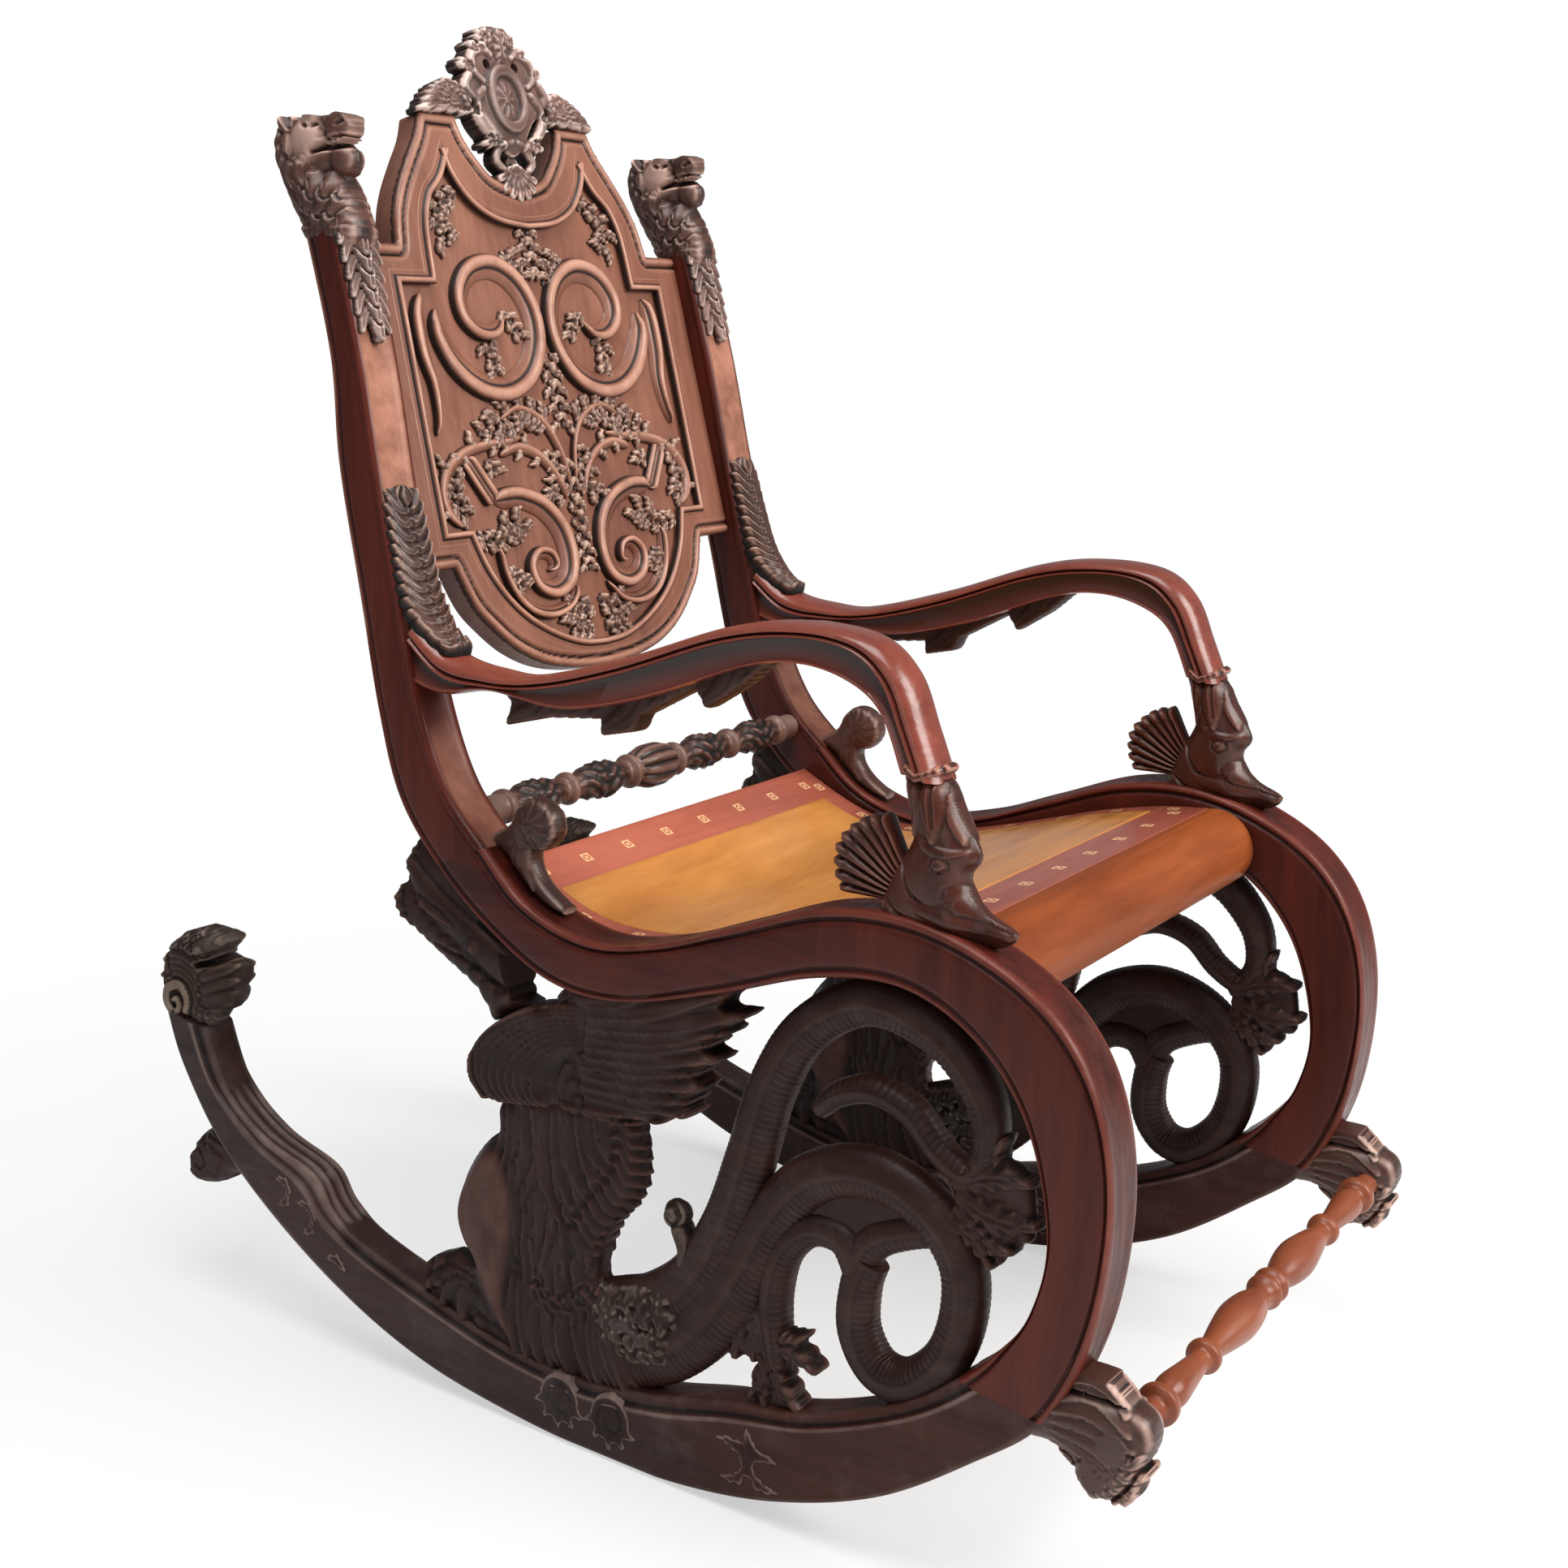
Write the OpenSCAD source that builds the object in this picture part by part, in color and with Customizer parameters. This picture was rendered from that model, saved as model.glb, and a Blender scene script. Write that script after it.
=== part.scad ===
// Carved rocking chair with dragon sides, scrollwork back and turned footrest.
// Millimetres. Front of the chair faces -Y, up is +Z, X = 0 is the middle.
// The sides are drawn on a squared pattern, as a carver sets them out.

/* [Whole chair] */
// distance between the middles of the two side frames at the floor
side_spread = 549; // [480:1:620]
// length of the squared pattern along the chair's depth
pattern_depth = 1140; // [1000:5:1280]
// height of the squared pattern
pattern_height = 1235; // [1100:5:1380]
// lean of each side frame toward the middle
side_lean = 2; // [0:0.5:4]
// thickness of the side frames
side_thick = 48; // [40:1:56]

/* [Arms] */
// width of the arm rail
arm_thick = 42; // [34:1:46]
// width of the bead along the arm
arm_bead_thick = 45; // [38:1:48]
// thickness of the leafy fringe under the arm
fringe_thick = 20; // [10:1:30]
// width of the leaf on top of the arm
arm_leaf_thick = 36; // [24:1:42]
// thickness of the shell fin
fan_thick = 18; // [10:1:28]

/* [Dragons] */
// thickness of the dragon's body
dragon_thick = 36; // [28:1:44]
// thickness of one layer of feathers
feather_thick = 4; // [2:0.5:6]
// thickness of the tail coils
tail_thick = 34; // [24:1:42]
// radius of the curl on the dragon's chest
chest_curl_r = 14; // [8:0.5:20]

/* [Heads and leaves] */
// thickness of the lion head between its manes
lion_thick = 32; // [22:1:40]
// thickness of the mane on each side
mane_thick = 7; // [3:0.5:12]
// radius of the lion's brow
lion_brow_r = 7; // [4:0.5:10]
// thickness of the beast head at the tail of the rocker
beast_thick = 38; // [26:1:48]
// radius of the round boss on that head
boss_r = 13; // [8:0.5:18]
// height of the round boss
boss_rise = 3; // [1:0.5:6]
// thickness of the scroll under the beast head
scroll_thick = 43; // [30:1:52]
// radius of the eye of the arm's head
eye_r = 6; // [3:0.5:9]
// width of the scroll brackets that hold the footrest
bracket_thick = 44; // [32:1:52]
// width of the leaf curl at the back of the seat
curl_thick = 30; // [18:1:40]

/* [Back panel] */
// lean of the back panel
panel_lean = 12.6; // [5:0.1:20]
// thickness of the panel board
panel_thick = 20; // [14:1:28]
// height of the flat border above the board
border_rise = 6; // [3:0.5:10]
// height of the raised moulding above the board
moulding_rise = 10; // [5:0.5:14]
// height of the strapwork above the board
strap_rise = 7; // [3:0.5:12]
// height of the leaf sprays above the board
spray_rise = 5; // [2:0.5:9]
// thickness of the pierced crest
crest_thick = 18; // [12:1:24]
// height of the crest's oval
oval_rise = 5; // [2:0.5:9]

/* [Seat] */
// thickness of the seat board
seat_thick = 16; // [12:1:22]
// thickness of the veneer on the seat
veneer_thick = 2; // [1:0.5:4]
// width of the dark band at each side of the seat
band_side = 26; // [15:1:60]
// width of the dark band at the front and back of the seat
band_end = 44; // [20:1:70]
// radius of the rolled front edge
roll_r = 36; // [24:1:44]
// width of a seat batten
batten_w = 40; // [25:1:60]
// height of a seat batten
batten_h = 26; // [16:1:40]

/* [Turnings] */
// largest radius of the back spindle
spindle_r = 21; // [15:0.5:28]
// largest radius of the footrest spindle
foot_r = 17; // [12:0.5:24]
// radius of the round tenons
tenon_r = 7; // [4:0.5:10]
// length of the round tenons
tenon_len = 16; // [8:1:22]
// radius of the dowels in the side frames
dowel_r = 6; // [4:0.5:9]
// length of the dowels in the side frames
dowel_len = 56; // [30:1:80]

/* [Hidden] */
// gap between glued pieces
fit_gap = 0.2;
// overrun of cuts
over = 5;
// steps between outline points
steps = 3;
few_steps = 2;
// facets of round pieces
round_fn = 32;
small_fn = 16;

// squared pattern
pattern_columns = 120;
pattern_rows = 130;
square_y = pattern_depth / pattern_columns;
square_z = pattern_height / pattern_rows;
spread_squares = 57.8;
square_x = side_spread / spread_squares;
side_mid = side_spread / 2;
// height of the pattern's base line over the floor, in squares
base_line_share = 0.5;
// square that stands over the middle of the chair's depth
middle_share = 3.08;
chair_top = pattern_height + over;
inner_half = side_mid - side_thick / 2 / cos(side_lean);
inner_half_top = inner_half - chair_top * tan(side_lean);

// outer contour of the side frame, from the post's top round the loop
// to the tail of the rocker
rim_shares = [
  [29, 106.2], [26.2, 95], [24.3, 85], [22, 74], [19.9, 65], [16.8, 58],
  [12.2, 53.2], [7.2, 48.8], [0, 46.8], [-7.5, 48], [-15, 50.7], [-23.5, 53.7],
  [-31, 54.2], [-38, 52.4], [-44, 48.7], [-47.7, 43], [-49.1, 35], [-48, 25],
  [-44.5, 17], [-38.5, 11.6], [-30, 5.6], [-20, 1.6], [-10, -0.3], [0, -0.6],
  [10, 0], [20, 1.5], [30, 4.8], [40, 10], [49, 16.8], [54.5, 24.3], [56.8, 30]];
// inner contour of the side frame, with the same joints
hollow_shares = [
  [33, 106.2], [30.2, 95.5], [29.4, 86], [27, 74], [25, 64], [22.6, 56.5],
  [18, 50.8], [12, 46], [4.8, 42.4], [-3, 42], [-13, 44.6], [-23, 47.9],
  [-31, 48.5], [-37.5, 45.5], [-42, 39.8], [-44, 31.5], [-42.8, 25.3], [-40.2, 21.5],
  [-37, 18.3], [-31, 14], [-22, 10.2], [-14, 8.8], [-6, 6.8], [3, 5.8],
  [12, 6.6], [20, 8.6], [29.5, 11.2], [33.5, 13.6], [36, 16.6], [43, 18.8],
  [48.5, 22.6], [51.2, 28.5]];
// places of the joints along both contours
post_end = 6;
rail_end = 11;
loop_end = 18;
rim_last = len(rim_shares) - 1;
hollow_last = len(hollow_shares) - 1;

arm_shares = [
  [-33.1, 64.6], [-31.6, 68.3], [-29.8, 72.4], [-26.5, 75], [-20.4, 75.7],
  [-13.3, 74.8], [-3.1, 71.5], [7.1, 68.9], [12.2, 68.9], [17, 69.8],
  [20.2, 73.2], [23.5, 77], [23.5, 68], [18, 66.2], [12, 67],
  [4, 66.2], [-5, 68], [-15, 71.6], [-20, 72.4], [-24.5, 71.6],
  [-27.6, 69.6], [-29.6, 65.2]];
arm_bead_shares = [
  [-32.6, 65.2, 1], [-31, 68.6, 1], [-28.8, 72, 1], [-25, 73.6, 1],
  [-19, 74, 1], [-12, 72.9, 1], [-3, 69.9, 1], [5, 68, 1], [12, 68, 1], [17.5, 68.6, 1]];
fringe_shares = [
  [-17, 72], [-14.5, 70], [-11, 67.9], [-10, 69.5], [-4.4, 66.6], [-3.6, 65.2],
  [-0.2, 64.5], [0, 65.9], [5.6, 65.4], [10.6, 64.2], [10, 66.3], [12, 68]];
arm_leaf_shares = [
  [11.4, 69], [15.5, 70.4], [17.8, 72.2], [19.7, 74.8], [21, 77.4], [21.7, 80],
  [21.3, 82.4], [21.9, 84.2], [23, 84.6], [25, 84], [25, 70], [16, 68]];
neck_shares = [
  [-33.1, 64.6], [-34.3, 62.6], [-35.8, 60.2], [-36.1, 59], [-35.3, 57.8],
  [-35.6, 56.3], [-37, 55], [-39.4, 53.8], [-38, 52.6], [-34, 52.4],
  [-28, 53], [-28.5, 56.5], [-30.4, 60], [-30.2, 62.6], [-29.6, 65.2]];
head_eye_share = [-34.2, 58.6];
fan_root_share = [-31.4, 54.8];
fan_ribs = 6;
// reach of each rib of the shell and of the valleys between them
fan_reach_shares = [8.1, 8.6, 8.7, 8.6, 8.3, 7.9];
fan_valley_share = 0.88;
fan_rib_share = 0.25;
fan_low_angle = 3;
fan_high_angle = 62;

// lion head on the post
lion_shares = [
  [29, 106.2], [27.5, 106], [27.4, 108.2], [28.5, 110.8], [28.9, 112.2],
  [27.9, 113.2], [27.5, 113.8], [31.4, 114.2], [27.3, 114.7], [27.7, 115.8],
  [28.8, 116.3], [33.4, 116.3], [37.3, 116.8], [38.4, 115.2], [38.9, 113.4],
  [38.4, 111.2], [36.6, 107.8], [33, 106.2]];
lion_mane_shares = [
  [30.4, 107], [30.6, 110], [31.6, 113], [33.6, 115.6], [37.2, 116.4],
  [38.6, 113.4], [37.8, 110.4], [36, 107.6], [33, 106.6]];
lion_eye_share = [30.8, 115.1];
husk_count = 5;
husk_top_share = 105.6;
husk_low_share = 98.3;
husk_half_shares = [1.75, 1.7, 1.6, 1.45, 1.2];
husk_rise_share = 0.95;

// animal head at the tail of the rocker
beast_shares = [
  [51.2, 28.5], [49.7, 29.9], [48.4, 30.7], [47.1, 31.6], [45.8, 33.8],
  [45.3, 35.3], [46.2, 36], [50.9, 36.4], [46.4, 37.5], [46.9, 38.6],
  [48.2, 39.1], [53.6, 38.7], [56, 37.4], [57.8, 36.5], [58.9, 34.8],
  [59.1, 32.6], [58.4, 30.8], [56.8, 30]];
boss_share = [54.6, 32];
under_scroll_shares = [
  [48, 18], [50.4, 18.6], [52.4, 17.3], [54, 15.7], [54.9, 14], [54.6, 12.2],
  [53, 11.2], [50.4, 12], [48, 13.4], [45.5, 14.8]];

// scroll bracket of the footrest
bracket_shares = [
  [-45.6, 20], [-48, 20.2], [-50.4, 20], [-52.3, 19.2], [-52.9, 17.6],
  [-52.2, 15.6], [-51.2, 13.6], [-49.8, 12.2], [-48, 12], [-46.9, 13.2],
  [-46.6, 14.8], [-44.6, 15.2], [-42.5, 15.4]];

// dragon outlines
haunch_shares = [
  [8, 30.6], [10.7, 29.3], [10.9, 27.4], [12.4, 25.7], [14.4, 22.8], [15.8, 19.4],
  [15.8, 16.4], [14.2, 14.3], [16.2, 13.2], [18.2, 12.5], [20, 11.5], [21.4, 9.4],
  [20, 7], [6, 4.6], [5.2, 12], [4, 18], [4.4, 24], [6, 28.6]];
body_shares = [
  [-9, 43.6], [-9, 35], [-6.4, 31.4], [-7.2, 27.6], [-6.6, 24.8], [-5, 23],
  [-3.2, 21], [-2.4, 18.6], [-1.4, 15.5], [-3.4, 11.6], [-5, 5], [6, 4.6],
  [9, 20], [10, 32], [8, 38], [4, 41.6], [2, 43.2]];
wing_shares = [
  [5.2, 40.8], [2.6, 42.6], [-8, 44.6], [-13.6, 45.2], [-13.2, 43.3],
  [-15.2, 43.2], [-13.2, 41.2], [-11.6, 39.6], [-12.6, 38.8], [-10.4, 37.2],
  [-11, 36], [-9.6, 34.4], [-9.8, 33.4], [-6.6, 32.2], [-3, 31.4], [2, 31],
  [7, 30.2], [11, 29.6], [13.2, 31], [13.9, 33], [13.4, 35], [11.8, 36.8], [8, 39.6]];
wing_fore_shares = [
  [4.4, 40.2], [-2, 41], [-8, 42.4], [-11, 42.6], [-8.4, 40.6], [-9.8, 39.6],
  [-6.4, 38.2], [-7.6, 36.8], [-3.6, 35.8], [2, 35], [7, 34], [10.6, 33.2],
  [11.6, 34.6], [9.4, 37.2]];
gripper_shares = [
  [5.2, 40.6], [8, 39], [11.8, 36.6], [12, 38.6], [13.2, 39.9], [16, 41],
  [19, 42.5], [21.8, 44.2], [22.8, 46], [22.2, 47.6], [21, 49], [21.6, 50.2],
  [20, 52.6], [16, 51], [10, 46], [7, 44.4], [6.9, 43.2]];
chest_curl_share = [-9.6, 24.9];
// tail coils: middle line and width
arch_shares = [
  [-3, 15, 6], [-6, 16.1, 6], [-9.6, 19, 5.6], [-13, 24.5, 5], [-15.6, 30.5, 4.6],
  [-17.8, 37.5, 4.3], [-21.2, 43, 4], [-27, 46.3, 3.9], [-33.4, 44.8, 3.6],
  [-37.2, 40.8, 3.2], [-37.9, 36.8, 2.8], [-36.2, 34.4, 2.4], [-33.6, 35.6, 2.4],
  [-31, 38.2, 2.4], [-27.6, 39.2, 2.4], [-24.4, 38.2, 2.2], [-22.4, 36.4, 1.6]];
coil_shares = [
  [-4, 9.4, 6.4], [-8, 11.4, 6.2], [-12.4, 15.8, 6.2], [-16.2, 21.5, 5.6],
  [-19.4, 27.2, 5], [-23.6, 31.6, 4.6], [-29, 33.3, 4.4], [-34, 31.8, 4.2],
  [-37.2, 28.2, 4], [-37.6, 24, 3.9], [-36.2, 19.7, 3.8], [-33, 16.7, 3.8],
  [-29.9, 16.9, 3.8], [-28, 19.8, 3.8], [-28.1, 23.6, 3.6], [-28.9, 26, 3.4]];
link_shares = [[-27.6, 24.6, 3.2], [-29.2, 27.6, 3.2], [-32, 29.2, 3], [-35.4, 30.4, 3]];
tip_shares = [
  [-27.9, 25, 3], [-26.4, 27.2, 3], [-23.6, 27, 3], [-21.2, 24.2, 3],
  [-20.4, 20, 3], [-20.7, 16.4, 2.6], [-21.4, 13.4, 2]];
tip_leaf_shares = [
  [-20, 17], [-22.6, 17.6], [-24.1, 17.4], [-23.8, 16.6], [-25.5, 15.2],
  [-24.8, 14.5], [-22.4, 15.4], [-22.6, 12.9], [-22, 11.8], [-24.4, 10.6],
  [-20.4, 8.4], [-18.6, 10], [-19.8, 13.4], [-17, 13.2], [-15, 14.2]];
side_leaf_shares = [
  [-38.4, 38.6], [-40.6, 39.4], [-42, 38.4], [-41.4, 36.8], [-44.6, 35.6],
  [-45, 31], [-42.5, 30.3], [-41.5, 28.4], [-40.4, 29.8], [-38, 30.4]];

// leaf curl at the back of the seat
curl_shares = [
  [13, 53.8], [11, 52.2], [9.2, 50.6], [7.6, 49.2], [8.6, 51.6], [8.2, 53.2],
  [6.9, 53.4], [5.6, 54.8], [5.9, 56.8], [7.8, 57.8], [9.8, 57], [11, 55.2]];

// seat
seat_top_shares = [
  [-33.1, 52.5], [-28, 52], [-22, 50.8], [-17, 49.4], [-12, 48], [-6, 46.6],
  [0, 46], [5, 46.4], [9.5, 48], [14.4, 50.5]];
roll_share = [-33.9, 48.7];
roll_back_share = -31.4;
batten_place_shares = [[-26, 48.3], [-4, 43.1]];

// back panel, right half, drawn on the panel's own squares
panel_share = [27.05, 90.84];
panel_half_shares = [
  [0, 21.2], [3.4, 22.1], [5.3, 23.8], [6.7, 25.8], [7.3, 27.7], [12, 27.7],
  [13, 25.6], [14.6, 23.4], [16.5, 20.6], [17.7, 18], [18.3, 15.1], [30, 15.1],
  [30, -14.9], [18.9, -14.9], [17.4, -18.6], [15.4, -21], [12.6, -23.4],
  [9, -25.2], [4.6, -26.2], [0, -26.5]];
inner_half_shares = [
  [0, 17.9], [4, 18.4], [7, 19.8], [9, 22.2], [9.8, 24.6], [11.4, 22],
  [13.4, 20], [14.6, 17], [15, 12.2], [19.6, 12.2], [20, -12.3],
  [16.4, -12.3], [15.2, -15.6], [13.2, -18.6], [10.6, -21], [7, -23],
  [3.4, -24.2], [0, -24.5]];
moulding_w_share = 0.85;
upper_scroll_shares = [
  [15.6, 9.6, 1.5], [15.4, 6.4, 1.5], [13.4, 3, 1.5], [10, 0.8, 1.5], [6.6, 0.6, 1.5],
  [3, 2.4, 1.5], [0.95, 6, 1.5], [1.1, 9.6, 1.5], [3, 12.8, 1.5], [6.2, 14, 1.5],
  [9.4, 13.2, 1.4], [11.3, 10.8, 1.4], [11, 8, 1.3], [8.8, 6.6, 1.2], [6.6, 7.4, 1.1],
  [6, 9.4, 1], [7.2, 10.8, 0.8]];
lower_scroll_shares = [
  [11.2, -8.2, 1.5], [8.6, -8.3, 1.5], [5.2, -9.4, 1.5], [2.8, -12, 1.5],
  [2.2, -15.6, 1.5], [3.4, -18.6, 1.5], [6.2, -19.8, 1.4], [8.6, -18.8, 1.3],
  [9.2, -16, 1.2], [8.2, -14, 1.1], [6.2, -13.7, 1], [5, -15, 0.9], [5.6, -16.4, 0.8]];
lower_arm_shares = [[11, -8.4, 1.3], [13, -6.2, 1.2], [14.8, -4, 1]];
arc_shares = [
  [0.9, -7, 1.1], [3, -5.2, 1.1], [6.4, -3.9, 1.1], [10.4, -3.4, 1.1], [14, -3.6, 1.1],
  [16.8, -5.4, 1.1], [18.2, -8.2, 1], [17.4, -10.6, 0.8]];
strip_shares = [
  [15.8, 10.4, 0.8], [17, 8, 1.2], [16.8, 4.6, 1.3], [15.8, 1.4, 1.1], [16.2, -2, 0.7]];
// sprays: place, length and angle of each leaf
spray_shares = [
  [11.2, 18.6, 3, 70], [11.8, 17.4, 3, 20], [10.6, 16.4, 2.4, 200], [0, 14.4, 2.6, 90],
  [2, 13.8, 2, 40], [4.4, 8.4, 2, 110], [3.4, 6.2, 2.2, 200], [7.6, 4, 2.6, 280],
  [0, 2.2, 2.6, 90], [0, -1, 2.6, 270], [4, -1, 3.2, 20], [7, -1, 3, 350],
  [9.8, -1.6, 2.6, 330], [15, -6.4, 2.6, 250], [15.6, -8.6, 2.4, 200], [9.4, -11.6, 3, 20],
  [12.4, -12.4, 2.6, 340], [3.6, -8.4, 2.2, 200], [0, -12, 3, 90], [0, -15.6, 2.4, 270],
  [2.4, -21.6, 2.6, 300], [0, -21, 2.8, 270], [11, -17, 2.4, 250]];

// crest on top of the back panel
crest_shares = [
  [0, 24.2], [1.6, 25], [2.6, 26.6], [4.6, 28.4], [7.4, 28.2], [9.4, 27.7], [12.2, 27.7],
  [11, 29.4], [8.6, 30.6], [6.6, 30.2], [5.2, 30.6], [4.9, 32.2], [3.8, 34],
  [2.2, 35], [1.4, 36.4], [0, 36.8]];
crest_hole_shares = [[2.2, 33.4, 0.9], [4.6, 29.6, 0.8]];
crest_foot_shares = [
  [0, 20.4], [1.6, 20.2], [2.8, 21.4], [2.2, 23], [1.4, 23.6], [2.6, 24.6], [4.4, 25.2],
  [4.6, 26], [2.6, 26.2], [0, 25.6]];
oval_share = [0, 29.8];
oval_r_share = 2.9;

// turned outlines: place along the half length and radius, as shares
spindle_shares = [
  [0, 1], [0.05, 0.98], [0.1, 0.8], [0.125, 0.55], [0.14, 0.75], [0.16, 0.75],
  [0.175, 0.5], [0.22, 0.62], [0.3, 0.86], [0.38, 0.84], [0.46, 0.66], [0.5, 0.5],
  [0.52, 0.7], [0.545, 0.7], [0.56, 0.5], [0.62, 0.66], [0.7, 0.84], [0.78, 0.8],
  [0.86, 0.58], [0.88, 0.72], [0.905, 0.72], [0.92, 0.6], [1, 0.62]];
spindle_place_share = [16.6, 55];
foot_shares = [
  [0, 0.66], [0.03, 0.9], [0.06, 0.66], [0.09, 0.6], [0.16, 0.86], [0.26, 1],
  [0.36, 0.84], [0.46, 0.6], [0.5, 0.56], [0.52, 0.8], [0.55, 0.8], [0.57, 0.52],
  [0.66, 0.62], [0.78, 0.8], [0.84, 0.62], [0.86, 0.94], [0.895, 0.94], [0.91, 0.56],
  [1, 0.62]];
foot_place_share = [-50.4, 17];

mahogany = [0.3, 0.13, 0.08];
dark_mahogany = [0.16, 0.09, 0.06];
red_mahogany = [0.42, 0.16, 0.09];
orange_wood = [0.62, 0.3, 0.14];
gold_wood = [0.8, 0.56, 0.25];
band_wood = [0.5, 0.2, 0.12];

// curve through control points of any length
function pull(a, b, c, d, t) =
  ((2 * b) + (c - a) * t + (2 * a - 5 * b + 4 * c - d) * t * t
  + (3 * b - a - 3 * c + d) * t * t * t) / 2;
function curve(p, n) = concat(
  [for (i = [0 : len(p) - 2]) for (k = [0 : n - 1])
    pull(p[max(i - 1, 0)], p[i], p[i + 1], p[min(i + 2, len(p) - 1)], k / n)],
  [p[len(p) - 1]]);
function loop(p, n) = let (m = len(p))
  [for (i = [0 : m - 1]) for (k = [0 : n - 1])
    pull(p[(i + m - 1) % m], p[i], p[(i + 1) % m], p[(i + 2) % m], k / n)];
function span(p, a, b) = [for (i = [a : b]) p[i]];
function turned(p) = [for (i = [len(p) - 1 : -1 : 0]) p[i]];
function flip(p) = [for (q = turned(p)) [-q[0], q[1]]];
function unit(v) = v / norm(v);
// band of changing width along a curve
function band(p, n) = let (
    s = curve(p, n), m = len(s) - 1,
    d = [for (i = [0 : m]) let (e = s[min(i + 1, m)] - s[max(i - 1, 0)]) unit([e[0], e[1]])])
  concat(
    [for (i = [0 : m]) [s[i][0] - d[i][1] * s[i][2] / 2, s[i][1] + d[i][0] * s[i][2] / 2]],
    [for (i = [m : -1 : 0]) [s[i][0] + d[i][1] * s[i][2] / 2, s[i][1] - d[i][0] * s[i][2] / 2]]);
// pattern squares to millimetres, on the side and on the panel
function side_at(q) = [(q[0] - middle_share) * square_y, (q[1] + base_line_share) * square_z];
function side_pts(p) = [for (q = p) side_at(q)];
function panel_pts(p) = [for (q = p) [q[0] * square_x, q[1] * square_z]];

// one stretch of the side frame between two joints
module frame_flat(a, b, c, d) {
  rim = curve(rim_shares, steps);
  hollow = curve(hollow_shares, steps);
  polygon(side_pts(concat(
    span(rim, a * steps, b * steps), turned(span(hollow, c * steps, d * steps)))));
}
module frame_all_flat() frame_flat(0, rim_last, 0, hollow_last);
module plate(t, shift = 0)
  rotate([90, 0, 90]) translate([0, 0, shift]) linear_extrude(t, center = true) children();
// stands a left side piece in its place, or its mirror image
module left_side()
  translate([side_mid, 0, 0]) rotate([0, -side_lean, 0]) children();
module right_side() mirror([1, 0, 0]) left_side() children();

// wooden dowel across a joint of the frame
module joint_dowel(i, extra) {
  a = side_at(rim_shares[i]);
  b = side_at(hollow_shares[i]);
  m = (a + b) / 2;
  translate([0, m[0], m[1]]) rotate([atan2(b[1] - a[1], b[0] - a[0]), 0, 0])
    cylinder(h = dowel_len + extra, r = dowel_r + extra / 2, center = true, $fn = small_fn);
}
module joint_holes() {
  joint_dowel(post_end, fit_gap);
  joint_dowel(rail_end, fit_gap);
  joint_dowel(loop_end, fit_gap);
}

module back_post() difference() {
  plate(side_thick) frame_flat(0, post_end, 0, post_end);
  joint_holes();
  spindle_hole();
}
module seat_rail() difference() {
  plate(side_thick) frame_flat(post_end, rail_end, post_end, rail_end);
  joint_holes();
}
module front_loop() difference() {
  plate(side_thick) frame_flat(rail_end, loop_end, rail_end, loop_end);
  joint_holes();
}
module rocker() difference() {
  plate(side_thick) frame_flat(loop_end, rim_last, loop_end, hollow_last);
  joint_holes();
}
// everything under the floor is planed off the rockers
module floor_cut()
  translate([0, 0, -pattern_depth / 2])
    cube([2 * side_spread, 2 * pattern_depth, pattern_depth], center = true);

// arm with its bead, fringe, leaf, neck and shell
module arm_flat() difference() {
  polygon(side_pts(loop_open(arm_shares)));
  frame_all_flat();
}
function loop_open(p) = curve(p, few_steps);
module arm() {
  plate(arm_thick) arm_flat();
  for (s = [-1, 1]) plate((arm_bead_thick - arm_thick) / 2, s * (arm_bead_thick + arm_thick) / 4)
    intersection() {
      polygon(side_pts(band(arm_bead_shares, few_steps)));
      arm_flat();
    }
}
module fringe() plate(fringe_thick) difference() {
  polygon(side_pts(fringe_shares));
  polygon(side_pts(loop_open(arm_shares)));
}
module arm_leaf() plate(arm_leaf_thick) difference() {
  polygon(side_pts(loop_open(arm_leaf_shares)));
  polygon(side_pts(loop_open(arm_shares)));
  frame_all_flat();
}
module neck_flat() difference() {
  polygon(side_pts(curve(neck_shares, few_steps)));
  frame_all_flat();
}
module arm_head() {
  plate(arm_thick) neck_flat();
  translate(concat([0], side_at(head_eye_share)))
    rotate([0, 90, 0])
      cylinder(h = arm_bead_thick, r = eye_r, center = true, $fn = small_fn);
}
module fan_flat() {
  step = (fan_high_angle - fan_low_angle) / (fan_ribs - 1);
  difference() {
    polygon(side_pts(concat([fan_root_share], [for (i = [0 : fan_ribs - 1]) for (k = [0, 1])
      let (a = fan_low_angle + step * (i + (k == 0 ? -fan_rib_share : fan_rib_share)),
        r = fan_reach_shares[i] * (k == 0 ? 1 : fan_valley_share))
      fan_root_share + r * [cos(a), sin(a)]])));
    frame_all_flat();
    polygon(side_pts(curve(neck_shares, few_steps)));
  }
}
module arm_fan() plate(fan_thick) fan_flat();

// lion head
module lion_head() {
  plate(lion_thick) polygon(side_pts(lion_shares));
  for (s = [-1, 1]) {
    plate(mane_thick, s * (lion_thick + mane_thick) / 2)
      polygon(side_pts(loop(lion_mane_shares, few_steps)));
    translate(concat([s * lion_thick / 2], side_at(lion_eye_share)))
      intersection() {
        sphere(r = lion_brow_r, $fn = small_fn);
        translate([s * lion_brow_r, 0, 0]) cube(2 * lion_brow_r, center = true);
      }
  }
}
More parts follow.
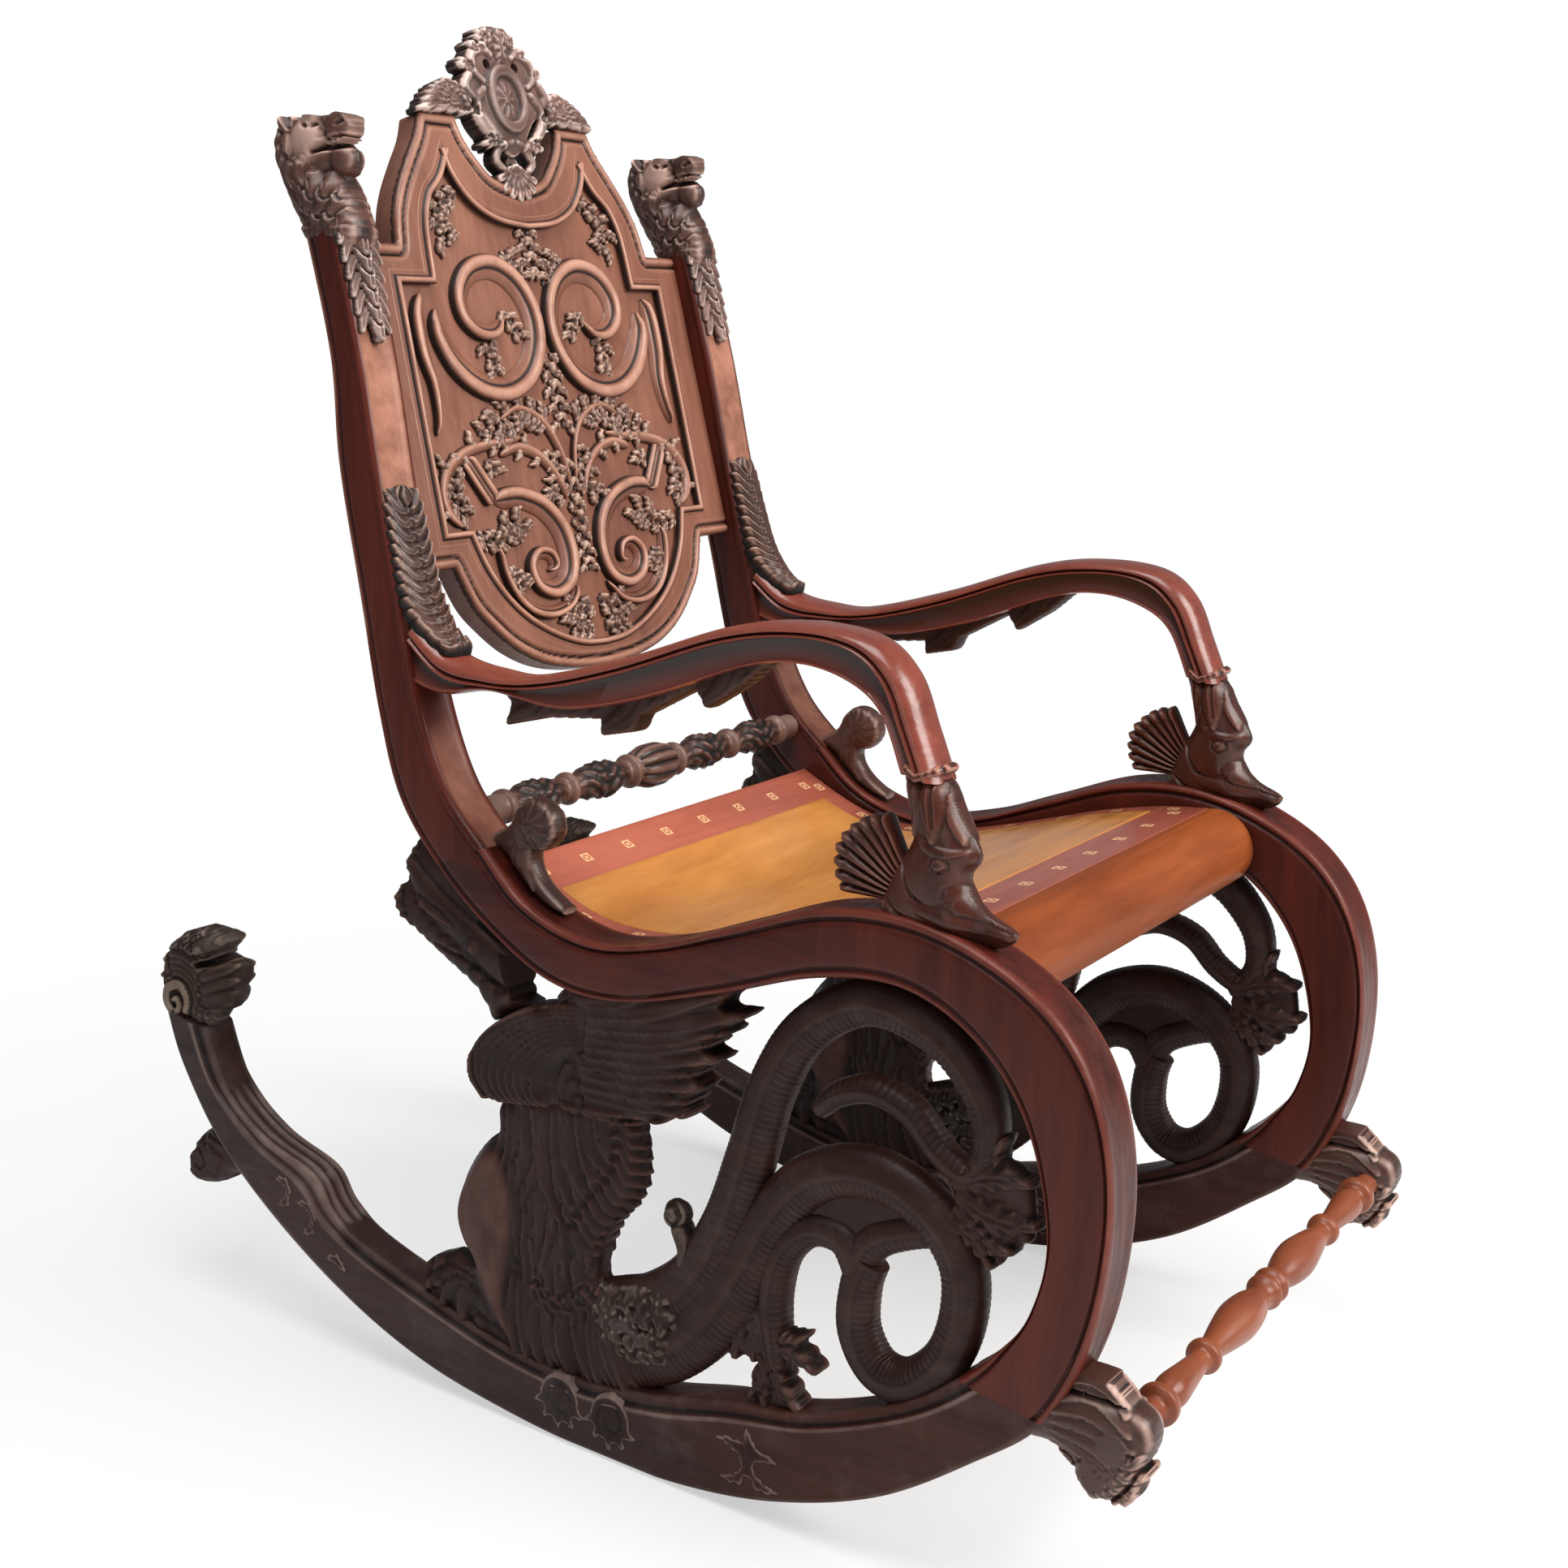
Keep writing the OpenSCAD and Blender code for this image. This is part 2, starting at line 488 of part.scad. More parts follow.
// hanging husks on the front of the post
module husks() {
  step = (husk_top_share - husk_low_share) / husk_count;
  intersection() {
    plate(side_thick) difference() {
      translate([-husk_rise_share * square_y, 0]) post_front_strip();
      frame_all_flat();
    }
    rotate([90, 0, 0]) linear_extrude(pattern_depth, center = true)
      for (i = [0 : husk_count - 1]) polygon([for (q = husk_one_shares)
        [q[0] * husk_half_shares[i] * square_x,
         (husk_top_share + base_line_share - step * i + q[1] * step) * square_z]]);
  }
}
husk_one_shares = [[-0.7, 0], [-1, -0.5], [-0.8, -0.95], [-0.3, -0.8], [0, -1.25],
  [0.3, -0.8], [0.8, -0.95], [1, -0.5], [0.7, 0]];
module post_front_strip() frame_flat(0, post_end, 0, post_end);

// head and scroll at the tail of the rocker
module rocker_head() {
  plate(beast_thick) polygon(side_pts(beast_shares));
  for (s = [-1, 1]) translate(concat([s * (beast_thick + boss_rise) / 2],
      side_at(boss_share)))
    rotate([0, 90, 0]) difference() {
      cylinder(h = boss_rise, r = boss_r, center = true, $fn = round_fn);
      cylinder(h = boss_rise + over, r = boss_r / 2, center = true, $fn = small_fn);
    }
}
module rocker_scroll() plate(scroll_thick) difference() {
  polygon(side_pts(loop(under_scroll_shares, few_steps)));
  frame_all_flat();
}
module foot_bracket() difference() {
  plate(bracket_thick) difference() {
    polygon(side_pts(curve(bracket_shares, few_steps)));
    frame_all_flat();
  }
  foot_hole();
}

// dragon between the rail and the rocker
module arch_flat() difference() {
  polygon(side_pts(band(arch_shares, steps)));
  frame_all_flat();
  body_flat();
}
module body_flat() difference() {
  polygon(side_pts(loop(body_shares, few_steps)));
  frame_all_flat();
  haunch_flat();
  gripper_flat();
}
module haunch_flat() difference() {
  polygon(side_pts(loop(haunch_shares, few_steps)));
  frame_all_flat();
}
module gripper_flat() difference() {
  polygon(side_pts(loop(gripper_shares, few_steps)));
  frame_all_flat();
}
module coil_flat() difference() {
  union() {
    polygon(side_pts(band(coil_shares, steps)));
    polygon(side_pts(band(link_shares, few_steps)));
    polygon(side_pts(band(tip_shares, steps)));
    polygon(side_pts(tip_leaf_shares));
    polygon(side_pts(side_leaf_shares));
  }
  frame_all_flat();
  body_flat();
  arch_flat();
}
module dragon_haunch() plate(dragon_thick) haunch_flat();
module dragon_body() plate(dragon_thick) body_flat();
module dragon_neck() plate(dragon_thick) gripper_flat();
fore_thick = feather_thick / 2;
module dragon_wing() for (s = [-1, 1]) {
  plate(feather_thick, s * (dragon_thick + feather_thick) / 2) difference() {
    polygon(side_pts(wing_shares));
    frame_all_flat();
  }
  plate(fore_thick, s * (dragon_thick / 2 + feather_thick + fore_thick / 2)) difference() {
    polygon(side_pts(wing_fore_shares));
    frame_all_flat();
  }
}
module tail_arch() {
  plate(tail_thick) arch_flat();
  plate(tail_thick) difference() {
    translate(side_at(chest_curl_share)) circle(r = chest_curl_r, $fn = round_fn);
    polygon(side_pts(band(arch_shares, steps)));
    body_flat();
  }
}
module tail_coil() plate(tail_thick) coil_flat();
module seat_curl() translate([-(side_thick - curl_thick) / 4, 0, 0]) plate(curl_thick)
  difference() {
    polygon(side_pts(loop(curl_shares, few_steps)));
    frame_all_flat();
    seat_flat(seat_thick + veneer_thick);
  }

// room between the side frames
module between(gap) rotate([90, 0, 0]) linear_extrude(2 * pattern_depth, center = true)
  polygon([[-(inner_half - gap), 0], [inner_half - gap, 0],
    [inner_half_top - gap, chair_top], [-(inner_half_top - gap), chair_top]]);
module bar(w) rotate([90, 0, 90]) linear_extrude(w, center = true) children();

// seat, a bent board with veneers
module seat_line(depth) {
  top = side_pts(curve(seat_top_shares, steps));
  polygon(concat(top, turned([for (q = top) [q[0], q[1] - depth]])));
}
module seat_flat(depth) seat_line(depth);
// everything over the underside of the seat board
module seat_above() {
  top = side_pts(curve(seat_top_shares, steps));
  last = len(top) - 1;
  polygon(concat([for (q = top) [q[0], q[1] - seat_thick - veneer_thick]],
    [[top[last][0], chair_top], [top[0][0], chair_top]]));
}
module seat_board() intersection() {
  bar(side_spread) translate([0, -veneer_thick]) seat_line(seat_thick);
  between(fit_gap);
}
module seat_window() {
  front = side_at(seat_top_shares[0])[0] + band_end;
  back = side_at(seat_top_shares[len(seat_top_shares) - 1])[0] - band_end;
  half = inner_half - side_at(seat_top_shares[0])[1] * tan(side_lean) - band_side;
  translate([-half, front, 0]) cube([2 * half, back - front, chair_top]);
}
module seat_veneer() intersection() {
  bar(side_spread) seat_line(veneer_thick);
  between(fit_gap);
}
module seat_band() difference() {
  seat_veneer();
  seat_window();
}
module seat_field() intersection() {
  seat_veneer();
  seat_window();
}
module seat_roll() {
  centre = side_at(roll_share);
  intersection() {
    translate([0, centre[0], centre[1]]) rotate([0, 90, 0])
      cylinder(h = side_spread, r = roll_r, center = true, $fn = round_fn * 2);
    between(fit_gap);
    difference() {
      translate([-side_spread, -pattern_depth, 0])
        cube([2 * side_spread, pattern_depth + side_at([roll_back_share, 0])[0], chair_top]);
      bar(2 * side_spread) seat_line(seat_thick + veneer_thick);
    }
  }
}
module seat_battens() intersection() {
  for (q = batten_place_shares) let (c = side_at(q))
    bar(side_spread) difference() {
      translate(c - [batten_w / 2, batten_h / 2]) square([batten_w, batten_h * 2]);
      seat_above();
    }
  between(fit_gap);
}

// back panel
module on_panel() translate(concat([0], side_at(panel_share)))
  rotate([90 - panel_lean, 0, 0]) translate([0, 0, -moulding_rise]) children();
module whole_flat(p, n) {
  half = panel_pts(p);
  polygon(concat(half, flip(half)));
}
module panel_slab(z, t) intersection() {
  on_panel() translate([0, 0, z]) linear_extrude(t) children();
  between(fit_gap);
}
// the half outline moved inward by w squares, with mitred corners
function cross_way(a, b) = let (e = unit(b - a)) [e[1], -e[0]];
function inset(p, w) = let (m = len(p) - 1) [for (i = [0 : m])
  i == 0 || i == m ? p[i] + [0, i == 0 ? -w : w]
  : let (f = cross_way(p[i - 1], p[i]), g = cross_way(p[i], p[i + 1]), s = f + g)
    p[i] + s * 2 * w / (s * s)];
module moulding_flat() difference() {
  whole_flat(inner_half_shares);
  whole_flat(inset(inner_half_shares, moulding_w_share));
}
module back_panel() panel_slab(-panel_thick, panel_thick) whole_flat(panel_half_shares);
module panel_border() panel_slab(0, border_rise) difference() {
  whole_flat(panel_half_shares);
  whole_flat(inner_half_shares);
}
module panel_moulding() panel_slab(0, moulding_rise) moulding_flat();
module both() {
  children();
  mirror([1, 0]) children();
}
module scroll_flat() both() {
  polygon(panel_pts(band(upper_scroll_shares, steps)));
  polygon(panel_pts(band(lower_scroll_shares, steps)));
  polygon(panel_pts(band(lower_arm_shares, few_steps)));
  polygon(panel_pts(band(arc_shares, steps)));
  polygon(panel_pts(band(strip_shares, few_steps)));
}
module panel_scrolls() panel_slab(0, strap_rise) scroll_flat();
// one carved leaf with three lobes
leaf_shares = [[0, -0.12], [0.3, -0.3], [0.45, -0.14], [0.72, -0.22], [1, 0],
  [0.72, 0.22], [0.45, 0.14], [0.3, 0.3], [0, 0.12]];
module leaf_flat(q) let (c = cos(q[3]), s = sin(q[3]))
  polygon(panel_pts([for (e = leaf_shares)
    [q[0], q[1]] + q[2] * [e[0] * c - e[1] * s, e[0] * s + e[1] * c]]));
function ring(q, n) = [for (i = [0 : n - 1])
  [q[0], q[1]] + q[2] * [cos(360 * i / n), sin(360 * i / n)]];
module panel_sprays() panel_slab(0, spray_rise) difference() {
  intersection() {
    both() for (q = spray_shares) leaf_flat(q);
    whole_flat(inner_half_shares);
  }
  scroll_flat();
  moulding_flat();
}
// crest with its oval and shoulder leaves
module crest_flat() difference() {
  whole_flat(crest_shares);
  both() for (q = crest_hole_shares) polygon(panel_pts(ring(q, small_fn)));
  whole_flat(panel_half_shares);
}
module crest() {
  on_panel() translate([0, 0, -crest_thick / 2]) linear_extrude(crest_thick) crest_flat();
  on_panel() translate(concat(panel_pts([oval_share])[0], [crest_thick / 2]))
    cylinder(h = oval_rise, r = oval_r_share * square_x, $fn = round_fn);
}
module crest_foot() on_panel() translate([0, 0, -crest_thick / 2]) linear_extrude(crest_thick)
  difference() {
    whole_flat(crest_foot_shares);
    whole_flat(panel_half_shares);
    crest_flat();
  }

// turnings
module turning(shares, half, r) rotate([0, 90, 0]) rotate_extrude($fn = round_fn)
  polygon(concat([[0, -half]],
    [for (q = turned(shares)) [q[1] * r, -q[0] * half]],
    [for (q = span(shares, 1, len(shares) - 1)) [q[1] * r, q[0] * half]], [[0, half]]));
function half_at(share, thick) =
  side_mid - side_at(share)[1] * tan(side_lean) - thick / 2 / cos(side_lean);
module tenon_pair(half, extra) for (s = [-1, 1])
  translate([s * (half + (tenon_len + extra) / 2 - extra), 0, 0]) rotate([0, 90, 0])
    cylinder(h = tenon_len + extra * 2, r = tenon_r + extra / 2, center = true, $fn = round_fn);
module turned_bar(shares, place, thick, r) {
  half = half_at(place, thick) - shoulder_gap;
  translate(concat([0], side_at(place))) {
    turning(shares, half, r);
    tenon_pair(half, 0);
  }
}
// room for the slope of the side at a turning's shoulder
shoulder_gap = 0.8;
// matching hole in the left side piece, in the side's own frame
module side_hole(place, thick) rotate([0, side_lean, 0]) translate([-side_mid, 0, 0])
  translate(concat([0], side_at(place))) tenon_pair(half_at(place, thick), fit_gap);
module spindle_hole() side_hole(spindle_place_share, side_thick);
module foot_hole() side_hole(foot_place_share, bracket_thick);

color(mahogany) right_side() back_post();  // right_back_post
color(mahogany) left_side() back_post();  // left_back_post
color(mahogany) right_side() seat_rail();  // right_seat_rail
color(mahogany) left_side() seat_rail();  // left_seat_rail
color(red_mahogany) right_side() front_loop();  // right_front_loop
color(red_mahogany) left_side() front_loop();  // left_front_loop
color(dark_mahogany)  // right_rocker
  difference() { right_side() rocker(); floor_cut(); }
color(dark_mahogany)  // left_rocker
  difference() { left_side() rocker(); floor_cut(); }
color(red_mahogany) right_side() arm();  // right_arm
color(red_mahogany) left_side() arm();  // left_arm
color(dark_mahogany) right_side() fringe();  // right_arm_fringe
color(dark_mahogany) left_side() fringe();  // left_arm_fringe
color(mahogany) right_side() arm_leaf();  // right_arm_leaf
color(mahogany) left_side() arm_leaf();  // left_arm_leaf
color(red_mahogany) right_side() arm_head();  // right_arm_head
color(red_mahogany) left_side() arm_head();  // left_arm_head
color(dark_mahogany) right_side() arm_fan();  // right_arm_fan
color(dark_mahogany) left_side() arm_fan();  // left_arm_fan
color(mahogany) right_side() lion_head();  // right_lion_head
color(mahogany) left_side() lion_head();  // left_lion_head
color(mahogany) right_side() husks();  // right_post_husks
color(mahogany) left_side() husks();  // left_post_husks
color(dark_mahogany) right_side() rocker_head();  // right_rocker_head
color(dark_mahogany) left_side() rocker_head();  // left_rocker_head
color(dark_mahogany) right_side() rocker_scroll();  // right_rocker_scroll
color(dark_mahogany) left_side() rocker_scroll();  // left_rocker_scroll
color(mahogany) right_side() foot_bracket();  // right_foot_bracket
color(mahogany) left_side() foot_bracket();  // left_foot_bracket
color(dark_mahogany) right_side() dragon_haunch();  // right_dragon_haunch
color(dark_mahogany) left_side() dragon_haunch();  // left_dragon_haunch
color(dark_mahogany) right_side() dragon_body();  // right_dragon_body
color(dark_mahogany) left_side() dragon_body();  // left_dragon_body
color(dark_mahogany) right_side() dragon_wing();  // right_dragon_wing
color(dark_mahogany) left_side() dragon_wing();  // left_dragon_wing
color(dark_mahogany) right_side() dragon_neck();  // right_dragon_neck
color(dark_mahogany) left_side() dragon_neck();  // left_dragon_neck
color(dark_mahogany) right_side() tail_arch();  // right_tail_arch
color(dark_mahogany) left_side() tail_arch();  // left_tail_arch
color(dark_mahogany) right_side() tail_coil();  // right_tail_coil
color(dark_mahogany) left_side() tail_coil();  // left_tail_coil
color(mahogany) right_side() seat_curl();  // right_seat_curl
color(mahogany) left_side() seat_curl();  // left_seat_curl
color(mahogany) seat_board();
color(band_wood) seat_band();
color(gold_wood) seat_field();
color(orange_wood) seat_roll();
color(dark_mahogany) seat_battens();
color(orange_wood) back_panel();
color(orange_wood) panel_border();
color(orange_wood) panel_moulding();
color(orange_wood) panel_scrolls();
color(mahogany) panel_sprays();
color(mahogany) crest();
color(mahogany) crest_foot();
color(mahogany)  // back_spindle
  turned_bar(spindle_shares, spindle_place_share, side_thick, spindle_r);
color(orange_wood)  // foot_spindle
  turned_bar(foot_shares, foot_place_share, bracket_thick, foot_r);
color(gold_wood) {  // frame_dowels
  for (i = [post_end, rail_end, loop_end]) {
    left_side() joint_dowel(i, 0);
    right_side() joint_dowel(i, 0);
  }
}
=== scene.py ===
"""Carved rocking chair with dragon sides, scrollwork back and turned footrest.
Metres. The chair faces -Y, up is +Z, X = 0 is the middle. The sides and the back
are drawn on squared patterns, as a carver sets them out: points are in squares."""
import math

import bmesh
import bpy
import numpy as np
from mathutils import Matrix, Vector


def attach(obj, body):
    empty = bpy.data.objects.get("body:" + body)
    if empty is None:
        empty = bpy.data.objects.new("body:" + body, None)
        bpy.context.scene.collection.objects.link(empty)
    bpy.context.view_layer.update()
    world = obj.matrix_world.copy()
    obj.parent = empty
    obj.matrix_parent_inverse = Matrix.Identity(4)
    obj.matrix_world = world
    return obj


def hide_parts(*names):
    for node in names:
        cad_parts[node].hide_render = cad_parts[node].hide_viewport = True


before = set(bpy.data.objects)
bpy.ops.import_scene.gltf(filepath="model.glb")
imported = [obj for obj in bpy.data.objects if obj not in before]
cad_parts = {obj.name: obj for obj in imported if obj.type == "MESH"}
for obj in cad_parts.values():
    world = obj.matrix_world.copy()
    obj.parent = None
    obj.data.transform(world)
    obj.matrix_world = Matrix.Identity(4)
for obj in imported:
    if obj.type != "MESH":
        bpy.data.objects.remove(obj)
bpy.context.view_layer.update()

# Squared patterns
SQUARE = 0.0095
MIDDLE = 3.08
BASE_LINE = 0.5
SIDE_LEAN = math.radians(2.0)
SIDE_MID = 0.2745
SIDE_HALF = 0.024
PANEL_AT = (27.05, 90.84)
PANEL_LEAN = math.radians(12.6)
MOULDING_RISE = 0.010
BOARD_THICK = 0.020
MM = 0.001
SHARP = math.radians(58)
SEAM = 1e-6
EVEN_TONE = 0.5

# The most that the carving of a side stands out from the middle of its wood
FACE_MOST, HEAD_MOST, SCROLL_MOST, CURL_MOST = 0.0243, 0.0236, 0.0232, 0.0172


# Points, curves and places
def metres(y, s):
    """Metres along and up of a point of the squared pattern."""
    return (y - MIDDLE) * SQUARE, (s + BASE_LINE) * SQUARE


def side_place(y, s, x):
    """A point of the left side: squares along and up, metres out from its middle."""
    along, up = metres(y, s)
    return np.stack([SIDE_MID + x * math.cos(SIDE_LEAN) - up * math.sin(SIDE_LEAN), along,
        x * math.sin(SIDE_LEAN) + up * math.cos(SIDE_LEAN)], axis=-1)


def panel_place(u, v, h):
    """A point of the back panel: squares across and up, metres over the board."""
    lean_sin, lean_cos = math.sin(PANEL_LEAN), math.cos(PANEL_LEAN)
    rise = v * SQUARE
    out = h - MOULDING_RISE
    base_y, base_z = metres(*PANEL_AT)
    return np.stack([u * SQUARE, base_y + rise * lean_sin - out * lean_cos,
        base_z + rise * lean_cos + out * lean_sin], axis=-1)


def curve(points, n=8, closed=False):
    """Smooth curve through points of any length."""
    p = np.array(points, float)
    m = len(p)
    out = []
    for i in range(m if closed else m - 1):
        if closed:
            a, b, c, d = p[i - 1], p[i], p[(i + 1) % m], p[(i + 2) % m]
        else:
            a, b, c, d = p[max(i - 1, 0)], p[i], p[i + 1], p[min(i + 2, m - 1)]
        for k in range(n):
            t = k / n
            out.append((2 * b + (c - a) * t + (2 * a - 5 * b + 4 * c - d) * t * t
                + (3 * b - a - 3 * c + d) * t ** 3) / 2)
    if not closed:
        out.append(p[-1])
    return np.array(out)


def run_along(line):
    """How far each point of a line is from its start."""
    step = np.linalg.norm(np.diff(line[:, :2], axis=0), axis=1)
    return np.concatenate([[0], np.cumsum(step)])


def even(points, count):
    """The same line with count points at even steps."""
    p = np.array(points, float)
    run = run_along(p)
    at = np.linspace(0, run[-1], count)
    return np.stack([np.interp(at, run, p[:, k]) for k in range(p.shape[1])], axis=1)


def side_normals(line):
    """Unit vectors to the left of each point of a line."""
    way = np.gradient(line[:, :2], axis=0)
    way /= np.linalg.norm(way, axis=1)[:, None] + 1e-12
    return np.stack([-way[:, 1], way[:, 0]], axis=1)


def smooth(x, low, high):
    """0 under low, 1 over high, an even slope between."""
    t = np.clip((x - low) / (high - low), 0, 1)
    return t * t * (3 - 2 * t)


def arch(x):
    """1 at 0, a half round down to 0 at -1 and 1."""
    return np.sqrt(np.clip(1 - x * x, 0, 1))


def rounded_edge(x):
    """0 at 0, a quarter round up to 1 at 1."""
    return arch(1 - np.clip(x, 0, 1))


def around(at, angle, reach, rise=None):
    """A point on a circle round another one, or on an oval with its own rise."""
    rise = reach if rise is None else rise
    return at[0] + reach * math.cos(angle), at[1] + rise * math.sin(angle)


def sign_of(k):
    """1 for odd numbers, -1 for even ones."""
    return 1 if k % 2 else -1


def wobble(i, k=1.0):
    """A repeatable value between -1 and 1."""
    return math.sin(12.9898 * (i + 1) * k + 4.1)


def bent(a, b, bow, w0, w1, w2):
    """A stroke from a to b that bows to its left, with three widths."""
    a, b = np.array(a, float), np.array(b, float)
    side = np.array([-(b - a)[1], (b - a)[0]])
    mid = (a + b) / 2 + side * bow
    return [(*a, w0), (*mid, w1), (*b, w2)]


# Pieces
def keep(bm, name, slot, nodes, mirrored=False):
    """Makes the object of a bmesh and, for a side piece, its mirror image."""
    mesh = bpy.data.meshes.new(name)
    bm.to_mesh(mesh)
    bm.free()
    mesh.shade_smooth()
    mesh.set_sharp_from_angle(angle=SHARP)
    for side in ("left_", "right_") if mirrored else ("",):
        own = mesh
        if side == "right_":
            own = mesh.copy()
            own.transform(Matrix.Scale(-1, 4, (1, 0, 0)))
            own.flip_normals()
        piece = bpy.data.objects.new(side + name, own)
        bpy.context.scene.collection.objects.link(piece)
        piece.data.materials.append(FINISHES[slot])
        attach(piece, "root")
        if nodes:
            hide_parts(*[side + node for node in nodes])


def lay(bm, places, tone=None):
    """Moves the vertices of a bmesh to places, in order, and keeps their carving tone."""
    layer = bm.verts.layers.float.get("carve") or bm.verts.layers.float.new("carve")
    flat = places.reshape(-1, 3).tolist()
    tones = np.full(len(flat), EVEN_TONE) if tone is None else np.broadcast_to(tone,
        places.shape[:-1]).reshape(-1)
    tones = tones.tolist()
    for vert, spot, t in zip(bm.verts, flat, tones):
        vert.co = spot
        vert[layer] = t


def sheet_grid(rows, columns):
    """A flat grid of vertices, row by row."""
    bm = bmesh.new()
    bmesh.ops.create_grid(bm, x_segments=columns - 1, y_segments=rows - 1, size=1)
    return bm


def close_up(bm):
    """Joins seams, closes open ends and turns the faces outward."""
    bmesh.ops.remove_doubles(bm, verts=bm.verts, dist=SEAM)
    edges = [e for e in bm.edges if e.is_boundary]
    if edges:
        bmesh.ops.holes_fill(bm, edges=edges, sides=0)
    bmesh.ops.recalc_face_normals(bm, faces=bm.faces)
    return bm


def swept(places, tone=None):
    """A closed tube: places has one row of points for each section."""
    rows, columns = places.shape[:2]
    bm = sheet_grid(rows, columns + 1)
    ring = np.concatenate([places, places[:, :1]], axis=1)
    if tone is not None:
        tone = np.broadcast_to(tone, places.shape[:2])
        tone = np.concatenate([tone, tone[:, :1]], axis=1)
    lay(bm, ring, tone)
    return close_up(bm)


def joined(parts):
    """One bmesh of several closed ones."""
    whole = bmesh.new()
    whole.verts.layers.float.new("carve")
    for part in parts:
        mesh = bpy.data.meshes.new("part")
        part.to_mesh(mesh)
        part.free()
        whole.from_mesh(mesh)
        bpy.data.meshes.remove(mesh)
    return whole


def between_lines(rim, hollow, section):
    """A member between two contours. Each point of the section is 0 for the rim or 1 for
    the hollow, millimetres from it, millimetres from the middle of the wood, and tone."""
    width = np.linalg.norm(hollow - rim, axis=1) * SQUARE
    edge = np.array([q[0] for q in section])
    run = np.array([q[1] for q in section]) * MM
    out = np.array([q[2] for q in section]) * MM
    share = np.where(edge[None, :] < 0.5, run[None, :] / width[:, None],
        1 - run[None, :] / width[:, None])
    spot = rim[:, None, :] + (hollow - rim)[:, None, :] * share[..., None]
    places = side_place(spot[..., 0], spot[..., 1], np.broadcast_to(out, share.shape))
    places[..., 2] = np.maximum(places[..., 2], 0)
    tone = np.array([q[3] for q in section])
    return places, tone


def both_faces(half):
    """The closed section of a member from the outer half of it."""
    return half + [(contour, run, -out, tone) for contour, run, out, tone in half[::-1]]


# Height fields, for everything that is carved from a flat blank
OUTSIDE = -10.0
NOWHERE = 9.0
LEAST_LENGTH = 1e-9
LEAST_WIDTH = 1e-3
TONE_REACH = 6
TONE_GAIN = 260.0


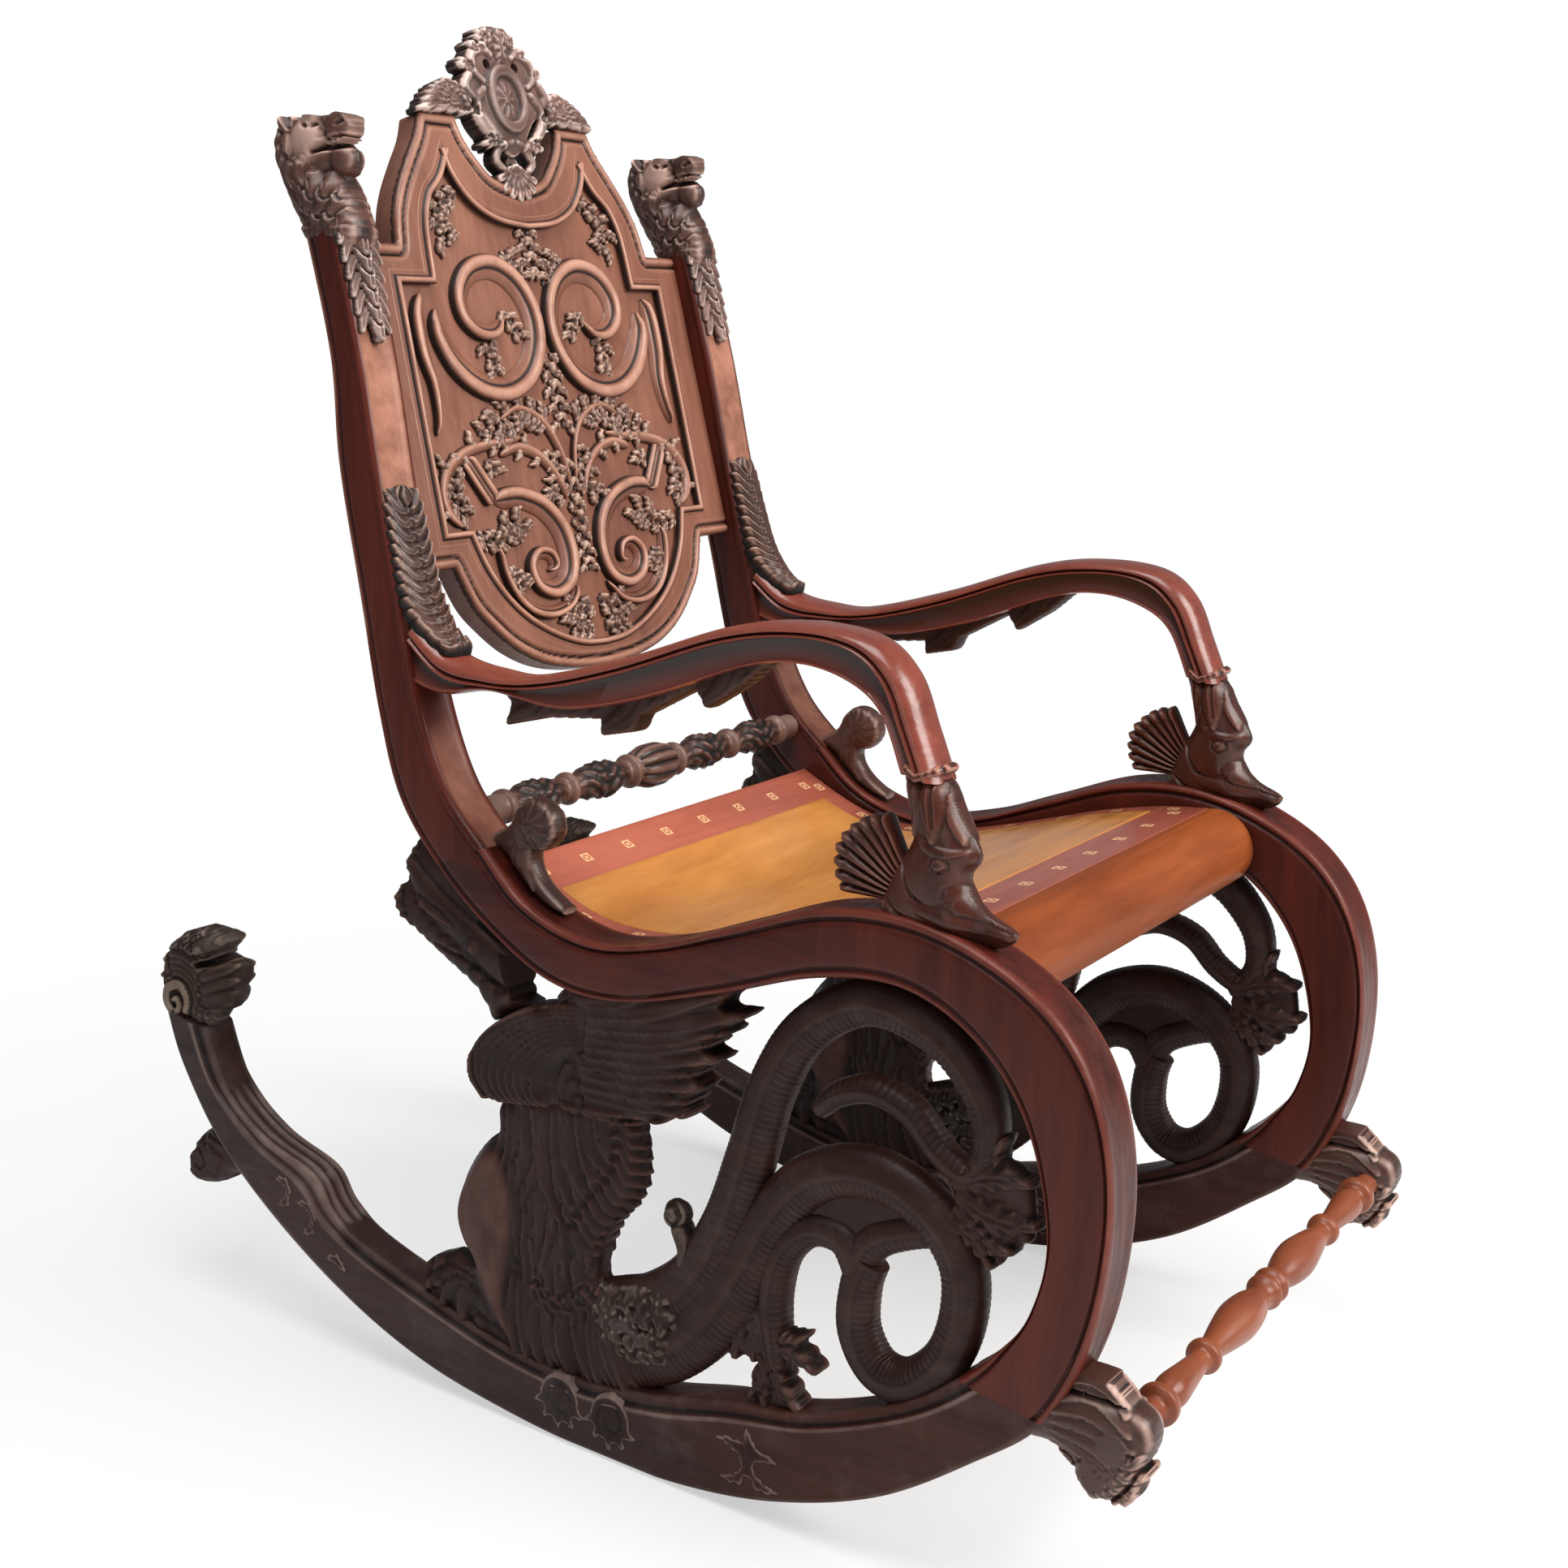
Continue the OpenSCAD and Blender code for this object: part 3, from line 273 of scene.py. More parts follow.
class Blank:
    """A blank in squares with a height in metres at each point of a fine grid."""

    def __init__(self, low, high, cell):
        self.cell = cell
        self.u = np.arange(low[0], high[0] + cell, cell)
        self.v = np.arange(low[1], high[1] + cell, cell)
        self.uu, self.vv = np.meshgrid(self.u, self.v)
        self.inside = np.full(self.uu.shape, OUTSIDE)
        self.height = np.zeros(self.uu.shape)
        self.ground = 0.0
        self.lift = 0.0

    def window(self, a, b, reach):
        """The part of the grid round the line from a to b."""
        lo = np.minimum(a, b) - reach
        hi = np.maximum(a, b) + reach
        i0, i1 = np.searchsorted(self.u, [lo[0], hi[0]])
        j0, j1 = np.searchsorted(self.v, [lo[1], hi[1]])
        return slice(max(j0, 0), j1), slice(max(i0, 0), i1)

    def outline(self, points, reach=2.5):
        """Distance inside a closed outline, negative outside it."""
        p = np.array(points, float)
        far = np.full(self.uu.shape, reach)
        mask = np.zeros(self.uu.shape, bool)
        for a, b in zip(p, np.roll(p, -1, axis=0)):
            if np.allclose(a, b):
                continue
            w = self.window(a, b, reach)
            if self.uu[w].size:
                du, dv = self.uu[w] - a[0], self.vv[w] - a[1]
                e = b - a
                t = np.clip((du * e[0] + dv * e[1]) / (e @ e), 0, 1)
                far[w] = np.minimum(far[w], np.hypot(du - t * e[0], dv - t * e[1]))
            low, high = (a, b) if a[1] < b[1] else (b, a)
            j0, j1 = np.searchsorted(self.v, [low[1], high[1]])
            if j1 > j0:
                rows = self.v[j0:j1]
                x = low[0] + (rows - low[1]) / (high[1] - low[1]) * (high[0] - low[0])
                mask[j0:j1] ^= self.uu[j0:j1] < x[:, None]
        return np.where(mask, far, -far)

    def stroke(self, path, n=6):
        """Distance fields of a stroke: share across (-1 to 1), run along it, half width."""
        p = curve(path, n)
        across = np.full(self.uu.shape, NOWHERE)
        run = np.zeros(self.uu.shape)
        half = np.ones(self.uu.shape)
        total = 0.0
        for a, b in zip(p[:-1], p[1:]):
            e = b[:2] - a[:2]
            length = math.hypot(*e)
            if length < LEAST_LENGTH:
                continue
            w = self.window(a[:2], b[:2], max(a[2], b[2]) * 1.05)
            if self.uu[w].size:
                du, dv = self.uu[w] - a[0], self.vv[w] - a[1]
                t = np.clip((du * e[0] + dv * e[1]) / (e @ e), 0, 1)
                dist = np.hypot(du - t * e[0], dv - t * e[1])
                r = np.maximum(a[2] + (b[2] - a[2]) * t, LEAST_WIDTH)
                side = np.sign(e[0] * dv - e[1] * du)
                q = side * dist / r
                nearer = np.abs(q) < np.abs(across[w])
                across[w] = np.where(nearer, q, across[w])
                run[w] = np.where(nearer, total + t * length, run[w])
                half[w] = np.where(nearer, r, half[w])
            total += length
        self.length = total
        return across, run, half

    def from_point(self, at):
        """Squares from a point."""
        return np.hypot(self.uu - at[0], self.vv - at[1])

    def grow(self, across, half, edge=1.0):
        """Adds a stroke, out to a share of its width, to the silhouette."""
        across = np.abs(across)
        grown = np.where(across < NOWHERE - 1, (edge - across) * half, OUTSIDE)
        self.inside = np.maximum(self.inside, grown)

    def fill(self, points, rise, edge, base=0.0):
        """A raised field with rounded edges; edge in squares, rise and base in metres."""
        d = self.outline(points, max(2.5, edge * 1.1))
        h = base + (rise - base) * rounded_edge(d / edge)
        self.height = np.where(d > 0, np.maximum(self.height, h), self.height)
        self.inside = np.maximum(self.inside, d)

    def tube(self, path, rise, base=0.0, solid=True, blend=False):
        """A rounded ridge along a path of (along, up, half width)."""
        q, _, half = self.stroke(path)
        h = base + (rise - base) * arch(q)
        raised = self.height + h if blend else np.maximum(self.height, h)
        self.height = np.where(np.abs(q) < 1, raised, self.height)
        if solid:
            self.grow(q, half)

    def groove(self, path, depth):
        """A rounded groove cut along a path."""
        q = self.stroke(path)[0]
        self.height = np.where(np.abs(q) < 1, self.height - depth * np.clip(1 - q * q, 0, 1), self.height)

    def lap(self, path, rise, tilt=0.4, strands=0, solid=False):
        """A lock, feather or leaf blade that lies over what was carved before it."""
        q, run, half = self.stroke(path, 5)
        t = run / self.length
        round_q = arch(q)
        shape = (1 - tilt) * round_q + tilt * (0.5 + 0.5 * q) * np.clip(round_q * 3, 0, 1)
        if strands:
            shape = shape * (1 - 0.22 * np.abs(np.sin(strands * math.pi * q)))
        shape = shape * (0.35 + 0.65 * smooth(t, 0, 0.12))
        self.height = np.where(np.abs(q) < 1, self.ground + rise * shape, self.height)
        if solid:
            self.grow(q, half)

    def frond(self, path, rise, lobes=5, depth=0.34, vein=0.3, solid=True):
        """A leaf with a lobed edge, a middle vein and side veins."""
        q, run, half = self.stroke(path)
        t = np.clip(run / self.length, 0, 1)
        aq = np.abs(q)
        phase = lobes * t - 0.45 * aq
        edge = 1 - depth * (1 - np.abs(np.sin(math.pi * phase))) * smooth(t, 0.02, 0.12)
        on = aq < edge
        qq = np.clip(aq / edge, 0, 1)
        shape = np.sqrt(1 - qq ** 2.4) * (1 - vein * np.exp(-(q / 0.13) ** 2))
        shape = shape * (1 - 0.3 * (1 - np.abs(np.sin(math.pi * phase))) * smooth(aq, 0.1, 0.4))
        shape = shape * (0.55 + 0.45 * smooth(t, 0, 0.3))
        leaf = self.ground + rise * shape
        self.height = np.where(on, leaf if solid else np.maximum(self.height, leaf), self.height)
        if solid:
            self.grow(q, half, edge)

    def dome(self, at, radius, rise, base=None, solid=False):
        """A round boss on what is there, or on a base in metres."""
        d = self.from_point(at) / radius
        h = (self.height if base is None else base) + rise * arch(d)
        self.height = np.where(d < 1, np.maximum(self.height, h), self.height)
        if solid:
            self.inside = np.maximum(self.inside, (1 - d) * radius)

    def cut(self, points):
        """Takes everything inside an outline away."""
        self.within(-self.outline(points))

    def within(self, limit):
        """Keeps the silhouette inside another one."""
        self.inside = np.minimum(self.inside, limit)

    def plane(self, most):
        """Takes off what stands higher than the most that the piece may be."""
        self.height = np.minimum(self.height, most)

    def soften(self, times):
        """Rounds the carving a little, as wear does."""
        h = self.height
        for _ in range(times):
            p = np.pad(h, 1, mode="edge")
            h = (4 * h + 2 * (p[1:-1, :-2] + p[1:-1, 2:] + p[:-2, 1:-1] + p[2:, 1:-1]) + p[:-2,
                :-2] + p[:-2, 2:] + p[2:, :-2] + p[2:, 2:]) / 16
        self.height = h

    def tone(self):
        """0 in the hollows of the carving, 1 on its crests."""
        h = self.height
        wide = h.copy()
        for _ in range(TONE_REACH):
            p = np.pad(wide, 1, mode="edge")
            wide = (2 * p[1:-1, 1:-1] + p[1:-1, :-2] + p[1:-1, 2:] + p[:-2, 1:-1] + p[2:, 1:-1]) / 6
        return np.clip(0.5 + (h - wide) * TONE_GAIN + self.lift, 0, 1)

    def solid(self, place, least=0.0015, flat_back=None, back_tone=0.0):
        """Cuts the blank out along its silhouette and gives it its thickness."""
        field = self.inside
        gv, gu = np.gradient(field, self.cell)
        steep = np.hypot(gu, gv)
        slope = np.maximum(steep, 0.35)
        near = np.abs(field) < 0.5 * self.cell * np.maximum(1, steep)
        shift = np.clip(np.where(near, -field / slope, 0), -0.7 * self.cell, 0.7 * self.cell)
        uu = self.uu + shift * gu / slope
        vv = self.vv + shift * gv / slope
        state = np.where(near, 0, np.where(field > 0, 1, -1))
        rows, columns = field.shape
        bm = sheet_grid(rows, columns)
        ident = bm.verts.layers.int.new("ident")
        state = state.reshape(-1).tolist()
        for i, vert in enumerate(bm.verts):
            vert[ident] = i
        bm.verts.ensure_lookup_table()
        doomed = []
        for face in bm.faces[:]:
            marks = [state[v[ident]] for v in face.verts]
            out = [k for k, m in enumerate(marks) if m < 0]
            if not out:
                if max(marks) == 0:
                    doomed.append(face)
                continue
            if len(out) == 1:
                k = out[0]
                a, b = face.verts[k - 1], face.verts[(k + 1) % 4]
                c = face.verts[(k + 2) % 4]
                if min(state[a[ident]], state[b[ident]]) == 0 < state[c[ident]]:
                    bmesh.utils.face_split(face, a, b)
                    doomed += [f for f in a.link_faces if f in b.link_faces
                        and any(state[v[ident]] < 0 for v in f.verts)]
                    continue
            doomed.append(face)
        bmesh.ops.delete(bm, geom=doomed, context="FACES")
        loose = [v for v in bm.verts if not v.link_faces]
        bmesh.ops.delete(bm, geom=loose, context="VERTS")
        tones = self.tone().reshape(-1).tolist()
        height = np.maximum(self.height, least).reshape(-1)
        flat_u, flat_v = uu.reshape(-1), vv.reshape(-1)
        back = -height if flat_back is None else np.full(height.shape, flat_back)
        front_at = place(flat_u, flat_v, height).tolist()
        back_at = place(flat_u, flat_v, back).tolist()
        layer = bm.verts.layers.float.new("carve")
        grown = bmesh.ops.extrude_face_region(bm, geom=bm.faces[:], use_keep_orig=True)
        for item in grown["geom"]:
            item.tag = isinstance(item, bmesh.types.BMVert)
        for vert in bm.verts:
            i = vert[ident]
            vert.co = front_at[i] if vert.tag else back_at[i]
            vert[layer] = tones[i] if vert.tag or flat_back is None else back_tone
        if flat_back is not None:
            low = [f for f in bm.faces if not any(v.tag for v in f.verts)]
            bmesh.ops.dissolve_faces(bm, faces=low)
        bmesh.ops.recalc_face_normals(bm, faces=bm.faces)
        return bm


def keep_sides(blank, piece, finish):
    """Makes a piece that is carved on both faces, for both sides of the chair."""
    keep(blank.solid(side_place), piece + "_carved", finish, [piece], mirrored=True)


# Finishes
def socket_in(group, name, kind, value=None):
    """An input of a node group."""
    s = group.interface.new_socket(name=name, in_out="INPUT", socket_type=kind)
    if value is not None:
        s.default_value = value
    return s


class Nodes:
    """Short calls for building a node tree."""

    def __init__(self, tree):
        self.tree = tree

    def add(self, kind, **values):
        node = self.tree.nodes.new(kind)
        for key, value in values.items():
            if hasattr(node, key):
                setattr(node, key, value)
            else:
                node.inputs[key.replace("_", " ")].default_value = value
        return node

    def link(self, a, b):
        self.tree.links.new(a, b)

    def math(self, operation, a, b, clamp=False):
        node = self.add("ShaderNodeMath", operation=operation, use_clamp=clamp)
        for k, value in enumerate((a, b)):
            if isinstance(value, (int, float)):
                node.inputs[k].default_value = value
            else:
                self.link(value, node.inputs[k])
        return node.outputs[0]

    def mix(self, share, a, b):
        node = self.add("ShaderNodeMix", data_type="RGBA")
        for key, value in ((0, share), (6, a), (7, b)):
            if isinstance(value, (int, float, tuple)):
                node.inputs[key].default_value = value
            else:
                self.link(value, node.inputs[key])
        return node.outputs[2]

    def span(self, value, low, high, to_low=0.0, to_high=1.0):
        node = self.add("ShaderNodeMapRange")
        self.link(value, node.inputs[0])
        for k, v in zip((1, 2, 3, 4), (low, high, to_low, to_high)):
            node.inputs[k].default_value = v
        return node.outputs[0]


def wood_group():
    """Long grain with pores: a share for the colour and one for the surface."""
    group = bpy.data.node_groups.new("wood_grain", "ShaderNodeTree")
    socket_in(group, "Vector", "NodeSocketVector")
    socket_in(group, "Scale", "NodeSocketFloat", 1.0)
    for name in ("Figure", "Pores"):
        group.interface.new_socket(name=name, in_out="OUTPUT", socket_type="NodeSocketFloat")
    n = Nodes(group)
    start, end = n.add("NodeGroupInput"), n.add("NodeGroupOutput")
    warp = n.add("ShaderNodeTexNoise", Scale=5.0, Detail=2.0)
    n.link(start.outputs["Vector"], warp.inputs["Vector"])
    bent = n.add("ShaderNodeVectorMath", operation="MULTIPLY_ADD")
    bent.inputs[1].default_value = (.12, .12, .12)
    n.link(warp.outputs["Color"], bent.inputs[0])
    n.link(start.outputs["Vector"], bent.inputs[2])
    broad = n.add("ShaderNodeTexNoise", Scale=9.0, Detail=4.0, Roughness=0.6)
    fine = n.add("ShaderNodeTexNoise", Scale=48.0, Detail=3.0, Roughness=0.7)
    pores = n.add("ShaderNodeTexNoise", Scale=130.0, Detail=2.0, Roughness=0.6)
    for tex, factor in ((broad, 9.0), (fine, 48.0), (pores, 130.0)):
        n.link(bent.outputs[0], tex.inputs["Vector"])
        n.link(n.math("MULTIPLY", start.outputs["Scale"], factor), tex.inputs["Scale"])
    figure = n.math("ADD", n.math("MULTIPLY", broad.outputs[0], 0.62),
        n.math("MULTIPLY", fine.outputs[0], 0.38))
    n.link(n.span(figure, 0.36, 0.64), end.inputs["Figure"])
    n.link(n.span(pores.outputs[0], 0.38, 0.62), end.inputs["Pores"])
    return group


DUST = (.34, .30, .27, 1.0)


def shade_and_wear_group():
    """Paints shade into the hollows of the carving, lightens its crests with wear and a painted
    highlight, and leaves dust in it.
    """
    group = bpy.data.node_groups.new("carved_shade_and_wear", "ShaderNodeTree")
    for name in ("Wood", "Hollow", "Crest"):
        socket_in(group, name, "NodeSocketColor")
    for name, value in (("Carve", 0.5), ("Depth", 1.0), ("Rub_and_highlight", 1.0), ("Dust", 0.0)):
        socket_in(group, name, "NodeSocketFloat", value)
    socket_in(group, "Vector", "NodeSocketVector")
    group.interface.new_socket(name="Color", in_out="OUTPUT", socket_type="NodeSocketColor")
    group.interface.new_socket(name="Dullness", in_out="OUTPUT", socket_type="NodeSocketFloat")
    n = Nodes(group)
    start, end = n.add("NodeGroupInput"), n.add("NodeGroupOutput")
    blotch = n.add("ShaderNodeTexNoise", Scale=26.0, Detail=4.0, Roughness=0.65)
    n.link(start.outputs["Vector"], blotch.inputs["Vector"])
    hollow = n.span(start.outputs["Carve"], 0.5, 0.12)
    crest = n.span(start.outputs["Carve"], 0.54, 0.9)
    hollow = n.math("MULTIPLY", hollow, start.outputs["Depth"], clamp=True)
    crest = n.math("MULTIPLY", crest, start.outputs["Rub_and_highlight"], clamp=True)
    crest = n.math("MULTIPLY", crest, n.span(blotch.outputs[0], 0.3, 0.62, 0.35, 1.0), clamp=True)
    dust = n.math("MULTIPLY", n.span(blotch.outputs[0], 0.5, 0.72), start.outputs["Dust"], clamp=True)
    # Hollows take a painted shade; crests take a colour that is partly wear, partly painted highlight
    one = n.mix(hollow, start.outputs["Wood"], start.outputs["Hollow"])
    two = n.mix(crest, one, start.outputs["Crest"])
    three = n.mix(dust, two, DUST)
    n.link(three, end.inputs["Color"])
    dull = n.math("ADD", n.math("MULTIPLY", hollow, 0.25), n.math("MULTIPLY", dust, 0.4))
    n.link(dull, end.inputs["Dullness"])
    return group


# Ways that the grain can run
ACROSS, FORWARD, UPWARD = (1, 0, 0), (0, 1, 0), (0, 0, 1)
WOOD = wood_group()
SHADE_AND_WEAR = shade_and_wear_group()
PORE_DEPTH = 0.00012
FRONT_BLEND = (-.02, -.26)
BAND_SIDE, BAND_END = 0.026, 0.044
BAND_SIDE_AT, BAND_END_AT = 0.2205, 0.211
INLAY_STEP, INLAY_SIZE = 0.058, 0.0052


def inlay_mask(n):
    """Small square rosettes in a row along the middle of each band of the seat."""
    spot = n.add("ShaderNodeSeparateXYZ")
    n.link(n.add("ShaderNodeUVMap", uv_map="pattern").outputs[0], spot.inputs[0])
    rows = []
    for along, middle in ((0, BAND_END_AT), (1, BAND_SIDE_AT)):
        value = n.math("ABSOLUTE", spot.outputs[1 - along], 0.0)
        value = n.math("SUBTRACT", value, middle)
        step = n.math("PINGPONG", spot.outputs[along], INLAY_STEP)
        step = n.math("SUBTRACT", step, INLAY_STEP / 2)
        rows.append((n.math("ABSOLUTE", value, 0.0), n.math("ABSOLUTE", step, 0.0)))
    masks = []
    for a, b in rows:
        edge = n.math("MAXIMUM", a, b)
        ring = n.math("SQRT", n.math("ADD", n.math("POWER", a, 2.0), n.math("POWER", b, 2.0)), 0.0)
        inside = n.math("LESS_THAN", edge, INLAY_SIZE)
        hole = n.math("COMPARE", ring, INLAY_SIZE * 0.55)
        hole.node.inputs[2].default_value = INLAY_SIZE * 0.17
        masks.append(n.math("MULTIPLY", inside, n.math("SUBTRACT", 1.0, hole)))
    return n.math("MAXIMUM", *masks)


def wood(name, dark, light, hollow=None, crest=None, along=FORWARD, scale=1.0,
         gloss=0.32, coat=0.12, depth=1.0, rub_and_highlight=0.8, dust=0.0, stretch=0.11,
         front=None, inlay=None, spec=0.28):
    """A polished wood whose grain runs along one direction. Front gives the two colours it
    has towards the front of the chair, inlay the colour of rosettes let into it."""
    material = bpy.data.materials.new(name)
    material.use_nodes = True
    n = Nodes(material.node_tree)
    shader = material.node_tree.nodes["Principled BSDF"]
    place = n.add("ShaderNodeTexCoord")
    turn = n.add("ShaderNodeMapping")
    turn.inputs["Scale"].default_value = [stretch if abs(a) > 0.5 else 1.0 for a in along]
    n.link(place.outputs["Object"], turn.inputs["Vector"])
    grain = n.add("ShaderNodeGroup", node_tree=WOOD)
    grain.inputs["Scale"].default_value = scale
    n.link(turn.outputs[0], grain.inputs["Vector"])
    colour = n.mix(grain.outputs["Figure"], (*dark, 1.0), (*light, 1.0))
    if front:
        forward = n.mix(grain.outputs["Figure"], (*front[0], 1.0), (*front[1], 1.0))
        axes = n.add("ShaderNodeSeparateXYZ")
        n.link(place.outputs["Object"], axes.inputs[0])
        colour = n.mix(n.span(axes.outputs["Y"], *FRONT_BLEND), colour, forward)
    if inlay:
        colour = n.mix(inlay_mask(n), colour, (*inlay, 1.0))
    carve = n.add("ShaderNodeAttribute", attribute_name="carve")
    shade_wear = n.add("ShaderNodeGroup", node_tree=SHADE_AND_WEAR)
    n.link(colour, shade_wear.inputs["Wood"])
    n.link(place.outputs["Object"], shade_wear.inputs["Vector"])
    n.link(carve.outputs["Fac"], shade_wear.inputs["Carve"])
    # Colours of the painted shade in the hollows and of the crests, which are partly wear, partly painted
    # highlight
    deep = hollow or tuple(c * 0.25 for c in dark)
    top = crest or tuple(min(1, c * 1.6 + 0.03) for c in light)
    for key, value in (("Hollow", (*deep, 1.0)), ("Crest", (*top, 1.0)), ("Depth", depth),
            ("Rub_and_highlight", rub_and_highlight), ("Dust", dust)):
        shade_wear.inputs[key].default_value = value
    n.link(shade_wear.outputs["Color"], shader.inputs["Base Color"])
    rough = n.math("ADD", n.span(grain.outputs["Pores"], 0, 1, gloss, gloss + 0.14),
        shade_wear.outputs["Dullness"], clamp=True)
    n.link(rough, shader.inputs["Roughness"])
    bump = n.add("ShaderNodeBump", Strength=1.0, Distance=PORE_DEPTH)
    n.link(grain.outputs["Pores"], bump.inputs["Height"])
    n.link(bump.outputs[0], shader.inputs["Normal"])
    for key, value in (("Coat Weight", coat), ("Coat Roughness", 0.22), ("Specular IOR Level", spec)):
        shader.inputs[key].default_value = value
    return material


RED = ((.029, .0043, .0025), (.096, .0150, .0078))
FINISHES = {
    "red": wood("mahogany_level", *RED, crest=(.19, .045, .028), coat=0.06, spec=0.17),
    "red_up": wood("mahogany_upright", *RED, crest=(.19, .045, .028), along=UPWARD, coat=0.06,
        spec=0.17),
    # The post's pale crest colour is partly the wood of its front face, partly a painted highlight
    "post": wood("mahogany_post", *RED, crest=(.33, .15, .098), along=UPWARD, rub_and_highlight=1.3, coat=0.06,
        spec=0.17),
    # The rocker's pale crest colour is a painted reflection on its crests, most of all on its fluted top
    "rocker": wood("mahogany_rocker", (.015, .0078, .0064), (.046, .021, .0165),
        hollow=(.003, .002, .0016), crest=(.24, .165, .14), gloss=0.38, coat=0.03, dust=0.06,
        spec=0.15, front=((.022, .0055, .0036), (.066, .0165, .0100))),
    "dark": wood("mahogany_dark", (.011, .0042, .0029), (.038, .0132, .0084),
        hollow=(.002, .0011, .0009), crest=(.105, .047, .034), gloss=0.42, coat=0.04, dust=0.04,
        spec=0.18),
    "dark_up": wood("mahogany_dark_upright", (.0088, .0033, .0024), (.031, .0106, .007),
        hollow=(.0016, .0009, .0008), crest=(.115, .048, .034), along=UPWARD, gloss=0.42, coat=0.04,
        dust=0.02, spec=0.18),
    "dusty": wood("mahogany_dusty", (.013, .0066, .0046), (.040, .020, .0135),
        hollow=(.002, .0013, .001), crest=(.24, .175, .13), gloss=0.5, coat=0.03, dust=0.14,
        rub_and_highlight=1.0, spec=0.2),
    "carved": wood("mahogany_carved", (.030, .0115, .0084), (.098, .040, .028),
        hollow=(.0028, .0016, .0013), crest=(.45, .29, .235), gloss=0.32, rub_and_highlight=1.15, dust=0.04,
        spec=0.26),
    "pale": wood("mahogany_pale", (.050, .025, .020), (.165, .085, .068),
        hollow=(.004, .0024, .002), crest=(.68, .53, .47), gloss=0.32, rub_and_highlight=1.35, depth=1.3,
        dust=0.05, spec=0.28),
    "leaf": wood("mahogany_leaf", (.023, .0098, .0073), (.078, .034, .0245),
        hollow=(.0022, .0012, .0009), crest=(.42, .27, .21), gloss=0.32, rub_and_highlight=1.3, depth=1.3,
        spec=0.26),
    "bird": wood("mahogany_bird", (.023, .0056, .0034), (.080, .0195, .0105),
        hollow=(.0028, .0012, .0009), crest=(.34, .145, .10), gloss=0.28, coat=0.12, along=UPWARD,
        rub_and_highlight=0.9, spec=0.24),
    "panel": wood("panel_wood", (.12, .042, .025), (.225, .092, .057),
        hollow=(.012, .0046, .003), crest=(.48, .265, .19), along=UPWARD),
    "spray": wood("spray_wood", (.065, .028, .019), (.15, .072, .050),
        hollow=(.005, .0022, .0015), crest=(.5, .34, .26), rub_and_highlight=1.1, depth=1.4),
    "orange": wood("orange_wood", (.15, .034, .014), (.285, .082, .032),
        hollow=(.05, .013, .007), crest=(.5, .22, .11), along=ACROSS),
    "roll": wood("roll_veneer", (.135, .029, .0076), (.27, .066, .0165), along=ACROSS, gloss=0.42,
        coat=0.02, spec=0.12),
    "arm": wood("mahogany_arm", (.064, .0120, .0070), (.20, .038, .021), crest=(.26, .07, .045),
        coat=0.4, gloss=0.22),
    "gold": wood("gold_veneer", (.34, .117, .022), (.60, .265, .068), along=ACROSS, gloss=0.22,
        coat=0.5, scale=0.5, stretch=0.25),
    # The band's light colours are partly its veneer, partly a painted sheen
    "band": wood("band_veneer", (.21, .050, .031), (.37, .1, .06), along=ACROSS, gloss=0.26,
        coat=0.4, inlay=(.62, .36, .18)),
    "hidden": wood("plain_wood", (.24, .15, .08), (.4, .27, .16), gloss=0.6, coat=0.0, depth=0.0,
        rub_and_highlight=0.0)}

# Side frames: outer and inner contour with the same joints
RIM = [
    (29, 106.2), (26.2, 95), (24.3, 85), (22, 74), (19.9, 65), (16.8, 58), (12.2, 53.2), (7.2, 48.8),
    (0, 46.8), (-7.5, 48), (-15, 50.7), (-23.5, 53.7), (-31, 54.2), (-38, 52.4), (-44, 48.7), (-47.7, 43),
    (-49.1, 35), (-48, 25), (-44.5, 17), (-38.5, 11.6), (-30, 5.6), (-20, 1.6), (-10, -.3), (0, -.6),
    (10, 0), (20, 1.5), (30, 4.8), (40, 10), (49, 16.8), (54.5, 24.3), (56.8, 30)]
HOLLOW = [
    (33, 106.2), (30.2, 95.5), (29.4, 86), (27, 74), (25, 64), (22.6, 56.5), (18, 50.8), (12, 46),
    (4.8, 42.4), (-3, 42), (-13, 44.6), (-23, 47.9), (-31, 48.5), (-37.5, 45.5), (-42, 39.8), (-44, 31.5),
    (-42.8, 25.3), (-40.2, 21.5), (-37, 18.3), (-31, 14), (-22, 10.2), (-14, 8.8), (-6, 6.8), (3, 5.8),
    (12, 6.6), (20, 8.6), (29.5, 11.2), (33.5, 13.6), (36, 16.6), (43, 18.8), (48.5, 22.6), (51.2, 28.5)]
POST_END, RAIL_END, LOOP_END = 6, 11, 18
FINE = 10
FLOOR_SQUARE = -BASE_LINE

# Half sections of the frame: contour (0 outer, 1 inner), distance from it, distance out, tone (low for
# painted shade in the grooves, high for wear and painted highlight on the beads)
FRAME_HALF = [
    (0, .9, 0, .45), (0, .9, 11, .45), (0, .5, 14, .5), (0, 0, 16.5, .62), (0, .3, 19.6, .72),
    (0, 1.6, 22, .8), (0, 3.6, 23.4, .8), (0, 5.6, 23, .7), (0, 6.9, 21.4, .3), (0, 8.2, 20.8, .2),
    (0, 9.6, 21.4, .3), (0, 10.6, 22.8, .55), (0, 12, 23.4, .55), (0, 15, 23.6, .5), (1, 15, 23.6, .5),
    (1, 12, 23.4, .5), (1, 10.6, 22.8, .5), (1, 9.4, 21.2, .25), (1, 8, 20.8, .2), (1, 6.6, 21.6, .4),
    (1, 5, 22.6, .7), (1, 3.2, 22.4, .75), (1, 1.4, 21, .65), (1, .3, 18.4, .5), (1, 0, 15.5, .45),
    (1, 0, 9, .4), (1, 0, 0, .4)]
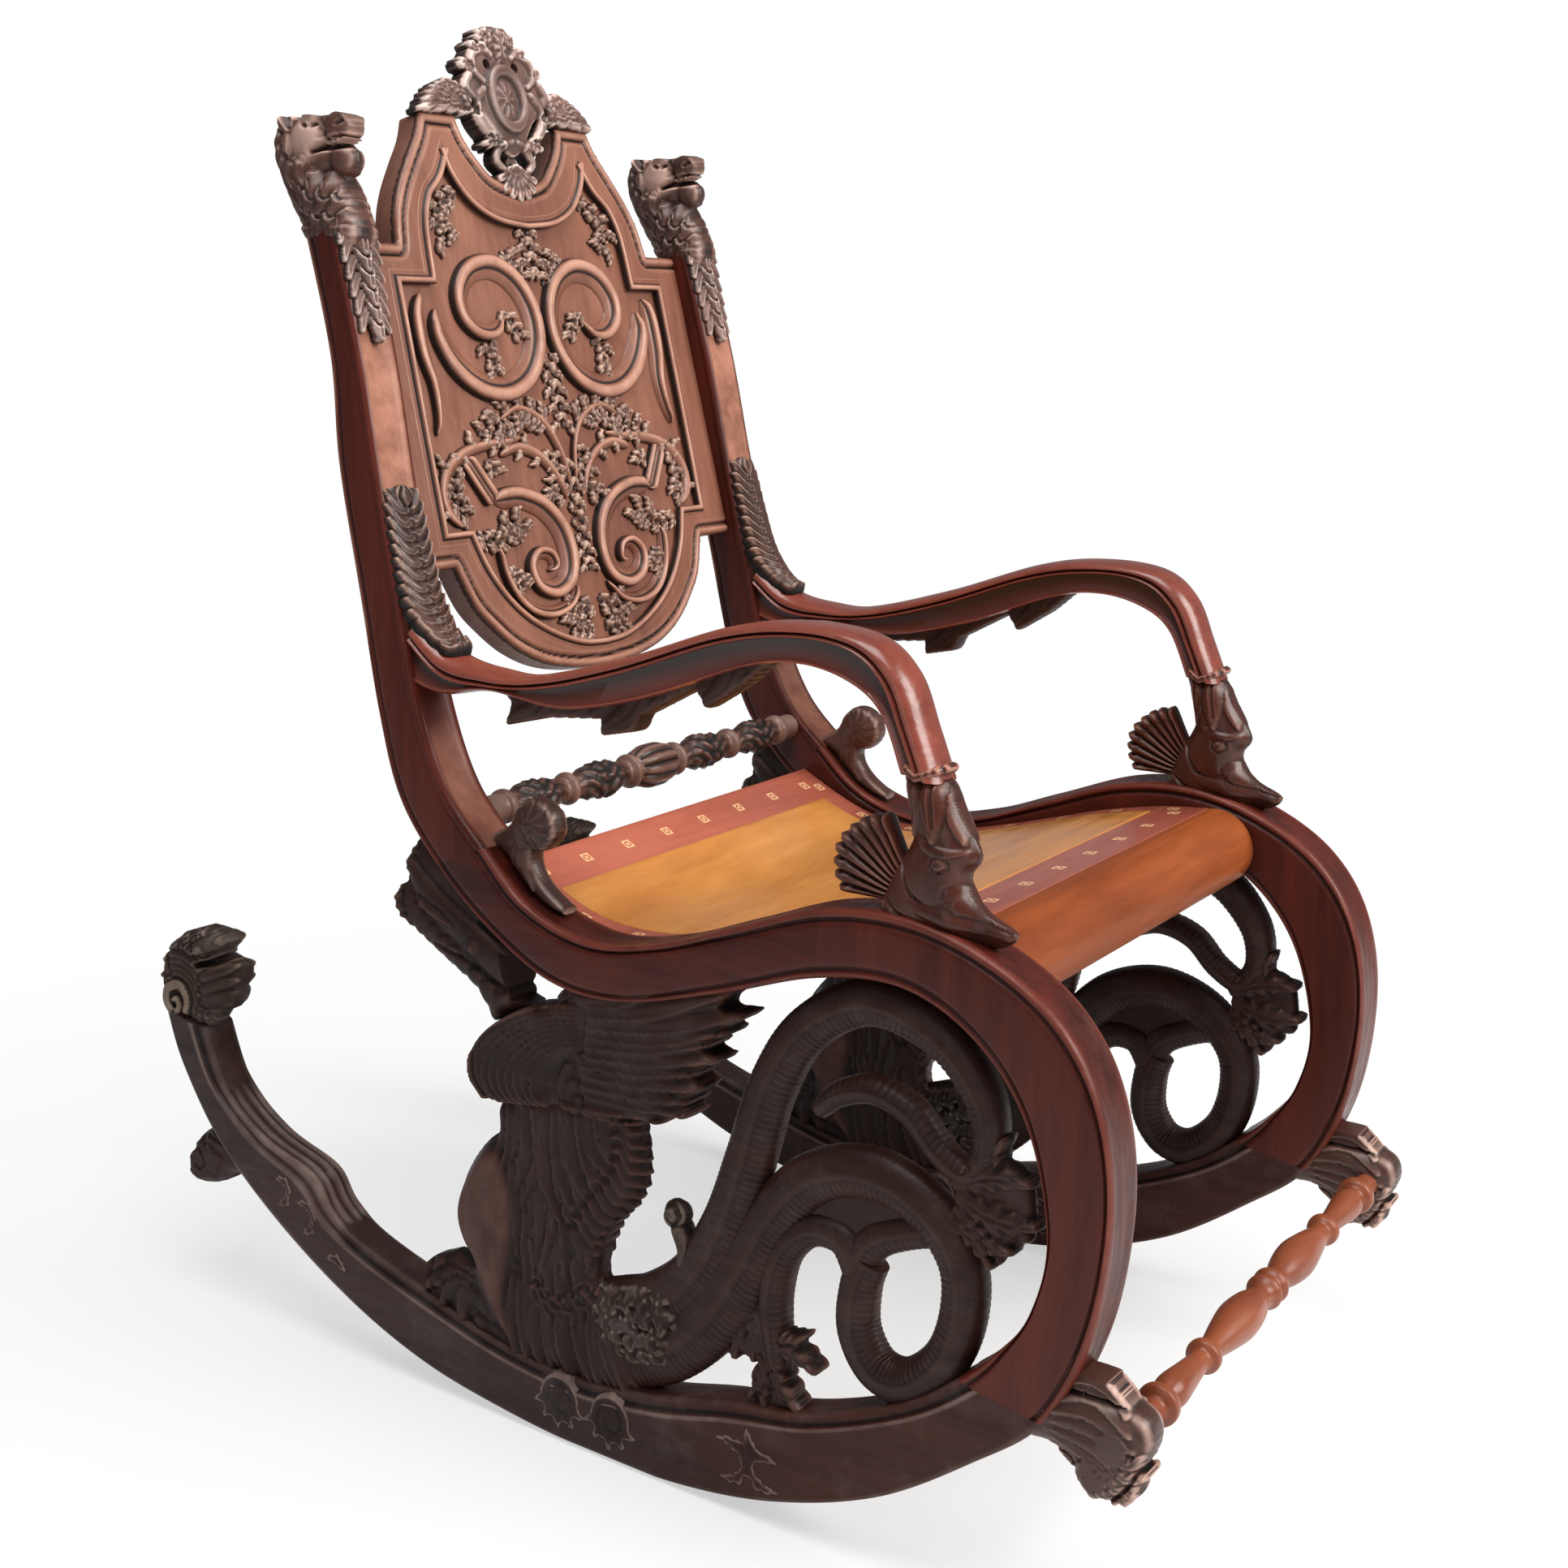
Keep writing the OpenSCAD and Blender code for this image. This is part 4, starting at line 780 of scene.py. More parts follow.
# The post's front face has tone 1: partly the paler wood of that face, partly a painted highlight on the
# lit front
POST_HALF = [
    (0, .9, 0, 1), (0, .9, 11, 1), (0, .5, 14, 1), (0, 0, 16.5, .8), (0, .3, 19.6, .56),
    (0, 1.6, 22, .5), (0, 3.6, 23.2, .5), (0, 5.6, 23.4, .5), (0, 6.9, 23, .45), (0, 8.2, 22.8, .42),
    (0, 9.6, 23, .45), (0, 10.6, 23.4, .5), *FRAME_HALF[12:]]
ROCKER_HALF = [
    (0, 0, 0, .4), (0, 0, 14, .4), (0, .4, 18.5, .5), (0, 2, 21.8, .6), (0, 4.5, 23, .6),
    (0, 8, 23.4, .5), (1, 24, 23.4, .5), (1, 20.5, 23.4, .5), (1, 18, 23.9, .75), (1, 15.6, 23.4, .8),
    (1, 13.8, 21.6, .4), (1, 12.8, 19.4, .15), (1, 11.4, 18.6, .2), (1, 9, 19, .4), (1, 6, 18.8, .55),
    (1, 3.4, 17.8, .6), (1, 1.8, 16.4, .6), (1, 1, 14.6, .6), (1, .6, 13, .55), (1, .4, 11.4, .5),
    (1, .2, 9.6, .5), (1, .1, 7.4, .5), (1, 0, 5, .5), (1, 0, 3, .5), (1, 0, 0, .5)]
FLUTED_HALF = ROCKER_HALF[:13] + [
    (1, 9, 19, .4), (1, 6, 18.8, .7), (1, 3, 18.2, .85), (1, .9, 16.8, .9), (1, .1, 14.6, .9),
    (1, .7, 12.4, .6), (1, 3.2, 11, .05), (1, 3.2, 10, .05), (1, .8, 8.4, .6), (1, 0, 6, .95),
    (1, 1, 3.6, .6), (1, 3.2, 0, .0)]
# Painted sheen on the flutes on the back of the rocker: the tone they are raised to and its contrast, and
# where along it they start and end.
# Shares of painted shade on the post's light front below the arm, and the heights where it starts and
# ends
FLUTE_SHEEN, FLUTE_CONTRAST = 0.68, 0.42
FLUTES_START, FLUTES_END = (27, 30), (53.4, 55.4)
ARM_SHADE, ARM_SHADE_LOW, ARM_SHADE_HIGH = (.62, .38), (61, 65), (70, 72)


def frame_member(name, rim_span, hollow_span, half, slot, rear=None):
    """A length of a side frame; a rocker has another section, rear, at its back."""
    rim = curve(RIM, FINE)[rim_span[0] * FINE:rim_span[1] * FINE + 1]
    hollow = curve(HOLLOW, FINE)[hollow_span[0] * FINE:hollow_span[1] * FINE + 1]
    count = max(len(rim), len(hollow))
    rim, hollow = stretch_to(rim, count), stretch_to(hollow, count)
    rim[:, 1] = np.maximum(rim[:, 1], FLOOR_SQUARE)
    places, tone = between_lines(rim, hollow, both_faces(half))
    if rear:
        fluted, other = between_lines(rim, hollow, both_faces(rear))
        share = (smooth(rim[:, 0], *FLUTES_START) - smooth(rim[:, 0], *FLUTES_END))[:, None]
        places = places + (fluted - places) * share[..., None]
        # The flutes' tone is raised towards the crest colour: a painted sheen on the rocker's top
        carved = np.abs(other - EVEN_TONE) > 0.01
        flute_sheen = FLUTE_SHEEN + (other - EVEN_TONE) * FLUTE_CONTRAST
        tone = tone + (np.where(carved, flute_sheen, EVEN_TONE) - tone) * share
    # Below the arm the post's light front tone is taken back: painted shade
    if half is POST_HALF:
        up = rim[:, 1]
        arm_shade = ARM_SHADE[0] + ARM_SHADE[1] * smooth(up, *ARM_SHADE_LOW)
        arm_shade = arm_shade * (1 - smooth(up, *ARM_SHADE_HIGH))
        tone = tone - np.maximum(tone - EVEN_TONE, 0) * arm_shade[:, None]
    keep(swept(places, tone), name + "_worked", slot, [name], mirrored=True)


# Carved ornaments on the sides of the rockers: rosettes with leaves, a star, small leaves
ROSETTES = [(-2.5, 3.5), (3.4, 3.6)]
STAR = (-17.4, 4.4)
ROCKER_LEAVES = [
    (STAR, (-14.2, 5.9), 0.2), (STAR, (-20.4, 5.4), -0.2), ((-17.4, 4.2), (-14.6, 2.4), -0.2),
    ((-17.4, 4.2), (-20.6, 2.8), 0.2), ((-17.4, 5), (-17.2, 7.6), 0.1), ((31, 8.2), (33.6, 8.8), 0.2),
    ((35, 12.4), (37.6, 13.6), 0.2), ((35.4, 12.2), (36.8, 10.6), -0.2),
    ((38.6, 14.4), (40.6, 15.4), 0.2), ((38.8, 14.2), (40.2, 12.8), -0.2)]


def rocker_ornaments():
    b = Blank((-21.6, .6), (43, 19.4), 0.15)
    b.ground = 0.0237
    for y, s in ROSETTES:
        b.dome((y, s), 2.4, 0.0016, base=0.0236, solid=True)
        b.groove([(y + 1.3, s - 0.3, .32), (y + 0.9, s + 1, .36), (y - 0.5, s + 1.3, .36),
            (y - 1.3, s, .36), (y - 0.6, s - 1.1, .32), (y + 0.4, s - 0.6, .28),
            (y + 0.2, s + 0.2, .2)], 0.0016)
        for k in range(5):
            a = math.radians(200 + 35 * k)
            tip = around((y, s), a, 3.1, 2.9)
            b.lap(bent(around((y, s), a, 1.9), tip, .2, .4, .5, .2), 0.0012, 0.3, 1, solid=True)
    for root, tip, bow in ROCKER_LEAVES:
        b.frond(bent(root, tip, bow, 0.4, 0.8, 0.25), 0.0014, 4, 0.34)
    b.dome(STAR, 0.8, 0.0014, base=0.0237, solid=True)
    b.soften(1)
    b.plane(FACE_MOST)
    b.lift = np.full(b.height.shape, -0.2)
    keep(b.solid(side_place), "rocker_ornaments", "rocker", None, mirrored=True)


def stretch_to(line, count):
    """The same line with count points, at even shares of its own points."""
    at = np.linspace(0, len(line) - 1, count)
    steps = np.arange(len(line))
    return np.stack([np.interp(at, steps, line[:, k]) for k in range(line.shape[1])], axis=1)


def side_frames():
    """The posts, seat rails, front loops and rockers."""
    last_rim, last_hollow = len(RIM) - 1, len(HOLLOW) - 1
    frame_member("back_post", (0, POST_END), (0, POST_END), POST_HALF, "post")
    frame_member("seat_rail", (POST_END, RAIL_END), (POST_END, RAIL_END), FRAME_HALF, "red")
    frame_member("front_loop", (RAIL_END, LOOP_END), (RAIL_END, LOOP_END), FRAME_HALF, "red_up")
    frame_member("rocker", (LOOP_END, last_rim), (LOOP_END, last_hollow), ROCKER_HALF, "rocker",
        FLUTED_HALF)


# Arms
ARM_TOP = [
    (-33.1, 64.6), (-31.6, 68.3), (-29.8, 72.4), (-26.5, 75), (-20.4, 75.7), (-13.3, 74.8), (-3.1, 71.5),
    (7.1, 68.9), (12.2, 68.9), (17, 69.8), (20.6, 72.4)]
ARM_LOW = [
    (-29.6, 65.2), (-27.6, 69.6), (-24.5, 71.6), (-20, 72.4), (-15, 71.6), (-5, 68), (4, 66.2), (12, 67),
    (18, 66.2), (22.6, 67.4)]
ARM_HALF = [
    (0, 0, 0, .6), (0, .4, 7.5, .62), (0, 1.8, 13.5, .62), (0, 4.4, 18, .66), (0, 7.2, 20.6, .7),
    (0, 9.6, 21.4, .85), (0, 11.2, 20.8, .7), (0, 12.2, 17.6, .1), (0, 13.2, 16.8, .05),
    (0, 14.2, 17.6, .3), (0, 15, 20, .8), (0, 16.6, 21, .95), (0, 18, 20, .7), (0, 18.8, 16.8, .1),
    (0, 19.8, 16.2, .05), (1, 7.2, 17, .4), (1, 5.8, 18.8, .8), (1, 4.2, 18.8, .8), (1, 2.8, 16.6, .3),
    (1, 1.6, 13.6, .35), (1, .5, 10.4, .45), (1, 0, 6.5, .4), (1, 0, 0, .4)]


def arm():
    top = even(curve(ARM_TOP, FINE), 150)
    low = even(curve(ARM_LOW, FINE), 150)
    places, tone = between_lines(top, low, both_faces(ARM_HALF))
    keep(swept(places, tone), "arm_worked", "arm", ["arm"], mirrored=True)


# Seat
SEAT_TOP = [
    (-33.1, 52.5), (-28, 52), (-22, 50.8), (-17, 49.4), (-12, 48), (-6, 46.6), (0, 46), (5, 46.4),
    (9.5, 48), (14.4, 50.5)]
SEAT_THICK, VENEER = 0.016, 0.002
ROLL_AT = (-33.9, 48.7)
ROLL_R = 0.036
ROLL_BACK = -31.4
FIT = 0.0006


def half_width(z):
    """Room from the middle to the inner face of a side, at a height."""
    return SIDE_MID - SIDE_HALF / math.cos(SIDE_LEAN) - z * math.tan(SIDE_LEAN)


def seat_strip(line, low, high, half, name, slot, nodes):
    """A bent slab between two depths under the seat's line."""
    y, z = metres(line[:, 0], line[:, 1])
    across = np.linspace(-1, 1, 12)
    sections = []
    for yy, zz in zip(y, z):
        h = half(zz)
        top = [(h * a, yy, zz - low) for a in across]
        bottom = [(h * a, yy, zz - high) for a in across[::-1]]
        sections.append(top + bottom)
    bm = swept(np.array(sections))
    run = np.concatenate([[0], np.cumsum(np.hypot(np.diff(y), np.diff(z)))])
    layer = bm.loops.layers.uv.new("pattern")
    for face in bm.faces:
        for loop in face.loops:
            place = loop.vert.co
            loop[layer].uv = (place.x, np.interp(place.y, y, run) - run[-1] / 2)
    bmesh.ops.bevel(bm,
        geom=[e for e in bm.edges if len(e.link_faces) == 2 and e.calc_face_angle(0) > 1.2],
        offset=0.0006, segments=2, profile=0.5, affect="EDGES", material=-1)
    keep(bm, name, slot, nodes)


def seat():
    line = even(curve(SEAT_TOP, FINE), 110)
    run = run_along(line) * SQUARE
    inner = (run > BAND_END) & (run < run[-1] - BAND_END)
    field_half = half_width((SEAT_TOP[0][1] + BASE_LINE) * SQUARE) - BAND_SIDE
    seat_strip(line, VENEER, VENEER + SEAT_THICK, lambda z: half_width(z) - FIT, "seat_board_bent", "red",
        ["seat_board"])
    seat_strip(line, 0.0003, VENEER, lambda z: half_width(z) - FIT, "seat_band_bent", "band",
        ["seat_band"])
    seat_strip(line[inner], -0.0002, VENEER, lambda z: field_half, "seat_field_bent", "gold",
        ["seat_field"])


def seat_roll():
    """The rolled front edge, a bolster of wood under the seat's front."""
    back = (ROLL_BACK - MIDDLE) * SQUARE
    ring = [around(metres(*ROLL_AT), a, ROLL_R) for a in np.radians(np.linspace(78, 300, 72))]
    ring = [(y, z) for y, z in ring if y < back]
    ring.append((back, ring[-1][1]))
    ring.append((back, ring[0][1] - VENEER))
    sections = []
    for x in np.linspace(-1, 1, 24):
        sections.append([(x * (half_width(z) - FIT), y, z) for y, z in ring])
    bm = swept(np.array(sections))
    keep(bm, "seat_roll_turned", "roll", ["seat_roll"])


# Turned bars: place along the half length and radius, as shares
SPINDLE = [
    (0, 1), (.05, .98), (.1, .8), (.125, .55), (.14, .75), (.16, .75), (.175, .5),
    (.22, .62), (.3, .86), (.38, .84), (.46, .66), (.5, .5), (.52, .7), (.545, .7),
    (.56, .5), (.62, .66), (.7, .84), (.78, .8), (.86, .58), (.88, .72), (.905, .72),
    (.92, .6), (1, .62)]
FOOTREST = [
    (0, .66), (.03, .9), (.06, .66), (.09, .6), (.16, .86), (.26, 1), (.36, .84), (.46, .6),
    (.5, .56), (.52, .8), (.55, .8), (.57, .52), (.66, .62), (.78, .8), (.84, .62),
    (.86, .94), (.895, .94), (.91, .56), (1, .62)]
SPINDLE_R, FOOT_R = 0.021, 0.017
SPINDLE_AT, FOOT_AT = (16.6, 55), (-50.4, 17)
BAR_ROWS, BAR_AROUND = 340, 60


def turned(name, shares, at, radius, extra, slot, node, carving=None):
    """A turned bar between the sides, with an extra length in metres at each end."""
    p = curve(shares, 6)
    x = np.linspace(-1, 1, BAR_ROWS)
    order = np.argsort(p[:, 0])
    r = np.interp(np.abs(x), p[order, 0], p[order, 1]) * radius
    angle = np.linspace(0, 2 * math.pi, BAR_AROUND, endpoint=False)
    xx, aa = np.meshgrid(x, angle, indexing="ij")
    rr = np.repeat(r[:, None], BAR_AROUND, axis=1)
    tone = np.full(rr.shape, EVEN_TONE)
    if carving:
        cut = carving(np.abs(xx), aa)
        rr = rr - cut * radius
        # The cuts of the carving get painted shade
        tone = np.clip(0.62 - cut * 5, 0, 1)
    y, z = metres(*at)
    half = half_width(z) + extra
    places = np.stack([xx * half, y + rr * np.cos(aa), z + rr * np.sin(aa)], axis=-1)
    keep(swept(places, tone), name, slot, [node])


def spindle_carving(x, a):
    """Gadroons on the middle bulb and long leaves on the side bulbs."""
    cut = np.zeros(x.shape)
    melon = x < 0.112
    cut = np.where(melon, 0.13 * (1 - np.abs(np.cos(5 * a))) ** 1.5, cut)
    for low, high, lobes in ((.18, .5, 4), (.565, .86, 4)):
        on = (x > low) & (x < high)
        t = np.clip((x - low) / (high - low), 0, 1)
        vein = np.abs(np.cos(lobes * a + 1.6 * np.sin(9 * t)))
        teeth = 0.5 + 0.5 * np.cos(34 * t + 3 * np.abs(np.cos(lobes * a)))
        leaf = (0.15 * (1 - vein) + 0.09 * teeth * vein) * np.sin(math.pi * t) ** 0.5
        cut = np.where(on, leaf, cut)
    return cut


def turnings():
    turned("back_spindle_carved", SPINDLE, SPINDLE_AT, SPINDLE_R, 0.0, "carved", "back_spindle",
        spindle_carving)
    turned("foot_spindle_turned", FOOTREST, FOOT_AT, FOOT_R, 0.002, "orange", "foot_spindle")


# Tails of the dragons: along, up, width, half thickness in millimetres
ARCH = [
    (.4, 12.6, 5.2, 8), (-3, 13.6, 5.6, 12), (-6.2, 14.8, 5.8, 14), (-10.2, 18.2, 5.6, 15),
    (-13.4, 24, 5, 16), (-15.6, 30.5, 4.6, 17), (-17.8, 37.5, 4.3, 17), (-21.2, 43, 4, 17),
    (-27, 46.3, 3.9, 17), (-33.4, 44.8, 3.6, 17), (-37.2, 40.8, 3.2, 16), (-37.9, 36.8, 2.8, 14),
    (-36.2, 34.4, 2.4, 12), (-33.6, 35.6, 2.4, 13), (-31, 38.2, 2.4, 14), (-27.6, 39.2, 2.4, 14),
    (-24.4, 38.2, 2.2, 13), (-22.4, 36.4, 1.6, 10)]
COIL = [
    (0, 8.4, 5.8, 8), (-4, 9.4, 6.4, 14), (-8, 11.4, 6.2, 16.5), (-12.2, 15.6, 6.2, 17),
    (-15.6, 21, 5.6, 17), (-18.4, 26.4, 5, 17), (-22.4, 30.6, 4.6, 17), (-27.6, 32.2, 4.4, 17),
    (-32.6, 30.7, 4.2, 17), (-35.8, 27.1, 4, 17), (-36.2, 22.8, 3.9, 17), (-34.8, 18.5, 3.8, 17),
    (-31.6, 15.5, 3.8, 17), (-28.5, 15.7, 3.8, 16.5), (-26.6, 18.6, 3.8, 15.5), (-26.7, 22.4, 3.6, 14),
    (-27.5, 24.8, 3.4, 12)]
LINK = [(-26.2, 23.4, 3.2, 11), (-27.8, 26.4, 3.2, 12), (-30.6, 28, 3, 12), (-34, 29.2, 3, 11)]
TIP = [
    (-26.5, 23.8, 3, 13), (-25, 26, 3, 14), (-22, 26, 3, 15), (-19.4, 23.4, 3, 15), (-18.4, 19.6, 3, 15),
    (-18.6, 16, 2.6, 14), (-19, 13, 2, 12)]
RIB_PITCH, SCALE_ANGLE = 0.62, 0.42
TAIL_STEP, TAIL_AROUND = 0.16, 46


def tail(path, belly=1):
    """A round tail with a ribbed belly on one side and small scales on the other."""
    p = curve(path, 12)
    length = np.linalg.norm(np.diff(p[:, :2], axis=0), axis=1).sum()
    p = even(p, int(length / TAIL_STEP))
    normal = side_normals(p) * belly
    run = np.arange(len(p)) * TAIL_STEP
    angle = np.linspace(0, 2 * math.pi, TAIL_AROUND, endpoint=False)
    c, s = np.cos(angle)[None, :], np.sin(angle)[None, :]
    fade = smooth(run, 0, 2)[:, None] * smooth(length - run, 0, 1.5)[:, None]
    on_belly = smooth(c, 0.12, 0.3)
    wave = np.abs(np.sin(math.pi * run / RIB_PITCH))[:, None] ** 0.7
    cut = 0.05 * on_belly * (1 - wave) * fade
    seam = np.exp(-((c - 0.16) / 0.08) ** 2) * 0.04 * fade
    ridge = np.exp(-((c - 0.02) / 0.12) ** 2) * 0.03 * fade
    skew = run[:, None] / 0.5 + np.floor(angle / SCALE_ANGLE)[None, :] % 2 * 0.5
    scales = np.abs(np.sin(math.pi * skew)) * np.abs(np.sin(angle / SCALE_ANGLE * math.pi))
    cut = cut + 0.028 * (1 - on_belly) * (1 - scales) * fade * smooth(-c, -0.02, 0.2)
    grow = 1 - cut - seam + ridge
    half = p[:, 2:3] / 2
    across = half * c * grow
    round_s = np.sign(s) * np.abs(s) ** 0.85
    out = p[:, 3:4] * MM * round_s * grow
    y = p[:, 0:1] + normal[:, 0:1] * across
    up = p[:, 1:2] + normal[:, 1:2] * across
    # Tone: painted shade in the cuts between ribs and scales and in the seam; the ridge lighter, as wear
    # and painted highlight
    tone = np.clip(0.6 - (cut + seam) * 7 + ridge * 2.5, 0, 1)
    return swept(side_place(y, up, out), tone)


def tails():
    keep(tail(ARCH), "tail_arch_scaled", "dark", ["tail_arch"], mirrored=True)
    coil = joined([tail(COIL), tail(LINK), tail(TIP, belly=-1)])
    keep(coil, "tail_coil_scaled", "dark", ["tail_coil"], mirrored=True)


# Dragon of the side: body, thigh, foot, neck and wing
DRAGON_CELL = 0.16
BODY_OUTLINE = [
    (-7, 43.6), (-7, 35), (-4.2, 31.4), (-4.6, 28.4), (-4.6, 25.6), (-3.4, 23.4), (-1.2, 21.2), (0, 18.8),
    (.2, 15.5), (-3.4, 11.6), (-5, 5), (6, 4.6), (9, 20), (10.4, 32), (8, 38), (4, 39.4), (2, 43.2)]
HAUNCH = [
    (9, 31), (11.9, 29.6), (11.8, 28), (12, 26.6), (13.6, 25.2), (15.6, 22.6), (17, 19.6), (17.2, 17.2),
    (16.4, 15), (15.2, 13.9), (16.6, 13.4), (18.6, 12.5), (20.6, 11.5), (21.8, 9.6), (20, 7), (6, 4.6),
    (5.2, 12), (4, 18), (4.4, 24), (6, 28.6)]
THIGH = [
    (13.4, 25.4), (15.5, 22.6), (16.9, 19.6), (17.1, 17.2), (16.2, 14.9), (15, 13.4), (14, 11.2),
    (12.4, 8.8), (10.6, 6.8), (8.8, 6.8), (8.6, 8.6), (9.6, 11.2), (9.2, 14.4), (8.4, 18), (8.6, 22),
    (10.4, 25.6)]
NECK = [
    (7.2, 39.4), (9.4, 38.6), (12.9, 36.8), (13.3, 38.4), (14.6, 39.8), (17.4, 41.3), (20.2, 42.8),
    (23, 44.4), (24.4, 46.2), (24, 47.6), (22.6, 48.6), (22.9, 50.4), (22, 51.8), (20.4, 53), (16, 51),
    (10, 46), (7, 44.4), (6.9, 43.2)]
NECK_GAP = [(10.6, 44), (3, 42.5), (5.2, 40.4), (6.4, 39.3), (9.6, 39.6)]
# Tiers of long hair: tops, tips, number and bow, laid from the lowest up
HAIR_TIERS = [
    ([(9, 14.4), (5, 14.8), (.4, 14.4), (-2.6, 13)],
     [(8.8, 5.2), (5, 4.6), (.5, 4.6), (-4.6, 6)], 15, 0.03),
    ([(9, 21.6), (5.6, 21.4), (2.6, 21.2), (.8, 20)],
     [(7.6, 12.4), (4.8, 11.2), (1.6, 11.2), (-1.2, 13)], 11, -0.08),
    ([(9.8, 27), (6.2, 26.8), (2.6, 26.6), (-1.2, 25.4)],
     [(9, 17), (5.4, 16), (2.2, 16.4), (.2, 18)], 12, -0.08),
    ([(10.6, 30.8), (7, 31.2), (3, 31.4), (-.6, 31.4)],
     [(11.4, 25), (7.6, 21.8), (2.2, 20.8), (-1.4, 22)], 13, -0.1),
    ([(5, 31.4), (1.6, 31.8), (-.8, 32), (-2.4, 31.8)],
     [(1.6, 19.8), (-1.8, 22.2), (-3.8, 25), (-4.6, 28.6)], 9, 0.16)]
MANE_EDGE = [
    (-3.9, 31), (-4.4, 28.8), (-4.5, 26.4), (-3.8, 24.4), (-2.2, 22.4), (-.8, 20.6), (0, 18.8)]


def dragon_beast():
    b = Blank((-10, 4), (25.6, 53.8), DRAGON_CELL)
    b.fill(np.array(BODY_OUTLINE), 0.0148, 2.2)
    b.fill(curve(HAUNCH, 5, True), 0.0158, 2.4)
    b.fill(curve(NECK, 5, True), 0.0172, 1.7)
    outline = b.inside
    b.tube([(1.6, 31, 4.4), (1, 27, 4.8), (2.6, 21, 4.2), (4.4, 16, 4), (3.4, 9, 4.4)], 0.0182,
        solid=False)
    b.soften(12)
    b.ground = b.height
    for top, tip, count, bow in HAIR_TIERS:
        tops, tips = even(curve(top, 6), count), even(curve(tip, 6), count)
        for k in range(count):
            grow = 1 + 0.16 * wobble(k, 1.3)
            end = tops[k] + (tips[k] - tops[k]) * grow
            b.lap(bent(tops[k], end, bow + 0.05 * wobble(k, 0.7), 0.6, 0.84, 0.16),
                0.0068 + 0.0008 * wobble(k, 2.1), 0.62, 2)
    # Shaggy edge of the breast
    edge = even(curve(MANE_EDGE, 6), 12)
    for k, spot in enumerate(edge):
        root = spot + [2.0, 1.7]
        b.lap(bent(root, spot + [-0.5, -0.9], 0.2, 0.5, 0.72, 0.18), 0.0064, 0.5, 2, solid=True)
    # Row of curls over the straight hair
    for k in range(7):
        at = (-1.6 + 1.34 * k, 14 + 0.9 * math.sin(0.9 * k + 0.6))
        for turn in (0, 1, 2):
            a = 2.2 + 1.1 * turn + 0.3 * wobble(k)
            tip = (at[0] + 1.9 * math.cos(a), at[1] + 1.5 * math.sin(a) - 0.6)
            b.lap(bent(at, tip, 0.35, 0.4, 0.5, 0.16), 0.0066, 0.3, 1)
        b.dome(at, 0.72, 0.0036)
        b.groove([(at[0] + 0.5, at[1], 0.16), (at[0], at[1] + 0.42, 0.16), (at[0] - 0.38, at[1], 0.16),
            (at[0], at[1] - 0.25, 0.12)], 0.0034)
    # Clawed foot on the rocker
    for k, (y, s) in enumerate(((21.4, 11), (20.6, 9.3), (18.6, 8), (16, 7))):
        b.lap([(13 - 0.7 * k, 12 - 1.1 * k, 1.1), ((y + 13) / 2 + 0.5, (s + 12) / 2 + 0.7, 1.15),
            (y, s, 0.4)], 0.0066, 0.3, 0, solid=True)
        b.dome((y - 2.3, s + 0.7), 0.85, 0.003)
        b.groove([(y - 0.9, s + 0.9, 0.16), (y - 0.9, s - 0.5, 0.16)], 0.003)
    # Smooth thigh and shank over the hair
    d = b.outline(curve(THIGH, 6, True), 4.6)
    full = 0.0158 + 0.0084 * rounded_edge(d / 3.8)
    merge = smooth(d, 0, 1.5)
    b.height = np.where(d > 0, b.height * (1 - merge) + full * merge, b.height)
    # The smooth thigh and shank are lifted towards the crest colour: a painted highlight
    b.lift = 0.42 * smooth(d, 0.2, 2.2) * smooth(b.vv, 5.5, 9)
    neck_carving(b)
    b.soften(1)
    b.within(outline + 0.35)
    b.within(np.where(b.vv < 4.2, -1.0, b.inside))
    b.cut(NECK_GAP)
    keep(b.solid(side_place), "dragon_carved", "dark_up", ["dragon_body", "dragon_haunch", "dragon_neck"],
        mirrored=True)


# Leafy tufts where the tails leave the body, with a curl that stands on them
def tail_tufts():
    b = Blank((-14, 6), (3, 27.4), 0.115)
    b.fill([(1, 15), (-2, 15.6), (-5, 16.6), (-8.4, 16.8), (-9.8, 14), (-8.4, 9.6), (-4, 8.4), (1, 10)],
        0.0165, 2.6)
    b.ground = b.height + 0.001
    number = 0
    for row in range(6):
        for k in range(5):
            number += 1
            at = np.array([-0.9 - 1.55 * row - 0.5 * (k % 2), 9.6 + 1.75 * k + 0.35 * row])
            at = at + 0.35 * np.array([wobble(number), wobble(number, 0.7)])
            if at[1] > 17.6 or (row < 2 and k < 1):
                continue
            for turn in (0, 1, 2):
                a = 0.9 + 1.9 * turn + 0.8 * wobble(number, 0.31)
                tip = around(at, a, 1.5)
                b.lap(bent(at, tip, 0.34, 0.3, 0.56, 0.14), 0.0066, 0.5, 1, solid=row > 3)
            b.dome(at, 0.34, 0.0026)
    b.tube([(-7.6, 16.2, 1), (-9, 18.4, .95), (-9.2, 20.6, .8), (-8.5, 22.4, .8)], 0.0125)
    b.dome((-8, 23.6), 1.3, 0.0135, base=0.0, solid=True)
    b.groove([(-7.2, 22.7, .24), (-7, 23.9, .26), (-8, 24.6, .26), (-8.8, 23.8, .24), (-8.3, 23, .2),
        (-7.8, 23.5, .14)], 0.0034)
    b.soften(1)
    b.plane(SCROLL_MOST)
    keep(b.solid(side_place), "tail_tufts_carved", "dusty", None, mirrored=True)


